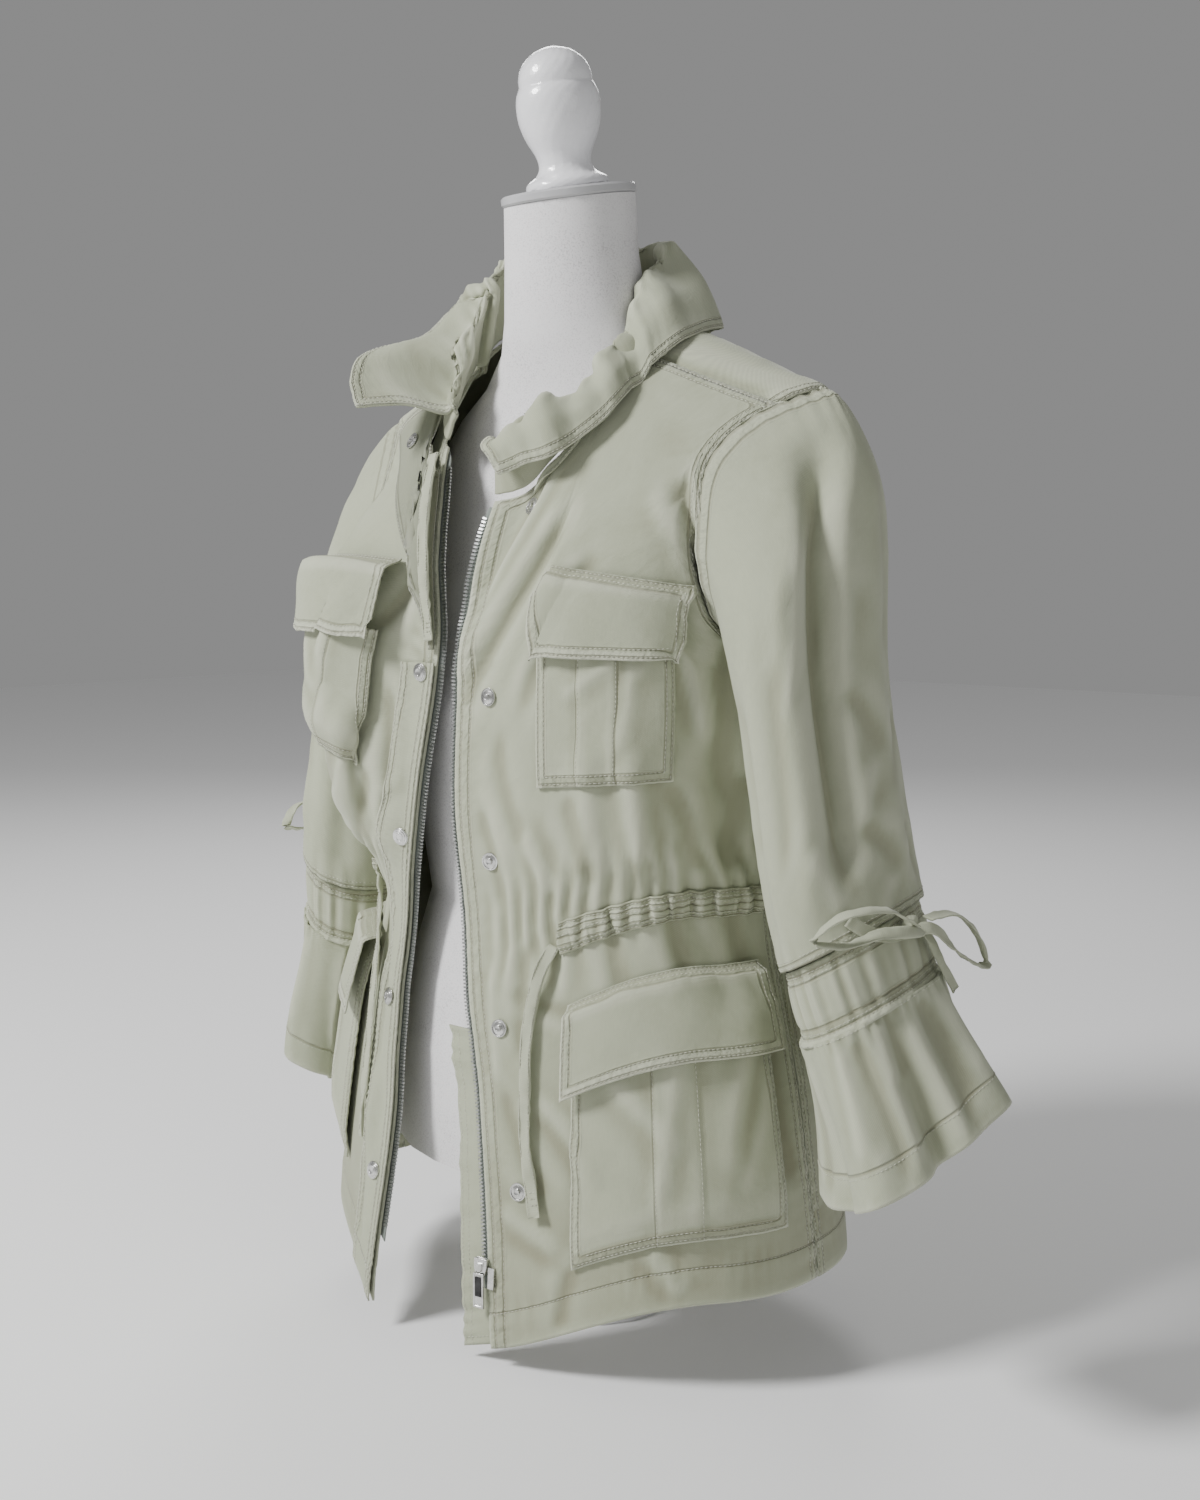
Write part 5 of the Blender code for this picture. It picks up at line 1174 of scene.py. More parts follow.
# sleeves: rows are turn round the arm, share down it, and again, width in mm, depth and bend
sleeveLength = 370.0
sleeveCreases = {
    "left": [
        (50, 60, 48, 330, 6, -4.0, 3), (38, 90, 24, 200, 6, 2.6, 4), (
            66, 210, 92, 262, 7, -3.0, 3
        ), (60, 300, 92, 344, 7, -3.6, 4),
        (82, 262, 62, 314, 5, 2.4, 0), (
            100, 60, 112, 190, 9, -2.8, 4
        ), (16, 150, 6, 300, 8, -3.4, 3), (78, 40, 84, 150, 8, 2.2, -3),
        (120, 230, 96, 290, 7, -2.4, 0), (
            104, 310, 124, 360, 7, -2.6, 0
        ), (28, 300, 44, 352, 6, 2.4, 0), (66, 120, 56, 190, 5, -1.8, 0),
        (160, 80, 170, 300, 12, -3.6, 5), (
            210, 100, 200, 330, 12, -3.6, -5
        ), (260, 160, 250, 320, 10, -3.0, 4),
        (186, 200, 214, 262, 9, 2.4, 0), (320, 80, 330, 260, 10, -2.6, 3), (84, 342, 70, 368, 5, 2.0, 0),
    ],
    "right": [
        (40, 60, 62, 210, 9, -3.2, 4), (80, 80, 76, 240, 8, 2.4, -3), (
            16, 120, 22, 300, 8, -3.0, 3
        ), (60, 250, 96, 300, 7, -3.0, 3),
        (
            96, 160, 110, 320, 9, -2.8, -4
        ), (34, 270, 56, 340, 7, -2.6, 0), (120, 90, 130, 240, 10, -2.6, 4), (70, 320, 84, 362, 6, 2.2, 0),
        (160, 80, 170, 300, 12, -3.6, 5), (
            210, 100, 200, 330, 12, -3.6, -5
        ), (260, 160, 250, 320, 10, -3.0, 4), (330, 90, 340, 240, 9, -2.4, 3),
    ],
}


def sleeveDetail(side):
    def extra(turn, share):
        x, y = turn * 0.83, share * sleeveLength
        rows = [
            (a * 0.83, b, c * 0.83, d, width, depth, bend)
            for a, b, c, d, width, depth, bend in sleeveCreases[side]
        ]
        height = 0.55 * creased(rows, x, y, 360 * 0.83) + 0.7 * creased(rows[:1], x, y, 360 * 0.83)
        wavy = crumpled(x, y, 71 if side == "left" else 83, 0.6)
        height += wavy * ease((x - 4) / 30) * ease((360 * 0.83 - 4 - x) / 30)
        cap = np.clip(np.sin(np.radians(turn)), 0, 1) ** 2
        height += 0.0013 * cap * np.sin(x * 2 * math.pi / 8.5 + noiseField(x, y, 26, 73)) * np.exp(-y / 16)
        height += puckered(y, x, 12, 0.5, 12, 25) + puckered(sleeveLength - y, x, 10, 0.9, 22, 27)
        return height

    return extra


def makeSleeve(side):
    turns, shares = np.arange(0, 360, 2.8125), dense(
        np.array([0, 0.05, 0.14, 0.30, 0.55, 0.80, 0.955, 1.0]), 132
    )
    points = sleeveGrid(turns, shares, side, sleeveDetail(side))
    height = sleeveDetail(side)(*np.meshgrid(turns, shares))[::-1]
    down = (1 - shares[::-1, None]) * sleeveLength
    wearAndShade = wearAndShadeFrom(height, [(down + 0 * height, 3.0, 0.0), (sleeveLength - down + 0 * height, 4.0, 0.25)])
    far = sleeveLength - down + 0 * height
    rest = (wearAndShade, np.minimum(down + 2.2 + 0 * height, far), farAway + 0 * height)
    return forArm(side, points, rest)


leftSleeve, leftSleeveWearAndShade = makeSleeve("left")
rightSleeve, rightSleeveWearAndShade = makeSleeve("right")

# cuffs: the deep folds are in the part, these lie between them
cuffCreases = {
    "left": [
        (24, 50, 26, 128, 5, -3.0, 2), (78, 50, 84, 120, 6, -3.4, 3), (66, 60, 68, 134, 5, 2.6, 0), (
            120, 52, 126, 128, 7, -3.4, 3
        ),
        (100, 54, 96, 110, 5, 2.4, 0), (10, 52, 6, 110, 5, 2.2, 0), (
            170, 52, 176, 128, 7, -3.0, 3
        ), (216, 52, 214, 128, 7, -3.0, 3),
        (262, 52, 266, 128, 7, -3.0, 3), (310, 52, 314, 128, 7, -3.0, 3), (44, 48, 42, 84, 4, 2.2, 0),
    ],
    "right": [
        (24, 52, 30, 128, 6, -3.0, 3), (66, 52, 70, 140, 6, -2.8, 2), (92, 54, 84, 120, 6, 2.4, 0), (
            120, 52, 124, 128, 7, -3.0, 3
        ),
        (
            170, 52, 176, 128, 7, -3.0, 3
        ), (216, 52, 214, 128, 7, -3.0, 3), (262, 52, 266, 128, 7, -3.0, 3), (310, 52, 314, 128, 7, -3.0, 3),
        (44, 50, 46, 96, 4, 2.2, 0), (6, 52, 8, 120, 5, 2.0, 0),
    ],
}


def cuffDetail(side):
    def extra(turn, drop):
        x, y = turn * 0.95, drop * 1000
        rows = [
            (a * 0.95, b, c * 0.95, d, width, depth, bend)
            for a, b, c, d, width, depth, bend in cuffCreases[side]
        ]
        height = (
            creased(rows, x, y, 360 * 0.95)
            + crumpled(x, y, 91 if side == "left" else 97, 0.8) * ease((340 - x) / 30) * ease(x / 30)
        )
        height += puckered(y - casingDrop * 1000, x, 8, 1.0, 14, 31)
        return height + puckered(np.abs(cuffDrop[side] * 1000 - 20 - y), x, 12, 0.5, 10, 33)

    return extra


def makeCuff(side):
    turns = np.arange(0, 360, 2.5)
    drops = casingDrop + cuffGap + (cuffDrop[side] - casingDrop - cuffGap) * np.linspace(0, 1, 46)
    points = cuffGrid(turns, drops, side, cuffDetail(side))
    height = cuffDetail(side)(*np.meshgrid(turns, drops))[::-1]
    low = (cuffDrop[side] - drops[::-1, None]) * 1000 + 0 * height
    rest = (wearAndShadeFrom(height, [(low, 2.0, 0.4)]), farAway + 0 * height, low - 20)
    return forArm(side, points, rest)


# casings: gathered between two pairs of stitched rows
def makeCasing(side):
    turns, drops = np.arange(0, 360, 1.5), np.linspace(0.0, 0.0465, 28)
    turn, drop = np.meshgrid(turns, drops)
    z = tilted(turn, sleeveEndZ - seamGap * 3 - drop)
    x, y = sleeveRing(turn, z, side)
    points = np.stack([x, y, z], -1)[::-1]
    uneven = noiseField(turn, drop * 0, 24, 35)
    gather = np.cos(np.radians(turn) * 20 + 0.5 * uneven) + 0.5 * np.cos(np.radians(turn) * 34 + uneven)
    swell = np.sin(np.pi * np.clip(drop / 0.0440, 0, 1))
    rows = np.exp(-(((drop - 0.0070) / 0.0022) ** 2)) + np.exp(-(((drop - 0.0370) / 0.0022) ** 2))
    size = 0.0008 * gather * (0.45 + 0.55 * swell) + 0.0016 * swell - 0.0034 - 0.0007 * rows
    size = size + 0.0028 * ease((drop - 0.0410) / 0.004)
    size = size[::-1]
    points = offBody(
        points + gridNormals(points, True) * size[..., None], cuffClear[side] * 0.6 + size, side
    )
    fromTop = 0 * size + (drops[::-1, None] * 1000)
    fromEdges = np.minimum(fromTop, 46 - fromTop)
    rest = (wearAndShadeFrom(size, []), fromEdges - 2.0, farAway + 0 * size)
    return forArm(side, points, rest)


leftCuff, leftCuffWearAndShade = makeCuff("left")
rightCuff, rightCuffWearAndShade = makeCuff("right")
leftCasing, leftCasingWearAndShade = makeCasing("left")
rightCasing, rightCasingWearAndShade = makeCasing("right")
print("sleeves shaped")


# what lies on the fronts
pocketValues = {"columns": 62, "levels": 58, "flapLevels": 34, "pucker": 0.4}
pocketCreases = {
    "chest_left": [(60, 20, 66, 110, 6, 1.6, 3), (20, 60, 60, 84, 6, 1.4, 0), (96, 110, 70, 70, 7, 1.6, 0)],
    "chest_right": [(30, 20, 36, 110, 6, 2.0, 3), (70, 90, 40, 40, 6, 1.6, 0)],
    "hip_left": [
        (60, 20, 74, 150, 8, 2.0, 4), (110, 40, 128, 140, 8, 2.0, -4), (30, 120, 80, 60, 7, 1.6, 0),
        (150, 120, 120, 30, 8, 1.8, 0),
    ],
    "hip_right": [(40, 20, 50, 150, 8, 2.4, 3), (80, 40, 90, 130, 8, 2.0, -3)],
}


def pocketCells(row, panel, count, levelCount, low, high, inset):
    first, last = row["turn"]
    edge = inset * (last - first)
    turns = np.linspace(first + edge, last - edge, count)
    levels = np.linspace(low, high, levelCount)
    place = np.linspace(0, 1, count)
    cellLevels = levels[:, None] + row["rise"] * place[None, :]
    cellTurns = turns[None, :] + row["lean"] * (leanLevel - cellLevels)
    return panel.sharesAt(cellTurns, cellLevels), cellLevels, turns


def makePocket(row):
    side = row["name"].split("_")[1]
    panel = leftUnder if side == "left" else rightUnder
    swell, pleat = row["swell"], row["pleat"]
    count = pocketValues["columns"]
    columns, cellLevels, turns = pocketCells(
        row, panel, count, pocketValues["levels"], row["bottom"], row["top"], 0.03
    )
    place = np.linspace(0, 1, count)[None, :]
    levels = np.linspace(row["bottom"], row["top"], pocketValues["levels"])
    proud = ease((turns - pleat[0]) / 0.7) * ease((pleat[1] - turns) / 0.7)
    rise = ease((levels - levels[0]) / 0.05)[:, None]
    height = (
        layGap * 2 + trimThick + swell * (0.45 + 0.55 * np.sin(np.pi * place)) * (0.12 + 0.88 * rise)
        + 0.0014 * proud[None, :]
    )
    base, normals = panel.at(columns, cellLevels)
    across, up = arcs(base, 1), arcs(base, 0)
    fromSide = np.minimum(across, across[:, -1:] - across)
    free = ease(fromSide / 8) * ease(up / 8)
    seed = 101 + 7 * int(row["turn"][0])
    height = height + free * (0.0010 + raised(crumpled(across, up, seed, 0.7)))
    height += free * np.maximum(creased(pocketCreases[row["name"]], across, up), -0.0008)
    size = pocketValues["pucker"]
    height += np.maximum(
        puckered(fromSide, up, 9, size, 6, seed) + puckered(up, across, 9, size, 6, seed + 1), -0.0002
    )
    wearAndShade = wearAndShadeFrom(height, [(fromSide, 1.6, 0.4), (up, 1.6, 0.45)])
    bodyEdge = np.minimum(fromSide, up)
    perTurn = across[:, -1:] / (turns[-1] - turns[0])
    bodyLine = np.minimum(np.abs(turns - pleat[0]), np.abs(turns - pleat[1]))[None, :] * perTurn
    # under the top of the flap the pocket lies flat
    under = ease((row["flapTop"] - cellLevels) / (row["flapTop"] - row["flapBottom"]) / 0.55)
    height = layGap + (height - layGap) * under
    body = base + normals * height[..., None]

    columns, cellLevels, turns = pocketCells(
        row, panel, count, pocketValues["flapLevels"], row["flapBottom"], row["flapTop"], 0.0
    )
    levels = np.linspace(row["flapBottom"], row["flapTop"], pocketValues["flapLevels"])[:, None]
    down = (row["flapTop"] - levels) / (row["flapTop"] - row["flapBottom"])
    seam = layGap * 2.6 + trimThick
    free = layGap * 3 + trimThick * 2 + swell + 0.0030 + 0.0022 * down
    lifted = seam + 0.0010 + (free - seam) * ease(down / 0.16)
    base, flapNormals = panel.at(columns, cellLevels)
    across, up = arcs(base, 1), arcs(base, 0)
    fromSide = np.minimum(across, across[:, -1:] - across)
    height = lifted + ease(down / 0.2) * raised(crumpled(across, up, seed + 9, 0.6)) + 0 * across
    curl = 0.0016 * np.sin(across * 2 * math.pi / 55 + seed) * np.clip(down - 0.5, 0, 1)
    height += np.maximum(curl, -0.0004) + np.maximum(
        puckered(np.minimum(fromSide, up), across + up, 9, size, 7, seed + 2), -0.0002
    )
    flapWearAndShade = wearAndShadeFrom(height, [(fromSide, 1.6, 0.45), (up, 1.6, 0.5), (up[-1:] - up, 2.0, 0.3)])
    flap = base + flapNormals * height[..., None]
    bodyRest = (wearAndShade, bodyEdge, bodyLine)
    flapRest = (flapWearAndShade, np.minimum(np.minimum(fromSide, up), up[-1:] - up + 0.6), farAway + 0 * up)
    if side == "right":
        body, flap = body[:, ::-1], flap[:, ::-1]
        bodyRest, flapRest = [grid[:, ::-1] for grid in bodyRest], [grid[:, ::-1] for grid in flapRest]
    return (body, bodyRest), (flap, flapRest)


pockets = {}
for i, pocketName in enumerate(pocketTable["name"]):
    pockets[pocketName] = makePocket({key: values[i] for key, values in pocketTable.items()})
print("pockets shaped")

casingLevels = (0.548, 0.604)
casingSpans = {
    "left": (leftPanel, 0.394, 0.996, 14),
    "right": (rightPanel, 0.004, 0.62, 12),
    "back": (backPanel, 90.6, 269.4, 21),
}


def makeWaistCasing(panel, low, high, gathers):
    columns, levels = np.meshgrid(np.linspace(low, high, gathers * 14), np.linspace(*casingLevels, 22))
    share = (columns - low) / (high - low)
    up = (levels - casingLevels[0]) / (casingLevels[1] - casingLevels[0])
    middle = np.sin(np.pi * up)
    uneven = noiseField(share * gathers, up * 0, 1.6, 41)
    wave = np.cos(
        2 * math.pi * gathers * share + 0.7 * uneven
    ) + 0.45 * np.cos(2 * math.pi * gathers * 1.7 * share + uneven)
    rows = (
        np.exp(-(((up - 0.14) / 0.06) ** 2)) + np.exp(-(((up - 0.86) / 0.06) ** 2))
        + 0.7 * np.exp(-(((up - 0.5) / 0.05) ** 2))
    )
    height = (
        layGap + trimThick + 0.0012 + 0.0012 * wave * (0.4 + 0.6 * middle) + 0.0014 * middle - 0.0010 * rows
    )
    height -= 0.0010 * np.exp(-((np.minimum(up, 1 - up) / 0.05) ** 2))
    points, normals = panel.at(columns, levels)
    fromEdge = np.minimum(up, 1 - up) * 28
    return points + normals * height[..., None], (wearAndShadeFrom(height, []), fromEdge - 0.3, (up - 0.5) * 28)


waistCasings = {key: makeWaistCasing(*span) for key, span in casingSpans.items()}


def makePlacket():
    columns, levels = np.meshgrid(np.linspace(0.81, 1.0, 26), np.linspace(0, 1.0, 170))
    points, normals = rightPanel.at(columns, levels)
    across, up = arcs(points, 1), arcs(points, 0)
    fromEdge = across[:, -1:] - across
    away = np.minimum(np.abs(across - 4), np.abs(fromEdge - 4))
    height = layGap * 3 + trimThick + 0.0004 + np.abs(puckered(away, up, 12, 0.9, 7, 43))
    height += 0.7 * raised(crumpled(across, up, 45, 1.0)) * ease(across / 5) * ease(fromEdge / 5)
    wearAndShade = wearAndShadeFrom(height, [(fromEdge, 1.6, 0.45), (across, 1.6, 0.3), (up, 2, 0.3)])
    return points + normals * height[..., None], (wearAndShade, np.minimum(fromEdge, across), up - 20)


placket, placketWearAndShade = makePlacket()


def makeCorner():
    share, level = np.meshgrid(np.linspace(0, 1, 34), np.linspace(1.06, 1.88, 70))
    wide = 0.03 + 0.46 * ((level - 1.06) / 0.82) ** 1.3
    points, normals = rightPanel.at(0.995 - wide * (1 - share), level)
    height = 0.004 + 0.010 * np.sin(np.pi * share) ** 0.8 * (level - 1.0)
    across, up = arcs(points, 1), arcs(points, 0)
    height += 0.8 * raised(crumpled(across, up, 51, 1.0)) + np.maximum(
        creased([(8, 30, 40, 110, 6, 2.4, 3)], across, up), 0
    )
    wearAndShade = wearAndShadeFrom(height, [(up[-1:] - up, 1.6, 0.4), (across, 1.6, 0.4)])
    return points + normals * height[..., None], normals, (
        wearAndShade, np.minimum(up[-1:] - up, across), farAway + 0 * up
    )


corner, cornerNormals, cornerWearAndShade = makeCorner()


def makeTab():
    columns, levels = np.meshgrid(np.linspace(0.16, 0.31, 30), np.linspace(1.90, 1.975, 12))
    points, normals = leftPanel.at(columns, levels)
    height = (
        0.0044 + 0.0008 * np.sin(columns * 17) + 0.0006 * noiseField(columns * 300, levels * 300, 9, 53)
    )
    return points + normals * height[..., None], normals


tab, tabNormals = makeTab()


# zip tapes and the guard behind the left one run beyond the free edges
def stripBeyond(panel, atStart, levels, width, sink, count, wave=0.0):
    edge, normal = panel.at(np.full(len(levels), panel.columns[0 if atStart else -1]), levels)
    inner, _ = panel.at(np.full(len(levels), panel.columns[5 if atStart else -6]), levels)
    away = edge - inner
    away /= np.linalg.norm(away, axis=1, keepdims=True)
    share = np.linspace(0, 1, count)[None, :, None]
    near, far = (edge - away * 0.007)[:, None], (edge + away * width)[:, None]
    points = near + (far - near) * share - normal[:, None] * sink
    ripple = np.sin(levels * 96) * wave
    points = points + normal[:, None] * (ripple[:, None, None] * share)
    return points[:, ::-1] if atStart else points


leftTape = stripBeyond(leftPanel, True, np.linspace(0.09, 1.97, 220), 0.005, clothThick + layGap, 8)
rightTape = stripBeyond(rightPanel, False, np.linspace(0.09, 1.97, 220), 0.004, clothThick + 3 * layGap, 8)
guard = stripBeyond(
    leftPanel, True, np.linspace(0.004, 0.46, 110), 0.026, clothThick + 2 * layGap + 0.0010, 22, 0.0006
)
print("plackets, tapes and guard shaped")


# collar: a rolled stand with a wrinkled roll line
collarFolds = {"fine": 0.0011}


def makeCollar():
    points = collarGrid(200, 56)[::-1]
    rows = np.linspace(1, 0, 56)[:, None]
    across, up = arcs(points, 1), arcs(points, 0)
    height = crumpled(across, up, 57, 1.0) * ease(rows / 0.1) * ease((1.02 - rows) / 0.06)
    roll = np.exp(-(((rows - 0.5) / 0.17) ** 2))
    height += collarFolds["fine"] * roll * np.sin(
        across * 2 * math.pi / 17 + 2.4 * noiseField(across, up, 30, 59)
    )
    fromEdge = up
    height += puckered(np.abs(fromEdge - 5), across, 9, 0.5, 9, 61)
    ends = np.minimum(across, across[:, -1:] - across)
    wearAndShade = wearAndShadeFrom(height, [(fromEdge, 1.8, 0.4), (ends, 1.6, 0.35)]) + 0.12 * roll
    return points + gridNormals(points) * height[..., None], (
        np.clip(wearAndShade, 0, 1), np.minimum(up, ends), farAway
    )


collarPoints, collarWear = makeCollar()
print("collar shaped")


# ribbons: flat ties with rounded edges and two stitched rows
def ribbonGrid(path, facing, width, thick, around=14):
    path = np.asarray(path, float)
    facing = np.broadcast_to(np.asarray(facing, float), path.shape)
    tangent = np.gradient(path, axis=0)
    tangent /= np.linalg.norm(tangent, axis=1, keepdims=True)
    side = np.cross(tangent, facing)
    side /= np.linalg.norm(side, axis=1, keepdims=True)
    normal = np.cross(side, tangent)
    a = np.linspace(0, 2 * math.pi, around, endpoint=False)
    x = np.sign(np.cos(a)) * np.abs(np.cos(a)) ** 0.5 * width / 2
    y = np.sign(np.sin(a)) * np.abs(np.sin(a)) ** 0.6 * thick / 2
    along = lengthsAlong(path) * 1000
    cup = (
        0.0007 * np.sin(along / 9.0)[:, None] * np.cos(2 * a)[None]
        + 0.0003 * noiseField(along[:, None], x[None] * 1000, 5, 63)
    )
    grid = path[:, None] + side[:, None] * x[None, :, None] + normal[:, None] * (y[None] + cup)[..., None]
    return grid, side, normal


# a ring of points for each row, closed at both ends
def closedTube(grid):
    rows, cols = grid.shape[:2]
    r, c = np.meshgrid(np.arange(rows - 1), np.arange(cols), indexing="ij")
    n = (c + 1) % cols
    around = np.stack(
        [r * cols + c, r * cols + n, (r + 1) * cols + n, (r + 1) * cols + c], -1
    ).reshape(-1, 4)
    points = np.concatenate([grid.reshape(-1, 3), np.stack([grid[0].mean(0), grid[-1].mean(0)])])
    c = np.arange(0, cols, 2)
    top = (rows - 1) * cols
    first = np.stack([np.full(len(c), rows * cols), (c + 2) % cols, (c + 1) % cols, c], -1)
    last = np.stack(
        [np.full(len(c), rows * cols + 1), top + c, top + (c + 1) % cols, top + (c + 2) % cols], -1
    )
    return points, np.concatenate([around, first, last])


def plainValues(count, wearAndShade):
    return {"wearAndShade": np.full(count, wearAndShade), "edge": np.full(count, farAway), "line": np.full(count, farAway)}


def addRibbon(name, path, facing, width, thick, look):
    grid, side, normal = ribbonGrid(path, facing, width, thick)
    cols = grid.shape[1]
    points, faces = closedTube(grid)
    corners = points[faces]
    volume = np.einsum(
        "ij,ij->",
        corners[:, 0],
        np.cross(corners[:, 1], corners[:, 2]) + np.cross(corners[:, 2], corners[:, 3]),
    )
    if volume < 0:
        faces = faces[:, ::-1]
    along = lengthsAlong(path)
    uv = np.stack(
        np.broadcast_arrays(np.linspace(0, 2 * width, cols)[None, :], along[:, None]), -1
    ).reshape(-1, 2)
    uv = np.concatenate([uv, uv[:2]])
    return addMesh(name + "_ribbon", points, faces, look, uv, plainValues(len(points), 0.6)), side, normal


def finishCord(made, nodes):
    handOver(made, nodes)


tieValues = {"width": 0.0095, "thick": 0.0020, "steps": 90}


def tiePath(panel, shares, levels, heights, count):
    points, normals = panel.at(np.array(shares), np.array(levels))
    path = smoothPath(points + normals * np.array(heights)[:, None], count)
    even = np.linspace(0, 1, count)
    _, facing = panel.at(
        np.interp(even, np.linspace(0, 1, len(shares)), shares),
        np.interp(even, np.linspace(0, 1, len(levels)), levels),
    )
    return path, facing


def addTie(name, panel, shares, levels, heights):
    path, facing = tiePath(panel, shares, levels, heights, tieValues["steps"])
    path = path + facing * 0.0008
    made, side, normal = addRibbon(name, path, facing, tieValues["width"], tieValues["thick"], twill)
    rows = [(path + side * off + normal * tieValues["thick"] * 0.5, normal) for off in (-0.0036, 0.0036)]
    end = path[-9:-3:2]
    for k in range(len(end)):
        place = -9 + 2 * k
        line = np.stack([path[place] + side[place] * s for s in np.linspace(-0.0036, 0.0036, 6)])
        rows.append((line + normal[place] * tieValues["thick"] * 0.5, np.repeat(normal[place][None], 6, 0)))
    addStitches(name + "_stitching", rows, 2.6)
    finishCord(made, [name])


addTie("waist_tie_left", leftPanel, waistTie["share"], waistTie["level"], waistTie["height"])
addTie("waist_tie_right", rightPanel, waistTie["rightShare"], waistTie["level"], waistTie["height"])
addTie("collar_tie_right", rightPanel, collarTie["share"], collarTie["level"], collarTie["height"])
print("ties made")


knotSize = (0.0118, 0.0078, 0.0112)


def addKnot(name, middle, outward):
    a, b = np.meshgrid(
        np.linspace(0, 2 * math.pi, 40, endpoint=False), np.linspace(0.05, math.pi - 0.05, 22)
    )
    groove = 1 + 0.10 * np.cos(3 * a + 2 * b) + 0.05 * np.sin(7 * a - 3 * b)
    x = np.sign(np.cos(a)) * np.abs(np.cos(a)) ** 0.7 * np.sin(b) ** 0.7 * groove
    y = np.sign(np.sin(a)) * np.abs(np.sin(a)) ** 0.7 * np.sin(b) ** 0.7 * groove
    z = np.cos(b)
    side = np.cross(outward, [0.0, 0.0, 1.0])
    points = middle + (x * knotSize[0] / 2)[..., None] * side + (y * knotSize[1] / 2)[..., None] * outward
    points = points + (z * knotSize[2] / 2)[..., None] * np.array([0.0, 0.0, 1.0])
    flat, faces = closedTube(points)
    corners = flat[faces]
    if np.einsum(
        "ij,ij->", corners[:, 0] - middle, np.cross(corners[:, 1] - middle, corners[:, 2] - middle)
    ) < 0:
        faces = faces[:, ::-1]
    uv = np.concatenate([np.stack([a * 0.006, b * 0.006], -1).reshape(-1, 2), np.zeros((2, 2))])
    made = addMesh(name + "_cloth", flat, faces, twill, uv, plainValues(len(flat), 0.6))
    handOver(made, [name])
    return made


def addBow(side, sign, shift):
    knot, outward = cuffFrame(np.array([87.3 + shift]), np.array([0.007]), side)
    mirror = np.array([sign, 1.0, 1.0])
    middle = (knot[0] + outward[0] * (0.0005 + knotSize[1] / 2)) * mirror
    knotPiece = addKnot(f"bow_knot_{side}", middle, outward[0] * mirror)
    inner = knot[0] + outward[0] * 0.004
    for loop, end, pieces in (("loop_front", "end_long", (knotPiece,)), ("loop_back", "end_short", ())):
        keys = []
        for kind in (loop, end):
            i = bowTable["piece"].index(kind)
            points, out = cuffFrame(
                np.array(bowTable["turns"][i], float) + shift, np.array(bowTable["drops"][i]), side
            )
            keys.append(points + out * (np.array(bowTable["heights"][i])[:, None] + 0.0008))
        path = smoothPath(np.concatenate(keys), 110)
        tail = np.linspace(0, 1, 110) * 11 > 6.5
        level = np.broadcast_to([0.25, 0.0, 1.0], path.shape)
        facing = np.where(tail[:, None], (path - inner) / 0.03 + np.array([1.0, -0.7, 1.0]), level)
        facing = np.stack(
            [np.convolve(np.pad(facing[:, k], 6, mode="edge"), np.ones(13) / 13, "valid") for k in range(3)],
            -1,
        )
        made, _, _ = addRibbon(
            f"bow_{loop}_{side}", path * mirror, facing * mirror, tieValues["width"] * 0.9, 0.0015, twill
        )
        nodes = [f"bow_{loop}_{side}", f"bow_{end}_{side}"]
        finishCord(made, nodes)


addBow("left", 1.0, 0.0)
addBow("right", -1.0, 30.0)
print("bows made")


# the cloth pieces
def clothFrom(name, points, thick, rest, wraps=False, look=twill, normals=None):
    wearAndShade, edge, line = rest
    cloth(name, points, thick, look, wraps, normals, wearAndShade, edge, line)


clothFrom("back", backPoints, clothThick, backWearAndShade)
clothFrom("yoke", yokePoints, clothThick, yokeWearAndShade)
clothFrom("front_left", leftFront, clothThick, leftWearAndShade)
clothFrom("front_right", rightFront, clothThick, rightWearAndShade)
clothFrom("sleeve_left", leftSleeve, clothThick, leftSleeveWearAndShade, wraps=True)
clothFrom("sleeve_right", rightSleeve, clothThick, rightSleeveWearAndShade, wraps=True)
clothFrom("cuff_left", leftCuff, clothThick, leftCuffWearAndShade, wraps=True)
clothFrom("cuff_right", rightCuff, clothThick, rightCuffWearAndShade, wraps=True)
clothFrom("cuff_casing_left", leftCasing, clothThick, leftCasingWearAndShade, True)
clothFrom("cuff_casing_right", rightCasing, clothThick, rightCasingWearAndShade, True)
clothFrom("collar", collarPoints, 0.0022, collarWear)
for pocketName, (body, flap) in pockets.items():
    kind, side = pocketName.split("_")
    clothFrom(f"{kind}_pocket_{side}", body[0], trimThick, body[1])
    clothFrom(f"{kind}_flap_{side}", flap[0], trimThick, flap[1])
for side, (points, rest) in waistCasings.items():
    clothFrom(f"waist_casing_{side}", points, trimThick, rest)
clothFrom("placket_right", placket, trimThick, placketWearAndShade)
clothFrom(
    "placket_corner_right",
    corner,
    trimThick,
    cornerWearAndShade,
    look=twillShadedInside,
    normals=cornerNormals,
)
cloth("collar_tab_left", tab, trimThick, twill, normals=tabNormals)
cloth("zip_tape_left", leftTape, 0.0008, tapeCloth)
cloth("zip_tape_right", rightTape, 0.0008, tapeCloth)
cloth("zip_guard_left", guard, trimThick, twill)
print("cloth made")

# topstitching, two rows a needle gap apart
needleGap = 5.2
hemAway = frontValues["hem"]


def pair(surface, edge, first, start=0.0, end=1.0, gap=needleGap):
    return [surface.inset(edge, distance, start, end) for distance in (first, first + gap)]


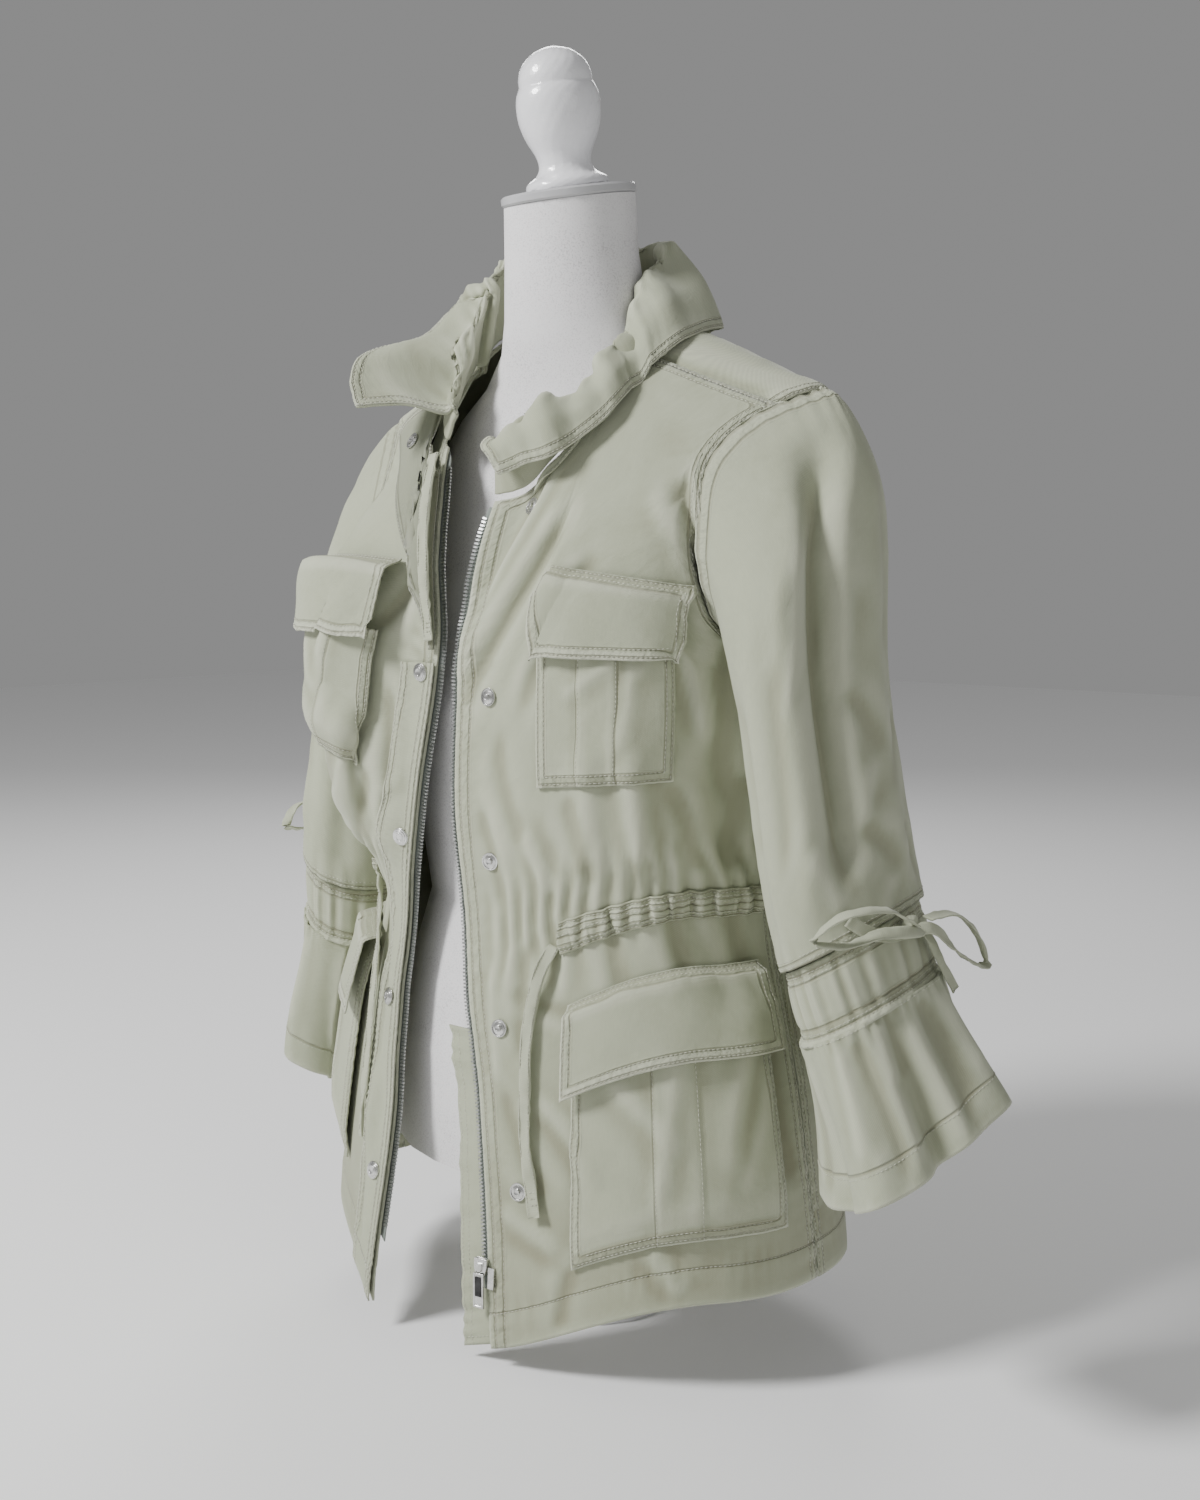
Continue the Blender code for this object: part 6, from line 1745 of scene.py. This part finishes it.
leftSurface, rightSurface = Surface(leftFront), Surface(rightFront)
lines = pair(leftSurface, "first", 5.5, gap=8.0) + [leftSurface.inset("low", hemAway)]
lines += pair(leftSurface, "last", 2.2, 0.5, 1.0) + pair(leftSurface, "last", 2.2, 0.0, 0.5)
lines += pair(leftSurface, "high", 2.2, 0.30, 1.0)
addStitches("front_left_stitching", lines)
lines = (
    [rightSurface.inset("low", hemAway, 0.0, 0.80)] + pair(rightSurface, "first", 2.2)
    + pair(rightSurface, "high", 2.2, 0.0, 0.86)
)
lines += pair(rightSurface, "last", 4.0, 0.5, 1.0)
addStitches("front_right_stitching", lines)
backSurface = Surface(backPoints)
lines = [backSurface.inset("low", hemAway)] + pair(backSurface, "high", 2.2)
lines += pair(backSurface, "first", 2.2) + pair(backSurface, "last", 2.2)
addStitches("back_stitching", lines)
yokeSurface = Surface(yokePoints)
addStitches("yoke_stitching", pair(yokeSurface, "low", 2.2) + pair(yokeSurface, "high", 3.0, gap=4.0))
placketSurface = Surface(placket)
lines = pair(placketSurface, "last", 2.2) + pair(placketSurface, "first", 2.2)
lines.append(placketSurface.inset("low", 20.0))
addStitches("placket_right_stitching", lines)
collarSurface = Surface(collarPoints)
lines = pair(collarSurface, "low", 2.2) + pair(collarSurface, "first", 2.2, 0.0, 0.92)
lines += pair(collarSurface, "last", 2.2, 0.0, 0.92)
addStitches("collar_stitching", lines)
for side, (sleeve, cuff, casing) in {
    "left": (leftSleeve, leftCuff, leftCasing),
    "right": (rightSleeve, rightCuff, rightCasing),
}.items():
    surface = Surface(sleeve, wraps=True)
    addStitches(f"sleeve_{side}_stitching", pair(surface, "low", 2.0, gap=4.0))
    surface = Surface(cuff, wraps=True)
    addStitches(f"cuff_{side}_stitching", [surface.inset("low", 20.0), surface.inset("high", 2.0)])
    surface = Surface(casing, wraps=True)
    addStitches(
        f"cuff_casing_{side}_stitching",
        pair(surface, "low", 5.0, gap=3.0) + pair(surface, "high", 5.0, gap=3.0),
    )
for side, (points, wearAndShade) in waistCasings.items():
    surface = Surface(points)
    rows = [surface.inset("low", distance) for distance in (2.5, 5.0)] + [
        surface.inset("high", distance) for distance in (2.5, 5.0)
    ]
    addStitches(f"waist_casing_{side}_stitching", rows + [surface.inset("low", 13.5)])
for pocketName, (body, flap) in pockets.items():
    kind, side = pocketName.split("_")
    surface = Surface(body[0])
    lines = []
    for distance in needleRows:
        share = distance / 150
        lines += [surface.inset("first", distance, share), surface.inset("last", distance, share)]
        lines.append(surface.inset("low", distance, distance / 110, 1 - distance / 110))
    first, last = pocketTable["turn"][pocketTable["name"].index(pocketName)]
    for edge in pocketTable["pleat"][pocketTable["name"].index(pocketName)]:
        place = (edge - first) / (last - first)
        place = place if side == "left" else 1 - place
        rows = np.arange(pocketValues["levels"], dtype=float)
        lines.append(surface.sample(rows, np.full(len(rows), place * (pocketValues["columns"] - 1))))
    addStitches(f"{kind}_pocket_{side}_stitching", lines)
    surface = Surface(flap[0])
    lines = []
    for distance in needleRows:
        share = distance / 60
        lines += [
            surface.inset("first", distance, share, 1 - share * 0.4),
            surface.inset("last", distance, share, 1 - share * 0.4),
        ]
        lines.append(surface.inset("low", distance, distance / 110, 1 - distance / 110))
        lines.append(surface.inset("high", distance * 0.8, 0.02, 0.98))
    addStitches(f"{kind}_flap_{side}_stitching", lines)
tabSurface = Surface(tab, tabNormals)
addStitches(
    "collar_tab_left_stitching", [tabSurface.inset(edge, 1.8) for edge in ("low", "high", "first", "last")]
)
cornerSurface = Surface(corner, cornerNormals)
addStitches(
    "placket_corner_right_stitching",
    pair(cornerSurface, "high", 2.0) + [cornerSurface.inset("first", 2.0)],
)
guardSurface = Surface(guard)
addStitches("zip_guard_left_stitching", pair(guardSurface, "first", 2.0) + [guardSurface.inset("low", 6.0)])
print("stitched")


# hard pieces are modelled at the origin, then set in place
def deselect():
    if bpy.context.object and bpy.context.object.mode != "OBJECT":
        bpy.ops.object.mode_set(mode="OBJECT")
    bpy.ops.object.select_all(action="DESELECT")


def pickFaces(piece, test):
    mesh = piece.data
    for item in list(mesh.vertices) + list(mesh.edges) + list(mesh.polygons):
        item.select = False
    for polygon in mesh.polygons:
        polygon.select = bool(test(polygon.center, polygon.normal))


def editFaces(piece, test, steps):
    bpy.ops.object.mode_set(mode="OBJECT")
    pickFaces(piece, test)
    bpy.ops.object.mode_set(mode="EDIT")
    bpy.ops.mesh.select_mode(type="FACE")
    for step in steps:
        step()
    bpy.ops.object.mode_set(mode="OBJECT")


def inset(amount, depth=0.0):
    return lambda: bpy.ops.mesh.inset(thickness=amount, depth=depth)


def pushed(amount):
    return lambda: bpy.ops.mesh.extrude_region_shrink_fatten(TRANSFORM_OT_shrink_fatten={"value": amount})


def bevelled(piece, width, segments=2, angle=35):
    modifier = piece.modifiers.new("bevel", "BEVEL")
    modifier.width = width
    modifier.segments = segments
    modifier.limit_method = "ANGLE"
    modifier.angle_limit = math.radians(angle)
    modifier.use_clamp_overlap = True
    deselect()
    piece.select_set(True)
    bpy.context.view_layer.objects.active = piece
    bpy.ops.object.modifier_apply(modifier=modifier.name)
    bpy.ops.object.shade_smooth_by_angle(angle=math.radians(35))


def dressed(piece, look):
    piece.data.materials.clear()
    piece.data.materials.append(look)


# a box about the origin, ready to be modelled further
def addBlock(wide, long, deep):
    deselect()
    bpy.ops.mesh.primitive_cube_add(size=1.0)
    piece = bpy.context.object
    piece.scale = (wide, long, deep)
    bpy.ops.object.transform_apply()
    return piece


def settle(piece, centre, axes):
    matrix = np.eye(4)
    matrix[:3, :3] = np.array(axes, float).T
    matrix[:3, 3] = centre
    piece.data.transform(Matrix(matrix.tolist()))
    piece.matrix_world = Matrix.Identity(4)


def axesFor(normal, up=(0.0, 0.0, 1.0)):
    normal = np.asarray(normal, float) / np.linalg.norm(normal)
    side = np.cross(up, normal)
    side /= np.linalg.norm(side)
    return side, np.cross(normal, side), normal


snapValues = {"radius": 0.0062, "tall": 0.0012}


# every snap part is a disc, worked from its top face in steps of an inset and a push
def makeDisc(vertices, radius, tall, steps, bevel=(0.00018, 2, 35), crown=()):
    deselect()
    bpy.ops.mesh.primitive_cylinder_add(
        vertices=vertices, radius=radius, depth=tall, location=(0, 0, tall / 2)
    )
    piece = bpy.context.object
    bpy.ops.object.transform_apply()
    editFaces(piece, lambda c, n: n.z > 0.9, steps)
    if crown:
        top = max(polygon.center.z for polygon in piece.data.polygons)
        editFaces(piece, lambda c, n: n.z > 0.9 and c.z > top - 0.0001, crown)
    bevelled(piece, *bevel)
    return piece


def stepsOf(*amounts):
    return [(pushed if i % 2 else inset)(amount) for i, amount in enumerate(amounts)]


def placeCopy(source, name, centre, normal, look):
    piece = source.copy()
    piece.data = source.data.copy()
    piece.name = piece.data.name = name + "_metal"
    scene.collection.objects.link(piece)
    settle(piece, centre, axesFor(normal))
    dressed(piece, look)
    handOver(piece, [name])


snapLevels = {"left": (0.225, 0.470, 0.715, 0.955, 1.88), "right": (0.165, 0.420, 0.715, 0.985)}
snapRadius = snapValues["radius"]
stud = makeDisc(
    40,
    snapRadius,
    snapValues["tall"],
    stepsOf(0.0010, -0.0005, 0.0008, 0.0004, 0.0022, 0.0012),
    crown=stepsOf(-0.0003, 0.0008, 0.0005, -0.0003),
)
capSteps = stepsOf(0.0004, 0.0007, 0.0012, 0.0006, 0.0014, 0.0003, 0.0010, -0.0003)
cap = makeDisc(44, snapRadius + 0.0003, 0.0011, capSteps, (0.00025, 3, 20))
socket = makeDisc(40, snapRadius, snapValues["tall"], stepsOf(0.0014, 0.0006, 0.0012, -0.0014))
for number, level in enumerate(snapLevels["left"]):
    point, normal = leftPanel.at(0.14, level)
    placeCopy(stud, f"snap_stud_{number + 1}", point + normal * 0.0004, normal, metal)
capShare = (0.93 - 0.81) / 0.19
for number, level in enumerate(snapLevels["right"]):
    place = np.array([level * (placket.shape[0] - 1)]), np.array([capShare * (placket.shape[1] - 1)])
    point, normal = placketSurface.sample(*place)
    placeCopy(cap, f"snap_cap_{number + 1}", point[0] + normal[0] * 0.0003, normal[0], metal)
place = np.array([0.83 * (corner.shape[0] - 1)]), np.array([0.5 * (corner.shape[1] - 1)])
point, normal = cornerSurface.sample(*place)
placeCopy(socket, "snap_socket", point[0] + normal[0] * 0.0003, normal[0], metal)
for source in (stud, cap, socket):
    bpy.data.objects.remove(source, do_unlink=True)
print("snaps set")

# zip teeth, modelled once and run along each tape
teethValues = {"pitch": 0.0026, "wide": 0.0030, "long": 0.0013, "tall": 0.0016}


def makeTooth():
    piece = addBlock(teethValues["wide"], teethValues["long"], teethValues["tall"])
    editFaces(piece, lambda c, n: n.x > 0.9, [inset(0.0002), pushed(0.0005)])
    editFaces(piece, lambda c, n: n.z > 0.9 and c.x < 0.0012, [inset(0.0002), pushed(-0.0002)])
    return piece


def addTeeth(name, tape, atStart, start, end):
    tooth = makeTooth()
    surface = Surface(tape)
    line, normals = surface.inset("first" if atStart else "last", 0.6)
    along = lengthsAlong(line)
    total = int(along[-1] * (end - start) / teethValues["pitch"])
    places = along[-1] * start + np.arange(total) * teethValues["pitch"]
    points = np.stack([np.interp(places, along, line[:, k]) for k in range(3)], -1)
    ups = np.stack([np.interp(places, along, normals[:, k]) for k in range(3)], -1)
    ways = np.gradient(points, axis=0)
    pieces = []
    for point, up, way in zip(points, ups, ways):
        up, way = up / np.linalg.norm(up), way / np.linalg.norm(way)
        side = np.cross(way, up)
        side /= np.linalg.norm(side)
        copy = tooth.copy()
        copy.data = tooth.data.copy()
        scene.collection.objects.link(copy)
        settle(copy, point + up * 0.0004, (side, way, up))
        pieces.append(copy)
    bpy.data.objects.remove(tooth, do_unlink=True)
    deselect()
    for piece in pieces:
        piece.select_set(True)
    bpy.context.view_layer.objects.active = pieces[0]
    bpy.ops.object.join()
    made = bpy.context.object
    made.name = made.data.name = name
    dressed(made, toothLook)
    handOver(made, [])


toothLook = metalMaterial("tooth_metal", (0.60, 0.61, 0.59, 1), (0.34, 0.35, 0.34, 1), 0.32)
addTeeth("zip_teeth_left", leftTape, True, 0.02, 0.99)
addTeeth("zip_teeth_right", rightTape, False, 0.02, 0.99)
print("teeth set")


# slider, its second metal piece and the pull tab
sliderCentre = np.array([0.02550387, -0.14689865, 0.07092352])
sliderNormal = np.array([0.13506169, -0.98755844, 0.08053988])
pullCentre = np.array([0.02596308, -0.15025635, 0.05469736])
sliderValues = {"wide": 0.0106, "deep": 0.0034, "long": 0.0116, "bridge": 0.0019}
pullValues = {"wide": 0.0085, "deep": 0.0016, "long": 0.0250, "frame": 0.0013}


def makeSlider(values):
    piece = addBlock(values["wide"], values["long"], values["deep"])
    bpy.ops.object.mode_set(mode="EDIT")
    bpy.ops.mesh.select_all(action="SELECT")
    bpy.ops.mesh.bisect(plane_co=(0, 0, 0), plane_no=(0, 1, 0))
    bpy.ops.object.mode_set(mode="OBJECT")
    # the lower end is narrower, and the body is hollowed at both ends for the teeth
    editFaces(piece, lambda c, n: n.y < -0.9, [shrunkEnd])
    editFaces(piece, lambda c, n: n.y > 0.9, [inset(0.0007), pushed(-0.0040)])
    editFaces(piece, lambda c, n: n.y < -0.9 and abs(c.y) > 0.004, [inset(0.0007), pushed(-0.0030)])
    editFaces(piece, lambda c, n: n.z > 0.9, [inset(0.0028), pushed(values["bridge"])])
    bevelled(piece, 0.0004, 3)
    return piece


def shrunkEnd():
    bpy.ops.transform.resize(value=(0.72, 1.0, 1.0), center_override=(0, 0, 0))


def setInPlace(piece, name, centre, axes, look, nodes, body="jacket_on_form"):
    piece.name = piece.data.name = name
    settle(piece, centre, axes)
    dressed(piece, look)
    handOver(piece, nodes, body)


setInPlace(
    makeSlider(sliderValues), "zip_slider_body", sliderCentre, axesFor(sliderNormal), metal, ["zip_slider"]
)


def makePull(values):
    piece = addBlock(values["wide"], values["long"], values["deep"])
    editFaces(piece, lambda c, n: abs(n.z) > 0.9, [inset(values["frame"]), inset(0.0002, -0.0004)])
    bevelled(piece, 0.0003, 3)
    return piece


pullOut = np.array([sliderNormal[0], sliderNormal[1], 0.0])
pullOut /= np.linalg.norm(pullOut)
pullAxes = (np.cross([0, 0, 1.0], pullOut), (0, 0, 1.0), pullOut)
setInPlace(makePull(pullValues), "zip_pull_tab", pullCentre, pullAxes, metal, ["zip_pull"], "pull")


def makePlate(wide, long, deep):
    piece = addBlock(wide, long, deep)
    editFaces(piece, lambda c, n: n.z > 0.9, [inset(0.0005, -0.0001)])
    bevelled(piece, 0.0002, 2)
    return piece


inlayCentre = pullCentre + pullOut * 0.0007 + np.array([0, 0, 0.0028])
setInPlace(
    makePlate(0.0052, 0.0140, 0.0006), "zip_pull_inlay", inlayCentre, pullAxes, darkMetal, [], "pull"
)
# the second metal piece hangs beside the slider on the tape
endRight = np.cross([0, 0, 1.0], -sliderNormal)
endCentre = sliderCentre - endRight * 0.0085 + np.array([0, 0, -0.0070])
setInPlace(makePlate(0.0050, 0.0150, 0.0022), "zip_end_plate", endCentre, axesFor(sliderNormal), metal, [])
print("slider and pull set")

# dress form and stand keep their own shape


def formMaterial():
    made, tree, shader, add = nodeMaker("speckled_form_cloth")
    place = add("ShaderNodeTexCoord").outputs["Object"]
    speck = add(
        "ShaderNodeTexNoise", {"Vector": place, "Scale": 900.0, "Detail": 3.0, "Roughness": 0.7}
    ).outputs[0]
    cloud = add("ShaderNodeTexNoise", {"Vector": place, "Scale": 30.0, "Detail": 3.0}).outputs[0]
    colour = mixed(add, ramped(add, speck, 0.50, 0.66), (0.80, 0.785, 0.79, 1), (0.47, 0.45, 0.46, 1))
    colour = mixed(add, ramped(add, cloud, 0.2, 0.9), colour, (0.84, 0.83, 0.83, 1))
    tree.links.new(colour, shader.inputs["Base Color"])
    shader.inputs["Roughness"].default_value = 0.9
    shader.inputs["Sheen Weight"].default_value = 0.15
    tree.links.new(
        add("ShaderNodeBump", {"Strength": 0.35, "Distance": 0.0003, "Height": speck}).outputs[0],
        shader.inputs["Normal"],
    )
    return made


def glossMaterial(name, pale, soft, rough, coat):
    made, tree, shader, add = nodeMaker(name)
    place = add("ShaderNodeTexCoord").outputs["Object"]
    cloud = add("ShaderNodeTexNoise", {"Vector": place, "Scale": 45.0, "Detail": 4.0}).outputs[0]
    tree.links.new(mixed(add, ramped(add, cloud, 0.3, 0.7), soft, pale), shader.inputs["Base Color"])
    tree.links.new(
        add("ShaderNodeMapRange", {0: cloud, 1: 0.3, 2: 0.7, 3: rough, 4: rough + 0.08}).outputs[0],
        shader.inputs["Roughness"],
    )
    shader.inputs["Coat Weight"].default_value = coat
    shader.inputs["Coat Roughness"].default_value = 0.12
    return made


formCloth = formMaterial()
gloss = glossMaterial("white_gloss", (0.90, 0.90, 0.92, 1), (0.85, 0.85, 0.87, 1), 0.22, 0.6)
plateGloss = glossMaterial("grey_plate", (0.52, 0.52, 0.53, 1), (0.46, 0.46, 0.47, 1), 0.35, 0.2)
standPaint = glossMaterial("stand_paint", (0.80, 0.80, 0.80, 1), (0.74, 0.74, 0.75, 1), 0.38, 0.1)


def smoothingNodes(sharpest):
    group = bpy.data.node_groups.new("soft_shading", "GeometryNodeTree")
    group.interface.new_socket("Geometry", in_out="INPUT", socket_type="NodeSocketGeometry")
    group.interface.new_socket("Geometry", in_out="OUTPUT", socket_type="NodeSocketGeometry")
    kinds = (
        "NodeGroupInput",
        "GeometryNodeMergeByDistance",
        "GeometryNodeRemoveAttribute",
        "GeometryNodeSetShadeSmooth",
        "GeometryNodeSetShadeSmooth",
        "NodeGroupOutput",
    )
    row = [group.nodes.new(kind) for kind in kinds]
    row[1].inputs["Distance"].default_value = 0.00005
    row[2].inputs["Name"].default_value = "custom_normal"
    row[4].domain = "EDGE"
    bend = group.nodes.new("GeometryNodeInputMeshEdgeAngle")
    gentle = group.nodes.new("FunctionNodeCompare")
    gentle.operation = "LESS_THAN"
    gentle.inputs["B"].default_value = math.radians(sharpest)
    group.links.new(bend.outputs["Unsigned Angle"], gentle.inputs["A"])
    group.links.new(gentle.outputs["Result"], row[4].inputs["Shade Smooth"])
    for before, after in zip(row[:-1], row[1:]):
        group.links.new(before.outputs[0], after.inputs[0])
    return group


softShading = smoothingNodes(40.0)


def refine(node, look, levels=0):
    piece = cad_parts[node]
    piece.data.materials.clear()
    piece.data.materials.append(look)
    if levels:
        joined = piece.modifiers.new("joined", "WELD")
        joined.merge_threshold = 0.00005
        rounded = piece.modifiers.new("rounded", "SUBSURF")
        rounded.levels = rounded.render_levels = levels
    else:
        piece.modifiers.new("soft_shading", "NODES").node_group = softShading


refine("form_torso", formCloth)
refine("form_finial", gloss, 2)
refine("form_neck_plate", plateGloss)
refine("stand_base", standPaint)
refine("stand_pole", standPaint)
print("form finished")

# floor and lights
stageValues = {"floor": (0.95, 0.95, 0.95, 1), "key": 96.0, "fill": 5.0, "rim": 18.0, "sky": 0.27}


def addFloor():
    bpy.ops.mesh.primitive_plane_add(size=12.0, location=(0, 0, -0.0004))
    floor = bpy.context.object
    floor.name = "floor"
    bpy.ops.object.transform_apply()
    made, tree, shader, add = nodeMaker("pale_floor")
    shader.inputs["Base Color"].default_value = stageValues["floor"]
    shader.inputs["Roughness"].default_value = 0.95
    floor.data.materials.append(made)


def addLight(name, place, target, size, power):
    data = bpy.data.lights.new(name, "AREA")
    data.shape = "DISK"
    data.size = size
    data.energy = power
    light = bpy.data.objects.new(name, data)
    light.location = place
    light.rotation_euler = (Vector(target) - Vector(place)).to_track_quat("-Z", "Y").to_euler()
    scene.collection.objects.link(light)


addFloor()
addLight("key", (-1.0, -1.9, 2.1), (0, 0, 0.45), 0.7, stageValues["key"])
addLight("fill", (2.3, -0.7, 1.1), (0, 0, 0.4), 1.4, stageValues["fill"])
addLight("rim", (-1.4, 1.6, 1.9), (0, 0, 0.5), 1.0, stageValues["rim"])
world = bpy.data.worlds.new("studio")
world.use_nodes = True
world.node_tree.nodes["Background"].inputs["Color"].default_value = (1.0, 1.0, 1.0, 1.0)
world.node_tree.nodes["Background"].inputs["Strength"].default_value = stageValues["sky"]
scene.world = world
print("lit")
